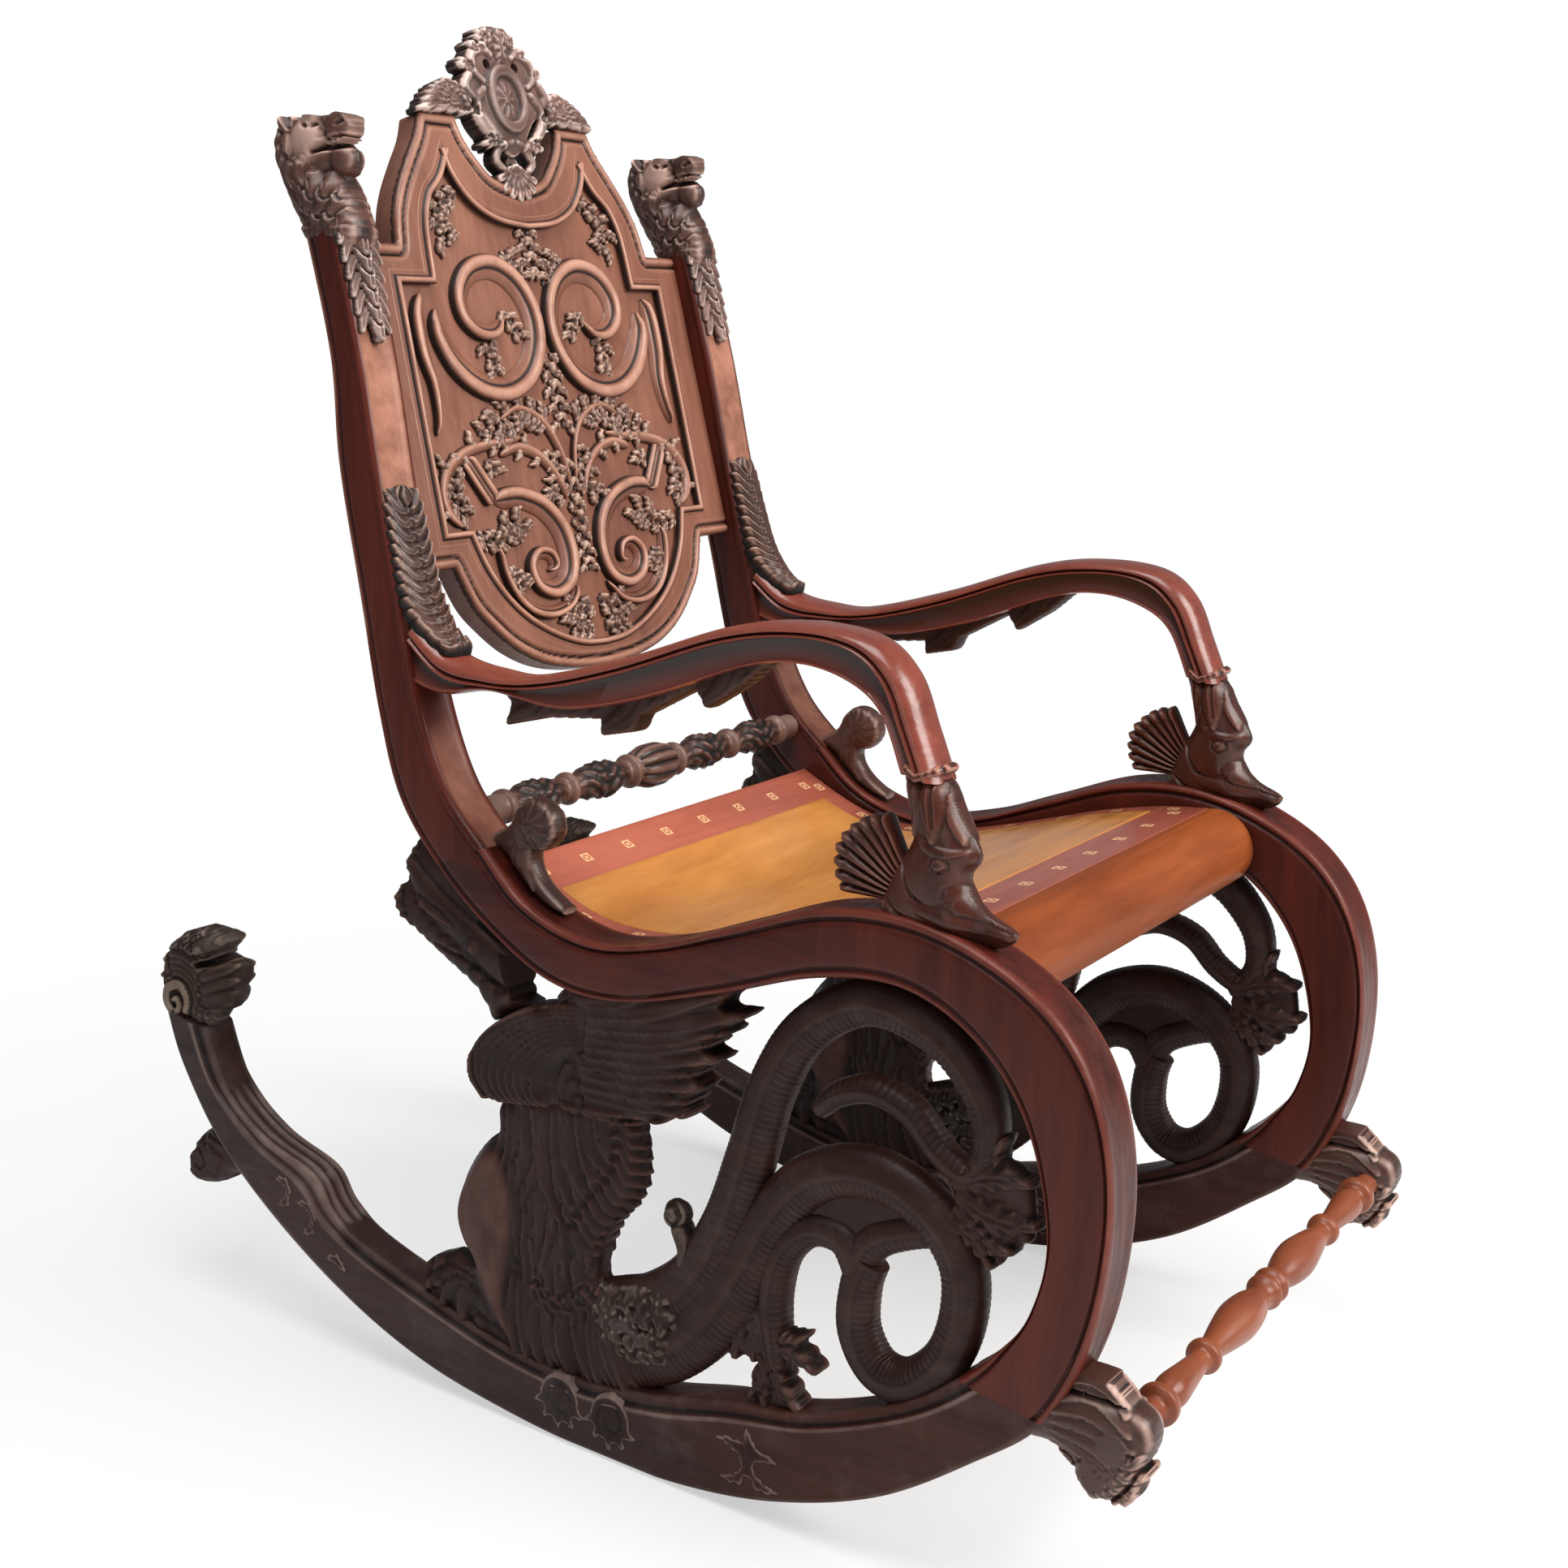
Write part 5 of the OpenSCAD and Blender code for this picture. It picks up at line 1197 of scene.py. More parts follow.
def neck_carving(b):
    """The long neck and the head that grips the rail."""
    b.ground = b.height
    for k in range(12):
        t = k / 11
        at = (22.4 - 13 * t + 1.5 * math.sin(3 * t), 48.6 - 9.2 * t)
        b.lap(bent(at, (at[0] + 2, at[1] - 1.6), 0.25, 0.7, 0.85, 0.3), 0.0042, 0.5, 1)
    b.lap([(6.6, 41.6, 1.3), (10.4, 42.6, 1.5), (14.4, 44.8, 1.5), (18.6, 47.2, 1.4), (21.4, 50, .9)],
        0.0056, 0.2)
    for k in range(9):
        t = k / 8
        at = (23.6 - 3.0 * abs(t - 0.35), 44.8 + 7.2 * t)
        b.dome(at, 0.74, 0.0036)
        b.groove([(at[0] - 0.9, at[1], 0.18), (at[0] + 0.5, at[1] - 0.1, 0.16)], 0.0022)
    b.lap([(20.4, 47.4, .5), (18.4, 46.4, .62), (16.2, 45.6, .3)], 0.0078, 0.2)
    b.dome((13.4, 43.9), 0.85, 0.0044)
    b.dome((13.4, 43.9), 0.4, 0.002)
    b.groove([(8, 44.2, .22), (10.6, 44.9, .26), (13.4, 46.3, .22)], 0.0036)
    b.groove([(8.6, 40.4, .2), (11.4, 40.9, .24), (14.6, 42.4, .2), (18.6, 43.4, .16)], 0.0036)


WING = [
    (5.4, 39.9), (3.4, 41.2), (1, 43), (-8, 44.6), (-13.6, 45.2), (-13.2, 43.3), (-15.2, 43.2),
    (-13.2, 41.2), (-11.6, 39.6), (-12.6, 38.8), (-10.4, 37.2), (-11, 36), (-9.6, 34.4), (-9.8, 33.4),
    (-6.6, 32.2), (-3, 31.4), (2, 31), (7, 30.2), (11, 29.6), (13.4, 31), (14.2, 33), (13.8, 35),
    (12, 37), (8.4, 39.2)]
QUILL_TIPS = [
    (-4.6, 31.4), (-7.2, 32.2), (-9.8, 33.3), (-9.8, 34.5), (-11, 35.9), (-10.6, 37.2), (-12.6, 38.7),
    (-12, 40), (-13.6, 41.3), (-15.2, 43), (-13.6, 44.6), (-8, 44.6)]
LOBE = [(.8, 40.6), (5, 39.8), (8.6, 38.2), (11.7, 36.2), (13.6, 34), (13.9, 31.9), (12.7, 30.2)]
LOBE_HEART = [(1.2, 36.4), (2.4, 36), (3.6, 35.2), (4.5, 34.1), (4.9, 33), (4.8, 32), (4.2, 31.2)]


def dragon_wing():
    """Quills behind, with the coiled lobe of the shoulder over them."""
    b = Blank((-16, 28.6), (15.4, 46.2), 0.138)
    b.fill(curve(WING, 4, True), 0.0178, 1.0, base=0.011)
    b.ground = np.where(b.inside > 0, b.height, 0.0165)
    for k, tip in enumerate(QUILL_TIPS):
        root = (2.2, 31.8 + 0.86 * k)
        b.lap(bent(root, tip, -0.05 + 0.008 * k, 0.72, 1.06, 0.3), 0.0062, 0.75, 1, solid=True)
    outer, heart = np.array(LOBE), np.array(LOBE_HEART)
    for k in range(9):
        line = outer + (heart - outer) * k / 9.4
        widths = (0.34, 0.5, 0.66, 0.76, 0.8, 0.74, 0.5)
        b.lap([(y, s, w) for (y, s), w in zip(line, widths)], 0.0062, 0.78, 0, solid=k == 0)
    for k in range(3):
        b.lap(bent((2.2 - 0.5 * k, 35.6 - 1.5 * k), (2.6 - 0.7 * k, 30.9), 0.16, .5, .7, .3), 0.0062, 0.5,
            1)
    b.tube([(3.4, 31.5, .4), (1.4, 31.3, .55), (-1.2, 31.6, .5), (-3.4, 32, .3)], 0.0036, blend=True,
        solid=False)
    b.soften(1)
    b.plane(FACE_MOST)
    b.cut(NECK_GAP)
    keep_sides(b, "dragon_wing", "dark")


# Leaves where the tails end
TIP_LEAF = [
    (-17.6, 16.6), (-20.2, 16.6), (-21.7, 16.6), (-21.4, 15.6), (-22.9, 14.4), (-22.2, 13.6), (-20, 14.5),
    (-20.2, 12), (-19.6, 10.9), (-21.8, 9.8), (-18.2, 8.6), (-16.6, 9.6), (-17.4, 12.4), (-15.6, 13),
    (-14.6, 13.6)]
SIDE_LEAF = [
    (-37, 35.4), (-38.6, 37.8), (-39.8, 38.2), (-39.6, 36.4), (-41.6, 35.2), (-42, 30.6), (-40.4, 29.7),
    (-39.2, 27.6), (-38.2, 29), (-36.2, 29.8)]
WEB = [
    (-11.4, 12.8), (-12.8, 12.8), (-13.8, 12.4), (-14.6, 12.4), (-15.4, 12.8), (-16.2, 12.7),
    (-16.8, 13.6), (-17.4, 13.2), (-18.6, 13.8), (-18.8, 18), (-18.4, 24.6), (-14, 20), (-11, 15)]
WEB_ABOVE = [
    (-18.2, 23.6), (-19.6, 26.6), (-22.6, 29.6), (-27, 30.8), (-31, 30.2), (-34, 28.4), (-33.6, 27.2),
    (-30, 27.6), (-27.6, 26), (-25, 26.8), (-21.6, 26)]
TIP_FRONDS = [
    ((-18.2, 15.4), (-21.6, 16.4), 0.1, 0.9), ((-18.2, 15), (-23, 13.8), -0.1, 0.9),
    ((-18.6, 14.4), (-21.4, 9.9), 0.12, 1.0), ((-18.4, 14.4), (-18.2, 8.9), 0.1, 1.2),
    ((-18.2, 14), (-16.6, 9.8), -0.1, 1.0)]
SIDE_FRONDS = [
    ((-35.4, 34), (-39.4, 38), 0.12, 1.1), ((-35.8, 33.6), (-41.8, 35), -0.1, 1.3),
    ((-36.2, 32.4), (-42.4, 31.8), 0.08, 1.5), ((-35.8, 31.2), (-40.4, 29.2), 0.12, 1.2),
    ((-35.2, 30.6), (-38.8, 27.6), -0.1, 1.0)]
WEB_FRONDS = [
    ((-16.6, 19), (-12.4, 13), 0.1, 1.3), ((-17.2, 18.4), (-14.6, 12.6), 0.1, 1.3),
    ((-17.8, 18), (-16.6, 12.9), 0.1, 1.2)]
# Name, outline, blades, two corners of the blank and half thickness
LEAVES = [
    ("tail_tip_leaf", TIP_LEAF, TIP_FRONDS, (-27, 7.6), (-14, 19), 0.0115),
    ("tail_web_leaf", WEB, WEB_FRONDS, (-20, 11.6), (-10, 26), 0.008),
    ("tail_web_above", WEB_ABOVE, [], (-35.4, 22.4), (-17, 32), 0.009),
    ("tail_side_leaf", SIDE_LEAF, SIDE_FRONDS, (-44, 26.4), (-34, 40), 0.0115)]


def tail_leaves():
    for name, outline, fronds, low, high, thick in LEAVES:
        b = Blank(low, high, 0.11)
        b.fill(curve(outline, 4, True), thick * 0.7, 0.8)
        b.ground = thick * 0.6
        for a, c, bow, w in fronds:
            b.frond(bent(a, c, bow, w * 0.6, w, w * 0.25), thick * 0.6, 4, 0.45)
        b.soften(1)
        keep(b.solid(side_place), name, "dark", None, mirrored=True)


# Back panel
PANEL_HALF = [
    (0, 21.2), (3.4, 22.1), (5.3, 23.8), (6.7, 25.8), (7.3, 27.7), (12, 27.7), (13, 25.6), (14.6, 23.4),
    (16.5, 20.6), (17.7, 18), (18.3, 15.1), (30, 15.1), (30, -14.9), (18.9, -14.9), (17.4, -18.6),
    (15.4, -21), (12.6, -23.4), (9, -25.2), (4.6, -26.2), (0, -26.5)]
PANEL_CORNERS = (4, 5, 10, 11, 12, 13)
INNER_HALF = [
    (0, 17.9), (4, 18.4), (7, 19.8), (9, 22.2), (9.8, 24.6), (11.4, 22), (13.4, 20), (14.6, 17),
    (15, 12.2), (19.6, 12.2), (20, -12.3), (16.4, -12.3), (15.2, -15.6), (13.2, -18.6), (10.6, -21),
    (7, -23), (3.4, -24.2), (0, -24.5)]
INNER_CORNERS = (4, 8, 9, 10, 11)
UPPER_SCROLL = [
    (14.9, 9.2, 1.2), (14.8, 6.8, 2.4), (13.1, 3.9, 2.9), (10.2, 2, 2.9), (6.8, 1.7, 2.9),
    (3.6, 3.2, 2.8), (1.7, 6.2, 2.7), (1.7, 9.4, 2.6), (3.4, 12.1, 2.6), (6.2, 13.4, 2.6),
    (9.2, 12.8, 2.5), (11, 10.8, 2.4), (11, 8.7, 2.3), (9.4, 7.3, 2.1), (7.4, 7.2, 1.6), (5.9, 8.4, .9)]
LOWER_SCROLL = [
    (11.8, -9.1, 1.7), (10.2, -8.9, 2.2), (8.2, -9, 2.3), (5.4, -10.1, 2.4), (3.4, -12.3, 2.5),
    (2.8, -15, 2.5), (3.5, -17.2, 2.3), (5.6, -18.2, 2.1), (7.7, -17.5, 1.9), (8.3, -15.8, 1.7),
    (7.2, -14.6, 1.4), (5.7, -14.8, 1.2), (5.2, -15.9, 1), (6.1, -16.3, .7)]
OUTER_STRAP = [
    (12.4, -13.4, .8), (12.1, -16, 1.2), (11, -18.3, 1.4), (9.2, -19.8, 1.5), (6.6, -20.4, 1.4),
    (4, -19.8, 1.1), (2.4, -18.2, .7)]
LOWER_ARM = [(11.9, -9.2, 2.2), (13.2, -7.2, 2.2), (14.6, -4.9, 2.1)]
ARC = [
    (6.4, -3.2, .6), (8.6, -3.6, .9), (11.6, -3.8, 1.1), (14.6, -4.4, 1.3), (17, -5.8, 1.4),
    (18.2, -7.8, 1.4), (18, -9.8, 1.3), (16.6, -11.2, .8)]
SECOND_ARC = [(1.3, -9.4, .7), (2.6, -6.9, 1), (4.6, -5, 1.2), (7.2, -4.2, 1.2), (9.8, -4.8, .8)]
STEM = [(.5, -8, .6), (1.3, -4.4, .8), (3.2, -1.6, .9), (6.2, -.4, .8), (8.8, -1.4, .6)]
WAVY = [
    (16.4, 10.6, 1), (17.1, 8.6, 2), (17.2, 5.2, 2), (16.7, 2.2, 1.6), (17, -.6, 1), (17.7, -2.6, .5)]
BEAD = [
    (-1, 0, .1), (-1, 2.6, .1), (-.84, 4.6, .7), (-.58, 5.4, .95), (-.3, 4.8, .7), (-.1, 3, .1),
    (.1, 1.6, .05), (.4, 1.5, .2), (.75, 2, .7), (1, 1, .4), (1, 0, .3)]
STRAP = [
    (-1, 0, .03), (-.97, 2.6, .02), (-.93, 5, .05), (-.86, 6.9, .3), (-.72, 8.4, .75),
    (-.52, 9.2, .95), (-.3, 9.2, .95), (-.1, 8.2, .75), (.04, 6.8, .4), (.1, 5.4, .08),
    (.18, 4.9, .04), (.26, 5.1, .3), (.36, 5, .52), (.55, 3.8, .48), (.8, 2.2, .45),
    (.93, 1.2, .42), (1, 0, .2)]
TWO_LINES = [
    (-1, 0, .03), (-.96, 4.6, .05), (-.86, 6.6, .6), (-.66, 7.2, .95), (-.42, 6.6, .75),
    (-.3, 4.8, .05), (-.2, 4.6, .05), (-.08, 5.8, .5), (.08, 5.8, .5), (.2, 4.6, .05),
    (.3, 4.8, .05), (.42, 6.6, .75), (.66, 7.2, .95), (.86, 6.6, .6), (.96, 4.6, .05), (1, 0, .03)]
THIN = [
    (-1, 0, .05), (-.98, 3, .1), (-.8, 5.4, .6), (-.4, 6.2, .85), (.1, 5.6, .62), (.6, 4, .4),
    (.92, 2, .2), (1, 0, .05)]
BORDER_RISE = 0.006
SINK = 0.0012


def cornered(points, corners, n=8):
    """Smooth arcs between the given corner points."""
    cuts = [0, *corners, len(points) - 1]
    line = []
    for a, b in zip(cuts[:-1], cuts[1:]):
        piece = curve(points[a:b + 1], n) if b - a > 1 else even(points[a:b + 1], 5)
        line.extend(piece[:-1].tolist())
    line.append(list(points[-1]))
    return np.array(line)


def both_halves(half):
    """A closed outline from the half of it, which starts and ends in the middle."""
    return np.concatenate([half, (half * [-1, 1])[-2:0:-1]])


def strap(path, section, base, rounded=0.0, closed=False, half=None):
    """A moulding along a path. The section gives share across, millimetres up and tone, low for painted
    shade at its foot, high for wear and painted highlight on its crest.
    """
    p = np.array(path, float)
    n = len(p)
    if closed:
        before, after = p - np.roll(p, 1, 0), np.roll(p, -1, 0) - p
    else:
        before = np.diff(p, axis=0, prepend=2 * p[:1] - p[1:2])
        after = np.diff(p, axis=0, append=2 * p[-1:] - p[-2:-1])
    a = before[:, :2] / (np.linalg.norm(before[:, :2], axis=1)[:, None] + 1e-9)
    c = after[:, :2] / (np.linalg.norm(after[:, :2], axis=1)[:, None] + 1e-9)
    way = a + c
    way /= np.linalg.norm(way, axis=1)[:, None] + 1e-9
    cut = np.maximum((way * a).sum(axis=1), 0.5)
    normal = np.stack([-way[:, 1], way[:, 0]], axis=1) / cut[:, None]
    width = np.full(n, half) if half is not None else p[:, 2] / 2
    rise = np.ones(n)
    if rounded:
        run = run_along(p)
        for end in (run, run[-1] - run):
            t = np.clip(end / rounded, 0, 1)
            width = width * np.sqrt(np.clip(1 - (1 - t) ** 2, 0.03, 1))
            rise = rise * (0.55 + 0.45 * t)
    across = np.array([q[0] for q in section])
    up = np.array([q[1] for q in section]) * MM
    tone = np.array([q[2] for q in section])
    spot = p[:, None, :2] + normal[:, None, :] * (across[None, :] * width[:, None])[..., None]
    height = base + up[None, :] * rise[:, None] - np.where(up == 0, SINK, 0)[None, :]
    places = panel_place(spot[..., 0], spot[..., 1], height)
    if closed:
        places = np.concatenate([places, places[:1]])
    return swept(places, np.broadcast_to(tone, places.shape[:2]))


def turned_over(section):
    """The same section with its edges changed over."""
    return [(-share, up, tone) for share, up, tone in section[::-1]]


def two_sides(path, section, base, rounded):
    """The same moulding on both halves of the panel."""
    other = [(-q[0], *q[1:]) for q in path]
    return [strap(other, section, base, rounded), strap(path, turned_over(section), base, rounded)]


def room_beside(blank):
    """Squares left between a point of the panel and the post beside it."""
    z = panel_place(blank.uu, blank.vv, 0.0)[..., 2]
    return (half_width(z) + 0.002) / SQUARE - np.abs(blank.uu)


def panel_board():
    """The board and the raised border round it."""
    outer = both_halves(cornered(PANEL_HALF, PANEL_CORNERS))
    inner = both_halves(cornered(INNER_HALF, INNER_CORNERS))
    b = Blank((-30.4, -27), (30.4, 28.2), 0.3)
    b.inside = np.minimum(b.outline(outer), room_beside(b))
    b.height = np.zeros(b.uu.shape)
    keep(b.solid(panel_place, least=-1, flat_back=-BOARD_THICK, back_tone=0.36), "panel_ground", "panel",
        ["back_panel"])
    b = Blank((-30.4, -27), (30.4, 28.2), 0.24)
    edge = b.outline(outer)
    open_edge = -b.outline(inner)
    b.inside = np.minimum(np.minimum(edge, open_edge), room_beside(b))
    bead = 0.0022 * arch((edge - 0.5) / 0.4)
    step = 0.0016 * smooth(edge, 0.9, 1.15)
    b.height = BORDER_RISE - 0.0016 + bead + step
    b.height = b.height - 0.0026 * np.exp(-((edge - 1.05) / 0.18) ** 2)
    keep(b.solid(panel_place, flat_back=-SINK), "panel_border_worked", "panel", ["panel_border"])


def panel_mouldings():
    """The bead inside the border and the interlaced straps."""
    inner = both_halves(cornered(INNER_HALF, INNER_CORNERS, 12))
    bead = strap(inner, BEAD, BORDER_RISE - 0.0018, closed=True, half=0.7)
    keep(bead, "panel_moulding_worked", "panel", ["panel_moulding"])
    parts = []
    for path, section, points, base, rounded in (
            (UPPER_SCROLL, STRAP, 12, 0.0, 1.3), (LOWER_SCROLL, turned_over(STRAP), 12, 0.0, 1.3),
            (LOWER_ARM, TWO_LINES, 10, -0.0003, 0.5),
            (OUTER_STRAP, STRAP, 10, -0.0006, 0.8), (WAVY, STRAP, 10, -0.0006, 0.8),
            (ARC, THIN, 10, 0.0, 0.8), (SECOND_ARC, THIN, 10, 0.0, 0.8), (STEM, THIN, 10, 0.0, 0.8)):
        parts += two_sides(curve(path, points), section, base, rounded)
    keep(joined(parts), "panel_scrolls_worked", "panel", ["panel_scrolls"])


# Garlands of leaves: points along the stem, number of leaves, length of a leaf
GARLANDS = [
    ([(8.4, 20), (10.8, 19.5), (12.3, 17.9), (12, 16.2), (10.4, 15.2)], 10, 1.9),
    ([(4.4, 15.1), (2.6, 13.7), (1.2, 11.4)], 7, 1.7),
    ([(.5, 17.6), (.6, 15), (.6, 12.6)], 6, 1.5),
    ([(5.6, 9.4), (4.7, 8), (3.4, 6.4)], 6, 1.6),
    ([(6.8, 6.3), (8.6, 5.4), (8.2, 3.8), (8.4, 2.4)], 7, 1.7),
    ([(.5, 5.6), (.5, 2.6), (.5, -.4), (.5, -3)], 9, 1.35),
    ([(2.6, -2.6), (4.4, -.9), (6.8, -.7), (9.6, -2.2)], 9, 2.5),
    ([(8.4, -3.3), (10.4, -2.6), (12.6, -2.5)], 5, 1.6),
    ([(14.8, -4.9), (16.7, -6.2), (16.9, -8.6), (15.6, -10.8)], 9, 1.8),
    ([(15, -11.6), (13.4, -12.8), (11.4, -12.8), (9.6, -11.4), (7.9, -12.6)], 12, 1.9),
    ([(10.9, -15.2), (10.7, -16.8), (9.5, -18)], 6, 1.9),
    ([(11.6, -5), (10.7, -6.8)], 4, 1.5),
    ([(2, -5.2), (2, -7.6), (3.2, -9.4), (4.4, -8.6)], 8, 1.7),
    ([(.4, -6), (.4, -9), (.5, -11.6), (.4, -14.4), (.4, -17.4)], 13, 1.15),
    ([(.6, -19.4), (1.8, -20.8), (3.6, -20.6), (5.2, -20.2)], 8, 1.9),
    ([(.6, -22.8), (2.4, -22.9), (4.6, -22.4)], 6, 1.7)]


def garland(b, stem, count, size, rise, sign, number):
    """Leaves set in turn on the two sides of a stem, with a drilled hole beside each root."""
    line = even(curve(stem, 6), count + 2)
    way = np.gradient(line, axis=0)
    for k in range(1, count + 1):
        turn = (0.85 + 0.3 * wobble(number + k)) * sign_of(k)
        a = math.atan2(way[k, 1], way[k, 0]) + turn
        long = size * (0.85 + 0.2 * wobble(number + 2 * k, 0.7))
        root = line[k] * [sign, 1]
        tip = root + long * np.array([sign * math.cos(a), math.sin(a)])
        bow = 0.22 * sign * sign_of(k)
        b.frond(bent(root, tip, bow, 0.34, 0.34 * size, 0.12), rise * (0.86 + 0.14 * wobble(k, 1.7)), 3,
            0.36, vein=0.4)
    for k in range(1, count + 1, 2):
        root = line[k] * [sign, 1]
        b.groove([(root[0] - 0.3, root[1] + 0.2, 0.24), (root[0] - 0.1, root[1] - 0.2, 0.2)], rise * 0.6)
        b.dome(root + [0.45 * sign, 0.3], 0.34, rise * 0.35)


def panel_sprays():
    """Leaf sprays between the straps, one piece for each half."""
    for side, sign in (("near", -1), ("far", 1)):
        low, high = sorted((-1.2 * sign, 20.8 * sign))
        b = Blank((low, -25.4), (high, 22), 0.11)
        b.ground = 0.0006
        for k, (stem, count, size) in enumerate(GARLANDS):
            garland(b, stem, count, size, 0.0082, sign, 3 * k)
        for path in (ARC, SECOND_ARC, STEM):
            line = even(curve(path, 6), 9)
            normal = side_normals(line)
            for k in range(1, 8):
                out = sign_of(k) * normal[k]
                root = line[k, :2] * [sign, 1]
                tip = root + (out * [sign, 1]) * 1.4 + np.array([0.5 * sign, 0.3])
                b.frond(bent(root, tip, 0.2, 0.3, 0.5, 0.14), 0.0072, 3, 0.4)
        b.soften(1)
        keep(b.solid(panel_place, flat_back=-SINK), "panel_sprays_" + side, "spray",
            ["panel_sprays"] if sign < 0 else None)


# Crest
CREST_HALF = [
    (0, 24.2), (1.6, 25), (2.6, 26.6), (4.6, 28.4), (7.4, 28.2), (9.4, 27.7), (12.2, 27.7), (11, 29.4),
    (8.6, 30.6), (6.6, 30.2), (5.2, 30.6), (4.9, 32.2), (3.8, 34), (2.2, 35), (1.4, 36.4), (0, 36.8)]
CREST_THICK = 0.018
OVAL_AT, OVAL_R = (0, 29.8), (2.5, 3.1)
# Scrolls of one half with their heights, and the small leaves that fill their bends
CREST_SCROLLS = [
    ([(1.5, 25.2, .45), (3.2, 26, .5), (4.6, 27.6, .55), (4.4, 29.4, .55), (3.4, 30.4, .5)], 0.016),
    ([(4.9, 31.6, .45), (5.6, 30.4, .55), (4.6, 29.4, .5), (3.7, 29.9, .4)], 0.0155),
    ([(3.2, 31.2, .4), (4.3, 32.2, .5), (3.9, 33.7, .5), (2.5, 34.4, .5), (1.5, 33.9, .4)], 0.016),
    ([(2.2, 34.6, .4), (1.7, 35.9, .5), (.6, 36.5, .45)], 0.0155)]
CREST_LEAVES = [
    ((2.6, 34.4), (3.9, 34.8)), ((1.4, 35.2), (2.4, 36.2)), ((4.6, 32.4), (5.4, 33.2)),
    ((4.8, 28.2), (6.6, 29.4)), ((2.2, 25.6), (4.2, 25.2)), ((1, 35), (.8, 36.3))]


def crest():
    b = Blank((-13.2, 19.4), (13.2, 36.5), 0.1)
    b.fill(curve(both_halves(np.array(CREST_HALF))[::-1], 4, True), 0.011, 0.7, base=0.007)
    b.ground = np.where(b.inside > 0, b.height, 0.008)
    for sign in (1, -1):
        def at(u, v, w):
            return (u * sign, v, w)
        # Leaves of the shoulders, fanned from the foot of the crest
        for k in range(6):
            t = k / 5
            tip = (12.2 - 3.6 * t, 27.9 + 2.6 * math.sin(1.6 * t))
            root = (4.6 + 0.3 * k, 28.3 + 0.2 * k)
            b.frond([at(*root, 0.5), at((root[0] + tip[0]) / 2, (root[1] + tip[1]) / 2 + 0.5, 0.9),
                at(*tip, 0.3)], 0.0046, 4, 0.32)
        for path, rise in CREST_SCROLLS:
            b.tube([at(*q) for q in path], rise, base=0.008)
        for root, tip in CREST_LEAVES:
            b.frond([at(*root, 0.4), at((root[0] + tip[0]) / 2 + 0.2, (root[1] + tip[1]) / 2, 0.7),
                at(*tip, 0.25)], 0.0056, 3, 0.36)
    b.frond([(0, 33.4, .7), (0, 35.2, 1.1), (0, 36.3, .35)], 0.0072, 4, 0.36)
    # Shell foot that hangs from the crest over the border
    for k in range(7):
        a = math.radians(-90 + (k - 3) * 27)
        tip = around((0, 22.4), a, 2.5, 2.2)
        b.frond([(0, 23.4, .3), (tip[0] / 2, (tip[1] + 23.2) / 2, 0.62), (*tip, 0.42)], 0.0044, 3, 0.2)
    for sign in (1, -1):
        b.tube([(0.4 * sign, 25.6, .5), (1.9 * sign, 25, .55), (2.6 * sign, 23.8, .5),
            (1.8 * sign, 23, .4)], 0.0135, base=0.006)
    b.dome((0, 23.6), 0.8, 0.003, solid=True)
    # Oval frame with a plain rosette
    d = np.hypot((b.uu - OVAL_AT[0]) / OVAL_R[0], (b.vv - OVAL_AT[1]) / OVAL_R[1])
    ring = 0.0115 + 0.0055 * arch((d - 0.9) / 0.2)
    angle = np.arctan2((b.vv - OVAL_AT[1]) / OVAL_R[1], (b.uu - OVAL_AT[0]) / OVAL_R[0])
    petal = np.abs(np.cos(4 * angle)) * np.clip(1 - d / 0.62, 0, 1) ** 0.5
    rose = 0.0105 + 0.0028 * petal * smooth(d, 0.08, 0.22) + 0.003 * arch(d / 0.18)
    b.height = np.where(d < 0.7, rose, np.where(d < 1.1, ring, b.height))
    b.inside = np.maximum(b.inside, (1.1 - d) * 2.5)
    for at, r in (((2.0, 33.0), 0.5), ((5.3, 28.9), 0.4)):
        for sign in (1, -1):
            b.within(b.from_point((at[0] * sign, at[1])) - r)
    b.soften(1)
    foot = 0.5 - 0.5 * smooth(b.vv, 24.4, 26)
    b.height = np.maximum(b.height - foot * 0.0075, 0.0022)
    keep(b.solid(panel_place, flat_back=-CREST_THICK * 0.35, back_tone=0.3), "crest_carved", "pale",
        ["crest", "crest_foot"])


# Heads on the rockers' rear ends
BEAST_RIND = [
    (51.6, 28), (50.7, 29), (50.4, 29.9), (49.2, 30.6), (47.9, 31.2), (47.4, 32.2), (47, 33.4),
    (46.4, 34.2), (46.1, 35), (46.2, 35.9), (47.2, 36.4), (49, 36.8), (48.7, 37.3), (48.4, 38),
    (48.8, 38.6), (49.7, 39), (50.8, 38.9), (52, 39), (53.4, 38.5), (54.8, 38), (56.2, 37.2),
    (57.3, 36.2), (58, 34.8), (58.3, 33), (58.2, 31.2), (57.9, 29.6), (57, 28)]


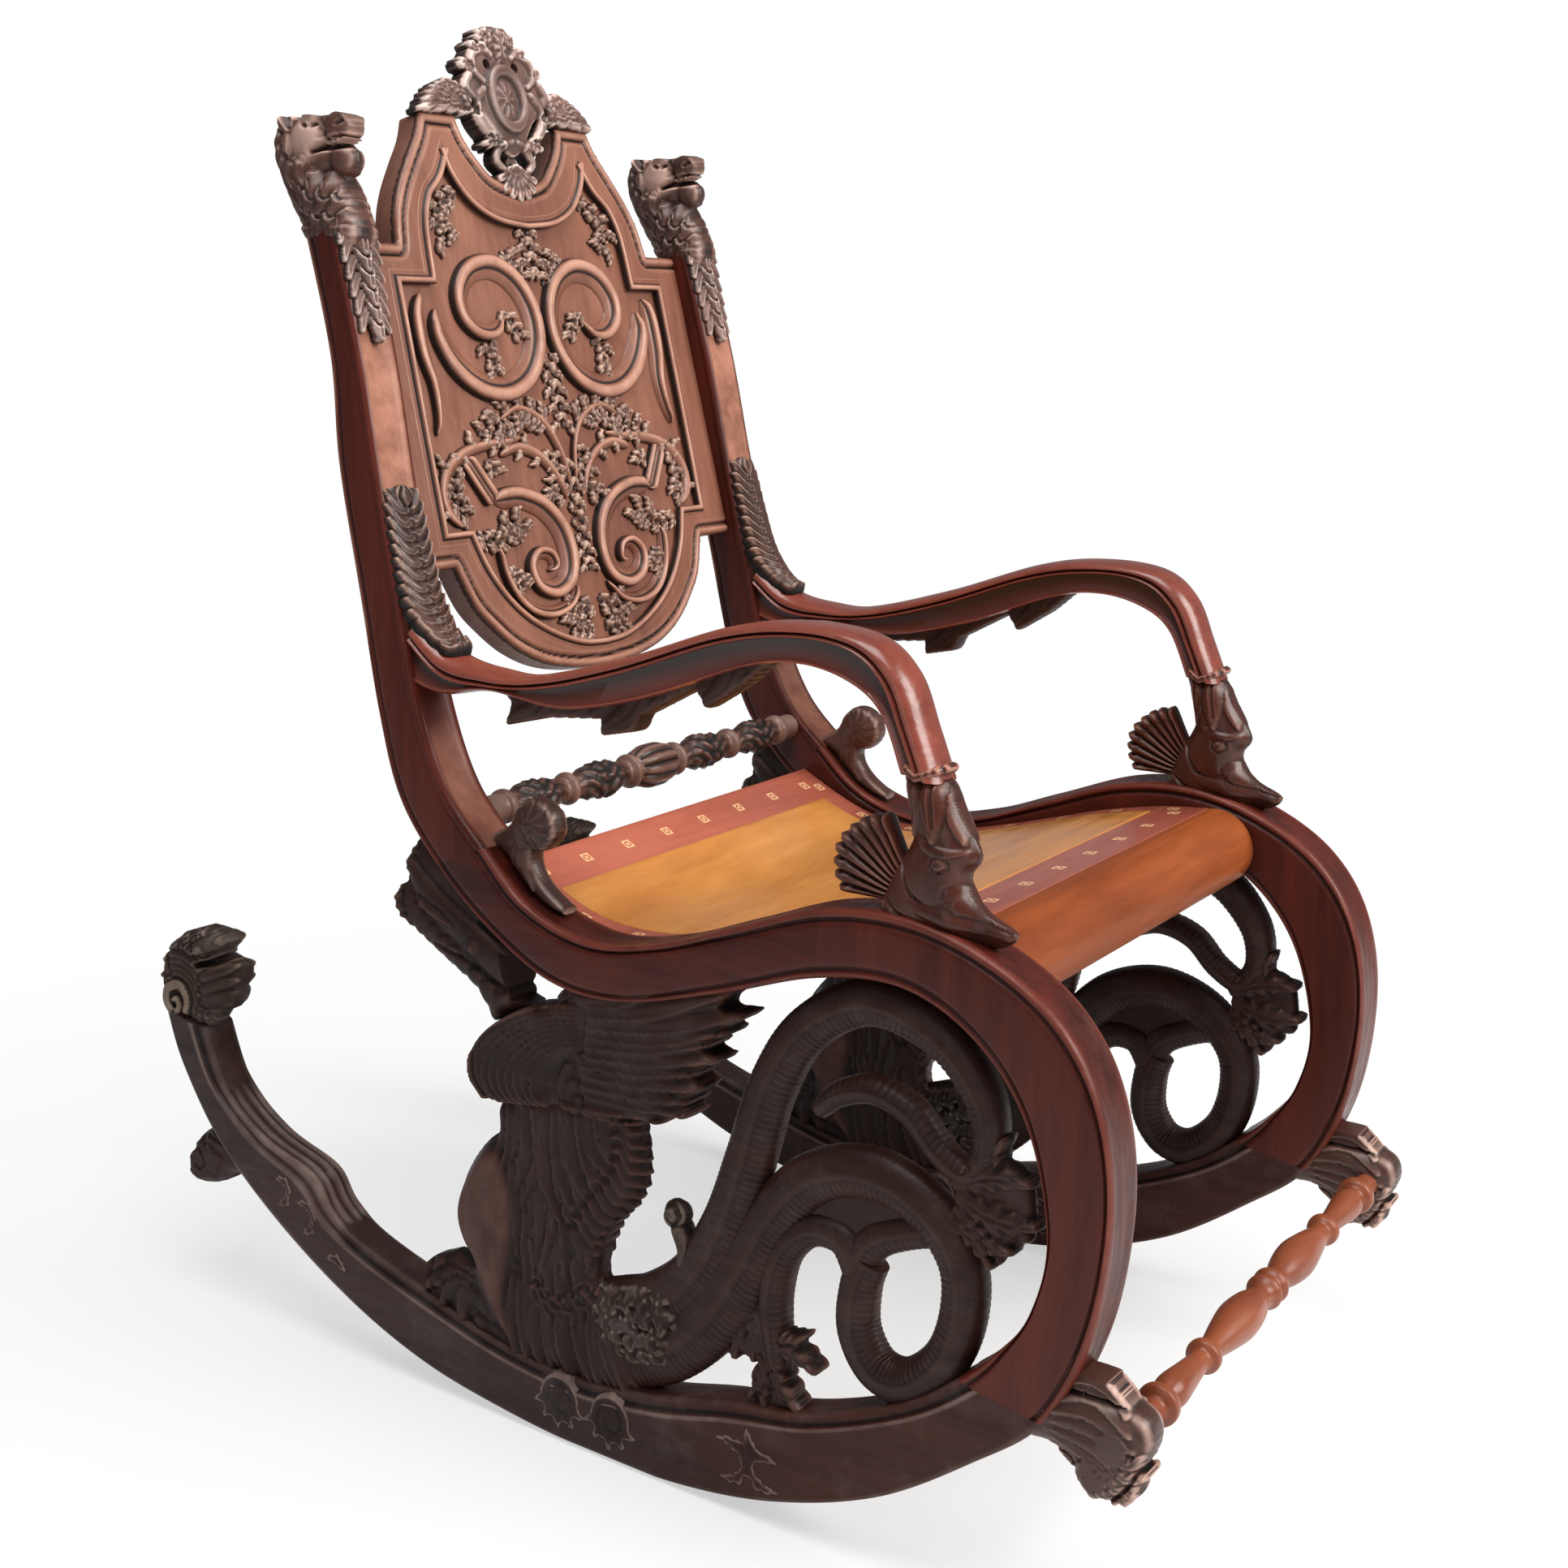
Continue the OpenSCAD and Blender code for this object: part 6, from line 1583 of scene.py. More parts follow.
def rocker_head():
    b = Blank((44.8, 26.4), (60, 41.6), 0.09)
    b.fill(np.array(BEAST_RIND), 0.0185, 2.4)
    rind = b.inside
    b.soften(5)
    b.height = b.height * (0.7 + 0.3 * smooth(b.uu, 46.4, 50.5))
    b.ground = b.height
    # Ruff of curls along the top and round the cheek
    for k, (y, s, r) in enumerate(((57.3, 33.4, .9), (56.9, 35.1, 1), (55.5, 36.4, 1.1),
            (53.6, 37.3, 1.1), (51.6, 38, 1))):
        for turn in range(4):
            a = 0.6 + 1.35 * turn + 0.5 * k
            tip = around((y, s), a, 1.5 * r)
            b.lap(bent((y, s), tip, 0.3, 0.4, 0.6, 0.25), 0.0058, 0.4, 1)
        b.dome((y, s), 0.7 * r, 0.0036)
        b.groove([(y + 0.4, s, .16), (y, s + 0.4, .16), (y - 0.3, s, .14)], 0.003)
    for k in range(4):
        r = 2.6 + 0.66 * k
        ring = [(*around((54.6, 31.4), math.radians(a), r), 0.42) for a in range(60, 215, 16)]
        b.lap(ring, 0.0046, 0.6, 0)
    # Blunt muzzle: brow to the nose, closed mouth between two long lips, jaw
    b.lap([(52.4, 37, .5), (50.4, 37.6, .9), (49.2, 38.2, .8), (48.4, 38.3, .4)], 0.0066, 0.1)
    b.dome((48.5, 38.1), 0.8, 0.0034)
    b.lap([(51.4, 33.9, .5), (49.4, 34.7, .6), (47.8, 35.4, .56), (46.9, 35.8, .3)], 0.005, 0.1)
    b.lap([(51.4, 32.7, .5), (49.4, 33.5, .6), (47.8, 34, .56), (47, 34.3, .3)], 0.0046, 0.1)
    b.lap([(51.2, 31.4, .7), (49.4, 31.8, 1), (47.4, 32.6, .6)], 0.004, 0.1)
    b.groove([(52, 35.1, .34), (50, 35.7, .48), (48, 36.6, .5), (46.6, 37.1, .42)], 0.0105)
    b.dome((51, 36.8), 0.66, 0.0052)
    b.dome((51, 36.8), 0.3, 0.0016)
    b.groove([(51.9, 36.3, .16), (51, 36.1, .16), (50.2, 36.4, .14)], 0.0026)
    # Round scroll under the ear
    d = b.from_point((55.2, 31))
    b.height = np.where(d < 2.1, 0.0176, b.height)
    q = b.stroke([(53.8, 29.9, .4), (53.5, 31.3, .52), (54.6, 32.6, .6), (56.4, 32, .6),
        (56.7, 30.5, .56), (55.6, 29.5, .5), (54.7, 30.3, .4), (55.1, 31.1, .34), (55.6, 30.9, .3)])[0]
    roll = 0.0176 + 0.0062 * arch(q)
    b.height = np.where(np.abs(q) < 1, roll, b.height)
    # The scroll is lifted towards the crest colour: a painted highlight
    b.lift = np.where(np.abs(q) < 0.8, 0.3, 0.0)
    # Flutes that run on into the rocker
    for k in range(4):
        b.groove([(57.2 - 1.7 * k, 29.6, .3), (56.6 - 1.6 * k, 26.2, .3)], 0.0026)
    b.soften(1)
    b.within(rind + 0.3)
    keep_sides(b, "rocker_head", "dusty")


UNDER_SCROLL = [
    (48, 18), (50.4, 18.6), (52.4, 17.3), (54, 15.7), (54.9, 14), (54.6, 12.2), (53, 11.2), (50.4, 12),
    (48, 13.4), (45.5, 14.8)]


def rocker_scroll():
    b = Blank((44, 10.2), (56.4, 19.8), 0.11)
    b.fill(curve(UNDER_SCROLL, 4, True), 0.0215, 1.6)
    b.soften(3)
    b.ground = b.height
    for k in range(5):
        a = math.radians(-35 + 42 * k)
        tip = around((52.6, 14.2), a, 2.5, 2.6)
        b.frond(bent((49.4 + 0.2 * k, 15.2), tip, -0.22, 0.5, 0.85, 0.3), 0.003, 4, 0.25, solid=False)
    b.dome((52.7, 14), 1.7, 0.0016)
    b.groove([(54, 13.4, .3), (53.8, 15, .34), (52.4, 15.5, .34), (51.5, 14.3, .3), (52.2, 13.4, .26),
        (52.9, 13.8, .2)], 0.0035)
    b.groove([(46, 16.6, .25), (48.6, 16.9, .3), (51, 17.2, .25)], 0.0025)
    b.plane(SCROLL_MOST)
    keep_sides(b, "rocker_scroll", "dark")


# Lion heads on the back posts
LION_RIND = [
    (28, 104.8), (27.6, 105.8), (27.7, 107), (28.3, 108.6), (29, 109.8), (29.5, 110.9), (28.7, 111.3),
    (28.2, 112.1), (28.3, 113), (29, 113.55), (29.8, 113.8), (29.1, 114.05), (28.6, 114.5), (28.5, 115.2),
    (28.9, 116.0), (29.8, 116.3), (31.2, 116), (32.6, 116.1), (34.6, 116), (36.2, 116.2), (37.2, 115.6),
    (37.8, 114.2), (37.6, 112.4), (36.7, 110.4), (35.6, 108.4), (34.4, 106.6), (33.4, 105.3),
    (32.4, 104.8)]
MANE_BACK = (
    [103.4, 104.6, 106.4, 108.6, 110.8, 112.8, 116], [32.2, 32.8, 34.2, 35.7, 36.8, 37.6, 37.2])
MANE_FRONT = ([103.4, 108, 110.6, 112.4, 116], [29.6, 30.4, 31.8, 34.6, 35.6])
# Round forms of the face: middle, radius, height of the top and depth
FACE_FORMS = [
    ((33.4, 114.0), 2.1, .0222, .012), ((32.2, 112.6), 1.7, .0178, .010),
    ((32, 115.6), 1.3, .0158, .009), ((29.9, 115.1), 1.62, .0156, .0145),
    ((30, 114.5), 0.9, .0164, .008), ((29.7, 112.3), 1.4, .0144, .013),
    ((32.7, 115.8), 0.9, .0198, .006), ((29.2, 115.7), 0.7, .0132, .006)]


def lion_head():
    b = Blank((26.6, 102.6), (39.6, 118), 0.085)
    b.fill(np.array(LION_RIND), 0.0195, 3.0)
    rind = b.inside
    b.soften(4)
    face = (1 - smooth(b.uu, 30.6, 33)) * smooth(b.vv, 109.8, 111.6)
    b.height = b.height * (1 - 0.6 * face)
    b.ground = b.height
    # Locks of the mane, laid from the lowest up
    for row in range(7):
        s0 = 107.4 + 1.35 * row
        back = np.interp(s0, *MANE_BACK) + 0.1
        front = np.interp(s0, *MANE_FRONT)
        count = max(3, int((back - front) / 0.74))
        for k in range(count):
            t = (k + 0.5 * (row % 2)) / count
            at = (back + (front - back) * t, s0 + 0.35 * math.sin(3 * t))
            fall = 3.6 + 0.7 * wobble(row * 3 + k)
            tip = (at[0] - 1.5 - 0.5 * wobble(row + k, 0.7), at[1] - fall)
            b.lap(bent(at, tip, 0.2 * sign_of(k + row), 0.42, 0.6, 0.14), 0.0066, 0.55, 1)
    # Round curls on the chest in rows
    for row in range(3):
        for k in range(3):
            at = (29.1 + 1.35 * k + 0.6 * (row % 2), 107.2 + 1.55 * row)
            tip = (at[0] - 0.1, at[1] - 1)
            b.lap(bent((at[0] + 0.2, at[1] + 1.1), tip, 0.3 * wobble(k + row), 0.5, 0.82, 0.5), 0.007,
                0.1, 0)
            b.groove([(at[0] + 0.3, at[1] + 0.3, .14), (at[0], at[1] - 0.4, .16)], 0.0024)
    # Curls at the bottom of the mane that cover the end of the post
    ring = smooth(b.vv, 104.5, 105.3) * (1 - smooth(b.vv, 106.4, 107.6))
    edge = rounded_edge(b.inside / 1.3)
    b.height = np.maximum(b.height, 0.0238 * ring * edge)
    coat, b.ground = b.ground, b.height - 0.0012
    for k in range(7):
        at = (28.4 + 0.88 * k, 107.4 - 0.3 * (k % 2))
        b.lap(bent(at, (at[0] - 0.5, at[1] - 2.3 + 0.5 * (k % 2)), 0.3 * sign_of(k), 0.5, 0.62, 0.2),
            0.0026, 0.2, 1)
        b.groove([(at[0] + 0.45, at[1], .1), (at[0] + 0.1, at[1] - 1.8, .14)], 0.0016)
    b.ground = coat
    # Short locks round the cheek, then cheek, brow, muzzle, lips and chin as round forms
    for k in range(8):
        a = math.radians(110 - 32 * k)
        at = around((34, 114.1), a, 2.0)
        if at[0] > 32.6:
            tip = (at[0] + 0.9 * math.cos(a), at[1] + 0.6 * math.sin(a) - 1.5)
            b.lap(bent(at, tip, 0.25, 0.5, 0.62, 0.18), 0.0068, 0.4, 1)
    for at, r, top, depth in FACE_FORMS:
        d = b.from_point(at) / r
        form = top - depth + depth * arch(d)
        b.height = np.where(d < 1, np.maximum(b.height, form), b.height)
    # The crown of the cheek is lifted towards the crest colour: a painted highlight
    b.lift = 0.3 * (1 - smooth(b.from_point((33, 114)), 1.2, 2.6))
    # Mouth with teeth, nostril, eye and ear
    b.groove([(32.4, 113, .24), (31, 113.5, .5), (29.6, 113.7, .62), (28.2, 113.85, .6)], 0.0135)
    b.groove([(31.6, 116.2, .3), (31.4, 115, .42), (31.2, 114, .3)], 0.0036)
    for k in range(4):
        b.dome((29.1 + 0.55 * k, 113.98 - 0.08 * k), 0.24, 0.0, base=0.0112 + 0.0006 * k)
    b.lift = b.lift + 0.9 * (np.hypot((b.uu - 29.9) / 1.3, (b.vv - 113.9) / 0.26) < 1)
    b.groove([(29, 115.5, .2), (29.5, 115.2, .2)], 0.0034)
    b.groove([(31.6, 116, .18), (31.2, 115, .2), (31.6, 114.2, .18)], 0.0026)
    b.groove([(33.2, 115.3, .2), (32.5, 115.1, .26), (31.9, 115.3, .18)], 0.004)
    b.dome((32.5, 115.15), 0.3, 0.0034)
    b.dome((35.2, 115.8), 1.05, 0.0, base=0.0212)
    b.groove([(35.7, 116.2, .4), (35.1, 115.7, .52), (34.8, 115.2, .3)], 0.0085)
    b.soften(1)
    b.within(rind + 0.22)
    keep_sides(b, "lion_head", "carved")


# Front face of a back post
def post_line():
    """Heights of points on the front edge of a post, and how far along they lie."""
    rim = curve(RIM[:POST_END + 1], FINE)[::-1]
    return rim[:, 1], rim[:, 0]


def front_place(u, v, h):
    """Squares across the post from its middle, squares up, metres in front of it."""
    up, along = post_line()
    y = np.interp(v, up, along)
    return side_place(y - h / SQUARE, v, u * SQUARE)


def post_husks():
    """A drop of husks on the front of each post, under the lion's head."""
    b = Blank((-2.7, 96.6), (2.7, 106.6), 0.08)
    b.ground = 0.001
    for k in range(6):
        low = 97.2 + 1.5 * k
        w = 0.72 + 0.055 * k
        for sign in (1, -1):
            b.lap([(0.5 * sign, low + 2.2, .4), (1.5 * sign * w, low + 1.7, .62),
                (2.25 * sign * w, low + 0.5, .3)], 0.0062, 0.2, 1, solid=True)
        b.lap([(0, low + 2.2, .7), (0, low + 1.1, 1.06 * w), (0, low - 0.1, .62 * w)], 0.0105, 0.0, 0,
            solid=True)
        b.groove([(0, low + 1.8, .16), (0, low + 0.1, .2)], 0.0022)
    b.dome((0, 97), 0.55, 0.009, base=0.0, solid=True)
    b.soften(1)
    keep(b.solid(front_place, flat_back=-0.0012), "post_husks_carved", "pale", ["post_husks"],
        mirrored=True)


# Leaves where the arms grow out of the posts, carved on the front of the post and arm
LEAF_BASE = [
    (24.6, 84.6), (23.7, 81.4), (22.9, 78), (22.1, 75.2), (21, 72.9), (19.5, 71.3), (17.6, 70.3),
    (15.4, 69.7)]


def leaf_place(u, v, h):
    """Squares across the arm, squares along its leaf from the top, metres out from it."""
    line = curve(LEAF_BASE, 12)
    run = run_along(line)
    way = np.gradient(line, axis=0)
    way /= np.linalg.norm(way, axis=1)[:, None]
    y, s = np.interp(v, run, line[:, 0]), np.interp(v, run, line[:, 1])
    out_y, out_s = np.interp(v, run, way[:, 1]), np.interp(v, run, -way[:, 0])
    return side_place(y + out_y * h / SQUARE, s + out_s * h / SQUARE, u * SQUARE)


def arm_leaf():
    b = Blank((-2.7, 0), (2.7, 17.8), 0.075)
    full = 0.0052 + 0.0034 * smooth(b.vv, 3, 9) * (1 - smooth(b.vv, 12, 17.4))
    spread = 2.1 - 1.2 * smooth(b.vv, 13, 17.6) - 0.6 * (1 - smooth(b.vv, 0.6, 3))
    b.ground = full * np.sqrt(np.clip(1 - (b.uu / (spread + 0.4)) ** 2, 0.05, 1))
    b.height = np.where(np.abs(b.uu) < spread, b.ground, 0.0008)
    b.inside = np.minimum(spread - np.abs(b.uu), np.minimum(b.vv - 0.7, 17.2 - b.vv))
    for k in range(13):
        v = 16.4 - 1.22 * k
        reach = np.interp(v, [0, 3, 13, 17], [1.4, 2.0, 2.1, 0.9])
        for sign in (1, -1):
            b.lap([(0.1 * sign, v + 1.0, .45), (0.95 * sign, v + 0.55, .72),
                (reach * sign, v - 0.8, .28)], 0.0056, 0.72 * sign, 1, solid=True)
    b.tube([(0, 17, .26), (0, 10, .34), (0, 2.4, .3)], 0.0012, blend=True, solid=False)
    b.dome((0, 1.6), 1.15, 0.005, base=0.0062, solid=True)
    for sign in (1, -1):
        b.groove([(0.2 * sign, 0.7, .12), (0.7 * sign, 1.6, .2), (0.2 * sign, 2.5, .16)], 0.004)
    b.soften(1)
    keep(b.solid(leaf_place, flat_back=-0.003), "arm_leaf_carved", "leaf", ["arm_leaf"], mirrored=True)


# Bird's neck and head at the front of each arm
ARM_HEAD = [
    (-33.1, 64.8), (-34.3, 62.6), (-35.8, 60.2), (-36.1, 59), (-35.3, 57.8), (-35.6, 56.3), (-37, 55),
    (-39.4, 53.8), (-38, 52.6), (-34, 52.4), (-28, 53), (-28.5, 56.5), (-30.4, 60), (-30.2, 62.6),
    (-29.6, 65.4)]


def arm_head():
    b = Blank((-40.4, 51.6), (-26.8, 67), 0.09)
    b.fill(curve(ARM_HEAD, 4, True), 0.0195, 2.5)
    b.soften(4)
    b.ground = b.height
    # Collar of beads in a point, long lobes under it
    for top, low, w in (((-33.9, 64.4), (-35.2, 60.4), 0.85), ((-30.9, 65), (-31, 60.6), 0.85),
            ((-32.4, 65.4), (-33, 60.2), 1.0)):
        b.lap([(*top, w * 0.6), ((top[0] + low[0]) / 2, (top[1] + low[1]) / 2, w), (*low, .2)], 0.0046,
            0.1)
        b.groove([(top[0], top[1] - 0.6, .16), (low[0], low[1] + 1.2, .14)], 0.002)
    for t in np.linspace(0, 1, 9):
        round_arm = 0.0076 + 0.0138 * math.sin(math.pi * t) ** 0.6
        b.dome((-33.1 + 3.5 * t, 65.7 - 1.6 * min(t, 1 - t) + 0.3 * t), 0.4, 0.0012, base=round_arm,
            solid=True)
    # Cheek with its ring, brow and long lip
    b.dome((-32.6, 57.8), 2.3, 0.003)
    b.lap([(-34.6, 56.4, .8), (-36.6, 55.2, 1.15), (-39, 53.9, .6)], 0.0052, 0.0)
    b.dome((-33.6, 58.7), 0.62, 0.0022)
    b.groove([(-33.1, 59.1, .16), (-33.6, 59.4, .16), (-34.2, 59, .16), (-34.2, 58.4, .16),
        (-33.6, 58.1, .16), (-33, 58.5, .16), (-33.1, 59.1, .14)], 0.002)
    b.lap(bent((-31.6, 60.4), (-35.4, 59.7), 0.12, .3, .5, .2), 0.003, 0.2)
    b.groove([(-30, 58.2, .22), (-31.4, 55.9, .28), (-34, 54.9, .26), (-37.4, 54.4, .2)], 0.0032)
    b.groove([(-28.8, 55.2, .2), (-31, 53.9, .24), (-34.4, 53.4, .2)], 0.0024)
    b.lap([(-31.6, 55.2, .5), (-35, 54.4, .62), (-38.9, 53.8, .28)], 0.0026, 0.3)
    flat = smooth(b.uu, -34, -37.2)
    b.height = b.height * (1 - 0.52 * flat)
    b.soften(1)
    b.plane(HEAD_MOST)
    keep_sides(b, "arm_head", "bird")


FAN_ROOT = (-31.4, 54.8)
FAN_REACH = (7.5, 8.1, 8.5, 8.8, 8.8, 8.6, 8.4, 8.1, 7.7)
FAN_LOW, FAN_HIGH = 3, 62
DEGREES = 57.3


def arm_fan():
    """Ribs of a shell, spread from behind the bird."""
    b = Blank((-32, 53.6), (-21.6, 64.4), 0.09)
    dy, ds = b.uu - FAN_ROOT[0], b.vv - FAN_ROOT[1]
    r = np.hypot(dy, ds)
    a = np.degrees(np.arctan2(ds, dy))
    step = (FAN_HIGH - FAN_LOW) / (len(FAN_REACH) - 1)
    k = (a - FAN_LOW) / step
    rib = np.abs(np.cos(math.pi * k))
    reach = np.interp(k, range(len(FAN_REACH)), FAN_REACH) * (0.94 + 0.06 * rib)
    side = np.minimum(a - FAN_LOW + 0.35 * step, FAN_HIGH + 0.35 * step - a) / DEGREES * r
    b.inside = np.minimum(reach - r, np.where(np.abs(a) < 100, side, -5))
    shell = 0.005 + 0.0046 * rib ** 0.8 * smooth(r, 1.2, 4)
    shell = shell + 0.0012 * np.exp(-((r - reach + 0.8) / 0.35) ** 2)
    b.height = np.where(b.inside > 0, shell * (0.5 + 0.5 * smooth(b.inside, 0, 0.4)), 0.002)
    keep_sides(b, "arm_fan", "bird")


FRINGE = [
    (-17, 72), (-14.5, 70), (-11, 67.9), (-10, 69.5), (-4.4, 66.6), (-3.6, 65.2), (-.2, 64.5), (0, 65.9),
    (5.6, 65.4), (10.6, 64.2), (10, 66.3), (12, 68)]


def arm_fringe():
    b = Blank((-18, 63.6), (13, 73), 0.12)
    top = [(12, 68.4), (5, 68.6), (-5, 70.4), (-12, 72.2), (-17, 73)]
    b.fill(np.array(FRINGE + top), 0.0125, 1.1, base=0.008)
    b.ground = b.height
    for root, tip in (((-15, 72), (-11, 68.1)), ((-10, 70.4), (-4, 65.4)), ((-6, 69.4), (-.3, 64.7)),
            ((-1, 68.6), (5.4, 65.6)), ((4, 67.8), (10.5, 64.4))):
        for k in range(3):
            off = np.array([0.9, 0.7]) * (k - 1)
            b.lap(bent(np.array(root) + off, np.array(tip) + off * 0.3, -0.1, .4, .6, .15), 0.0028, 0.5,
                1)
    b.soften(1)
    keep_sides(b, "arm_fringe", "dark")


# Brackets of the footrest
BRACKET = [
    (-45.6, 20), (-48, 20.2), (-50.4, 20), (-52.3, 19.2), (-52.9, 17.6), (-52.2, 15.6), (-51.2, 13.6),
    (-49.8, 12.2), (-48, 12), (-46.9, 13.2), (-46.6, 14.8), (-44.6, 15.2), (-42.5, 15.4)]


def foot_bracket():
    b = Blank((-54.4, 10.8), (-41.4, 21.4), 0.095)
    b.fill(curve(BRACKET + [(-42.6, 18.6)], 4, True), 0.021, 2.0, base=0.008)
    b.soften(4)
    b.ground = np.where(b.inside > 0, b.height, 0.012)
    # Acanthus blades that turn round the end of the bar
    for k in range(7):
        t = k / 6
        root = (-44.4 - 0.9 * t, 19.6 - 4 * t)
        a = math.radians(172 - 4 * k)
        far = (-50.4 - 1.6 * math.sin(2.4 * t + 0.3), 19.6 - 7.2 * t)
        mid = ((root[0] + far[0]) / 2, (root[1] + far[1]) / 2 + 1.5 * (1 - t) + 0.2 * math.sin(a))
        b.lap([(*root, .5), (*mid, .92), (*far, .3)], 0.0046, 0.5, 1, solid=True)
    for k in range(6):
        a = math.radians(160 + 33 * k)
        tip = around((-49.8, 15.6), a, 2.6, 3.4)
        b.frond(bent(around((-49.6, 15.8), a, 1), tip, 0.25, .4, .75, .3), 0.005, 3, 0.3)
    b.dome((-50.2, 17), 1.25, 0.003)
    b.soften(1)
    b.plane(HEAD_MOST)
    keep_sides(b, "foot_bracket", "carved")


# Curls at the back of the seat
SEAT_CURL = [
    (13, 53.8), (11, 52.2), (9.2, 50.5), (7.4, 48.9), (4.8, 48), (2.2, 47.4), (4.8, 48.8), (7, 50.3),
    (8.2, 52), (8, 53.3), (6.9, 53.4), (5.6, 54.8), (5.9, 56.8), (7.8, 57.8), (9.8, 57), (11, 55.2)]
CURL_AT, CURL_INWARD = (7.9, 55.6), 0.0045


def inner_place(y, s, h):
    """Places of a side, shifted to its inner half."""
    return side_place(y, s, h - CURL_INWARD)


def seat_curl():
    b = Blank((4.6, 47.8), (14.4, 59), 0.085)
    b.fill(curve(SEAT_CURL, 4, True), 0.0125, 1.7, base=0.005)
    b.dome(CURL_AT, 2.35, 0.0155, base=0.0, solid=True)
    b.soften(3)
    b.ground = b.height
    for k in range(8):
        a = math.radians(20 + 40 * k)
        tip = around(CURL_AT, a, 2.3)
        b.lap(bent(around(CURL_AT, a, 0.3), tip, 0.3, .3, .7, .35), 0.0024, 0.6, 1)
    for k in range(3):
        b.lap([(9.8 - 0.7 * k, 53.2 + 0.2 * k, .4), (9.9 - 0.6 * k, 51.6, .42),
            (8.2 - 0.2 * k, 49.8, .2)], 0.0022, 0.5, 0)
    b.soften(1)
    b.plane(CURL_MOST)
    keep(b.solid(inner_place), "seat_curl_carved", "carved", ["seat_curl"], mirrored=True)


# Scene
CAD_PIECES = {
    "hidden": ("seat_battens", "frame_dowels"),
    "dark": ("arm_fringe", "arm_fan", "rocker_head", "rocker_scroll", "dragon_haunch", "dragon_neck",
        "dragon_wing"),
    "dark_up": ("dragon_body",),
    "panel": ("back_panel", "panel_border", "panel_moulding", "panel_scrolls"),
    "spray": ("panel_sprays",),
    "roll": ("seat_roll",)}
CAD_FINISHES = {piece: finish for finish, pieces in CAD_PIECES.items() for piece in pieces}
LENS, SENSOR = 44.72, 36.0
CAMERA_AT = (-1.4313, -1.0135, .9247)
CAMERA_AZ, CAMERA_EL = math.radians(-55.411), math.radians(12.841)
FLOOR_HALF, FLOOR_Z = 14.0, -0.0004
AMBIENT = 0.26
SKY, WHITE = (.93, .95, 1.0, 1.0), (1.0, 1.0, 1.0, 1.0)
FLOOR_TONES = ((.86, .86, .86, 1.0), (.88, .88, .88, 1.0))
AIM = Vector((0, 0, .55))


def shades():
    """Gives the solids that no carved piece stands for their finish."""
    for name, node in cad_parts.items():
        base = name.removeprefix("left_").removeprefix("right_")
        finish = FINISHES[CAD_FINISHES.get(base, "carved")]
        for place in node.material_slots:
            place.material = finish


def camera():
    """The camera of the photograph's view."""
    data = bpy.data.cameras.new("photo_view")
    data.lens, data.sensor_width = LENS, SENSOR
    seer = bpy.data.objects.new("photo_view", data)
    az, el = CAMERA_AZ, CAMERA_EL
    right = Vector((math.cos(az), math.sin(az), 0))
    back = Vector((math.sin(az) * math.cos(el), -math.cos(az) * math.cos(el), math.sin(el)))
    turn = Matrix((right, back.cross(right), back)).transposed()
    seer.matrix_world = Matrix.Translation(CAMERA_AT) @ turn.to_4x4()
    bpy.context.scene.collection.objects.link(seer)
    bpy.context.scene.camera = seer


def lamp(name, at, size, power, colour=(1, 1, 1)):
    data = bpy.data.lights.new(name, "AREA")
    data.shape, data.size, data.energy, data.color = "SQUARE", size, power, colour
    light = bpy.data.objects.new(name, data)
    light.location = at
    light.rotation_euler = (AIM - Vector(at)).to_track_quat("-Z", "Y").to_euler()
    bpy.context.scene.collection.objects.link(light)


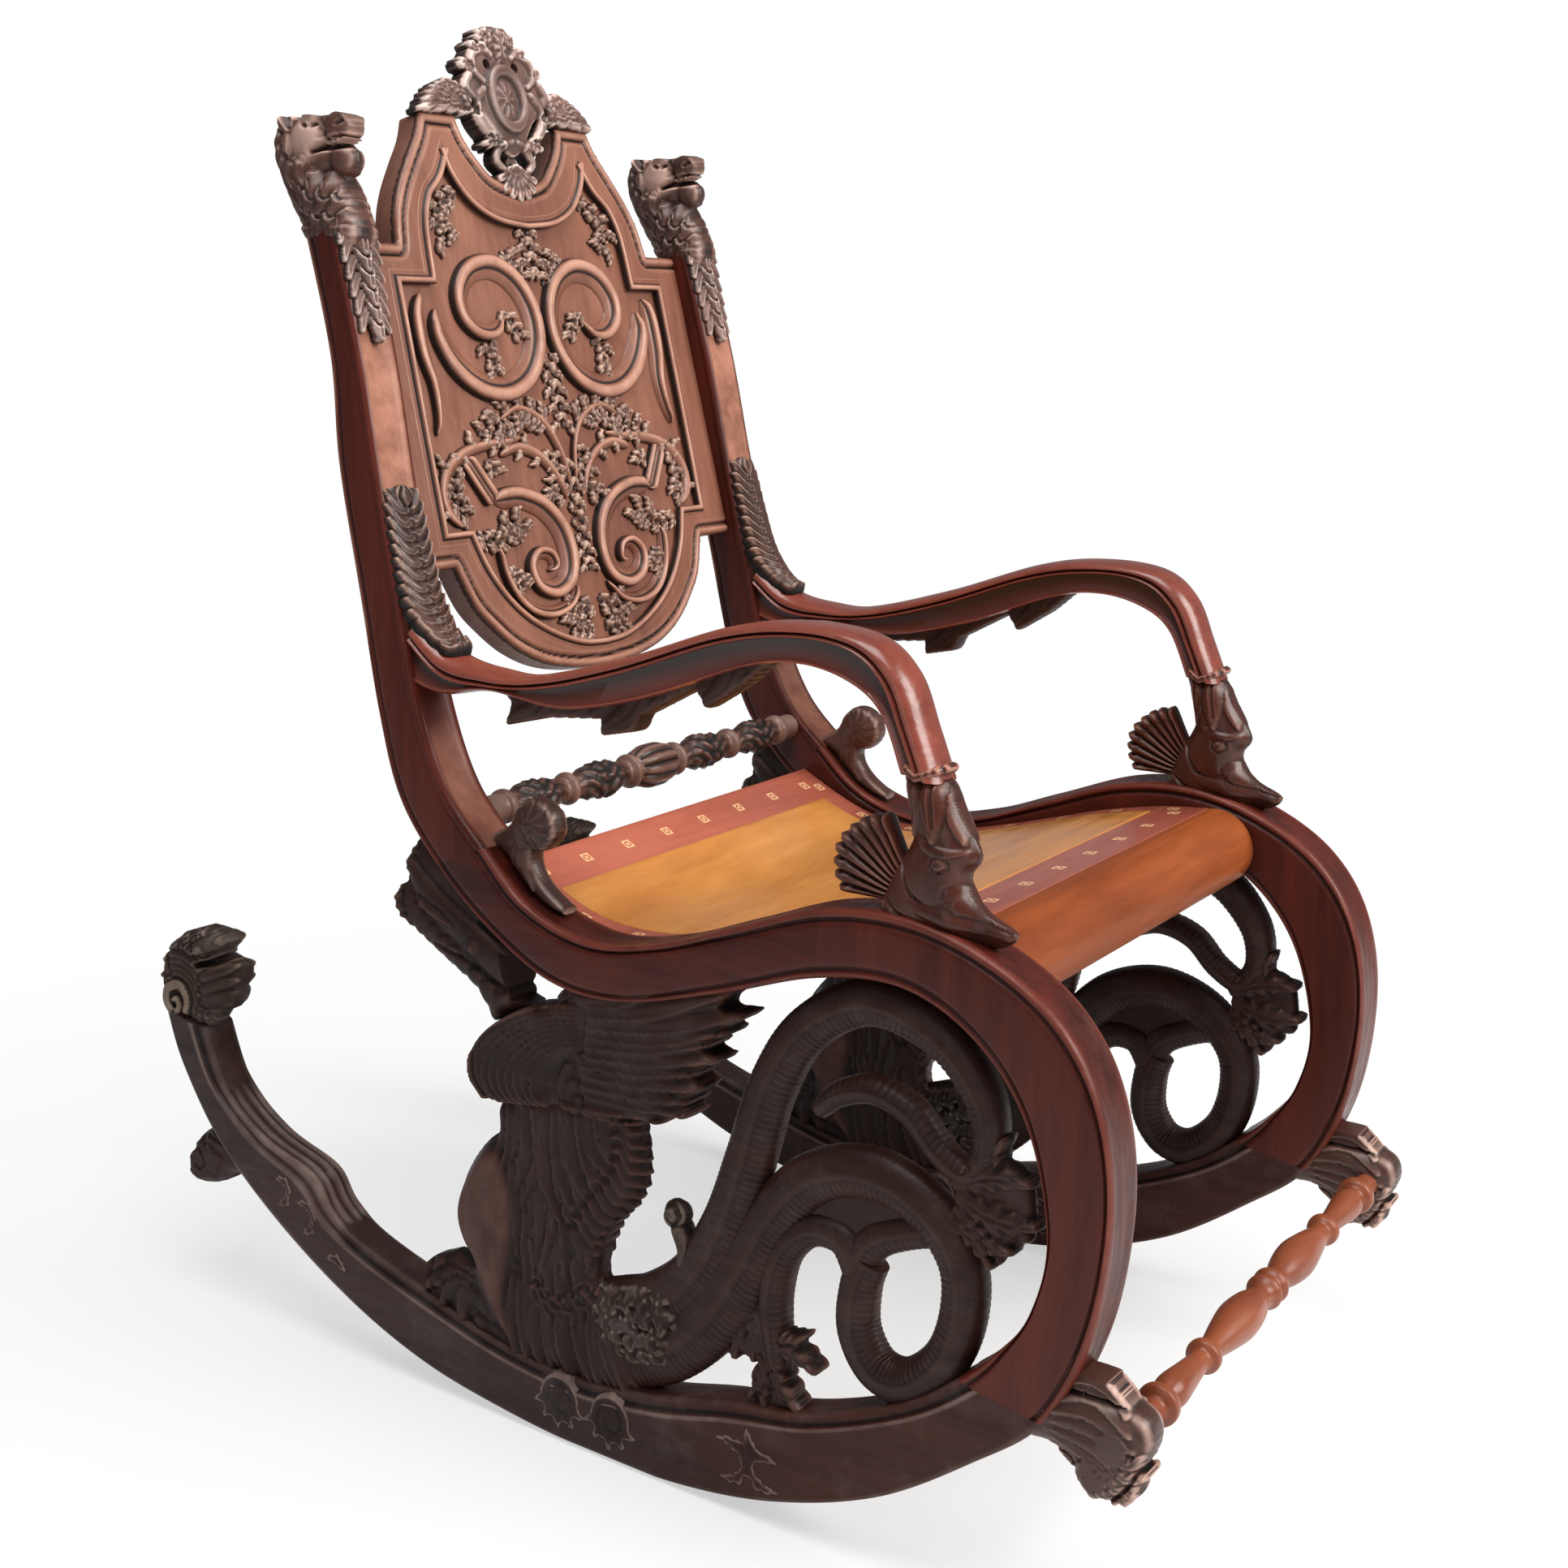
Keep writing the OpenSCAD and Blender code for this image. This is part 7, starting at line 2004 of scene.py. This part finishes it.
def surroundings():
    """Studio light on a pale floor that turns white further out."""
    world = bpy.data.worlds.new("room")
    bpy.context.scene.world = world
    world.use_nodes = True
    tree = world.node_tree
    n = Nodes(tree)
    light = tree.nodes["Background"]
    path = n.add("ShaderNodeLightPath")
    seen = path.outputs["Is Camera Ray"]
    n.link(n.mix(seen, SKY, WHITE), light.inputs["Color"])
    n.link(n.math("ADD", n.math("MULTIPLY", seen, 1 - AMBIENT), AMBIENT), light.inputs["Strength"])
    # A pale floor that keeps the object's shadow
    bm = bmesh.new()
    bmesh.ops.create_grid(bm, x_segments=1, y_segments=1, size=FLOOR_HALF)
    mesh = bpy.data.meshes.new("floor")
    bm.to_mesh(mesh)
    bm.free()
    floor = bpy.data.objects.new("floor", mesh)
    floor.location.z = FLOOR_Z
    bpy.context.scene.collection.objects.link(floor)
    pale = bpy.data.materials.new("pale_floor")
    pale.use_nodes = True
    shader = pale.node_tree.nodes["Principled BSDF"]
    m = Nodes(pale.node_tree)
    grain = m.add("ShaderNodeTexNoise", Scale=3.0, Detail=2.0)
    shade = m.mix(grain.outputs[0], *FLOOR_TONES)
    m.link(shade, shader.inputs["Base Color"])
    shader.inputs["Roughness"].default_value = 0.9
    shader.inputs["Specular IOR Level"].default_value = 0.0
    seer = m.add("ShaderNodeLightPath")
    place = m.add("ShaderNodeTexCoord")
    reach = m.add("ShaderNodeVectorMath", operation="LENGTH")
    m.link(place.outputs["Object"], reach.inputs[0])
    far = m.span(reach.outputs["Value"], 0.4, 1.5, 0.55, 1.0)
    share = m.math("MULTIPLY", far, seer.outputs["Is Camera Ray"])
    white = m.add("ShaderNodeEmission", Strength=1.0)
    blend = m.add("ShaderNodeMixShader")
    m.link(share, blend.inputs[0])
    m.link(shader.outputs[0], blend.inputs[1])
    m.link(white.outputs[0], blend.inputs[2])
    m.link(blend.outputs[0], pale.node_tree.nodes["Material Output"].inputs["Surface"])
    mesh.materials.append(pale)
    lamp("key", (.9, -3.3, 2.5), 2.2, 190, (1.0, .97, .93))
    lamp("top", (-.7, -.5, 3.5), 2.0, 95)
    lamp("side", (-3.4, -1.2, 1.7), 1.8, 14, (.97, .98, 1.0))


side_frames()
arm()
seat()
seat_roll()
turnings()
tails()
dragon_beast()
dragon_wing()
tail_tufts()
tail_leaves()
panel_board()
panel_mouldings()
panel_sprays()
crest()
rocker_ornaments()
rocker_head()
rocker_scroll()
lion_head()
post_husks()
arm_leaf()
arm_head()
arm_fan()
arm_fringe()
foot_bracket()
seat_curl()
shades()
camera()
surroundings()

bpy.context.scene.view_settings.view_transform = "Standard"
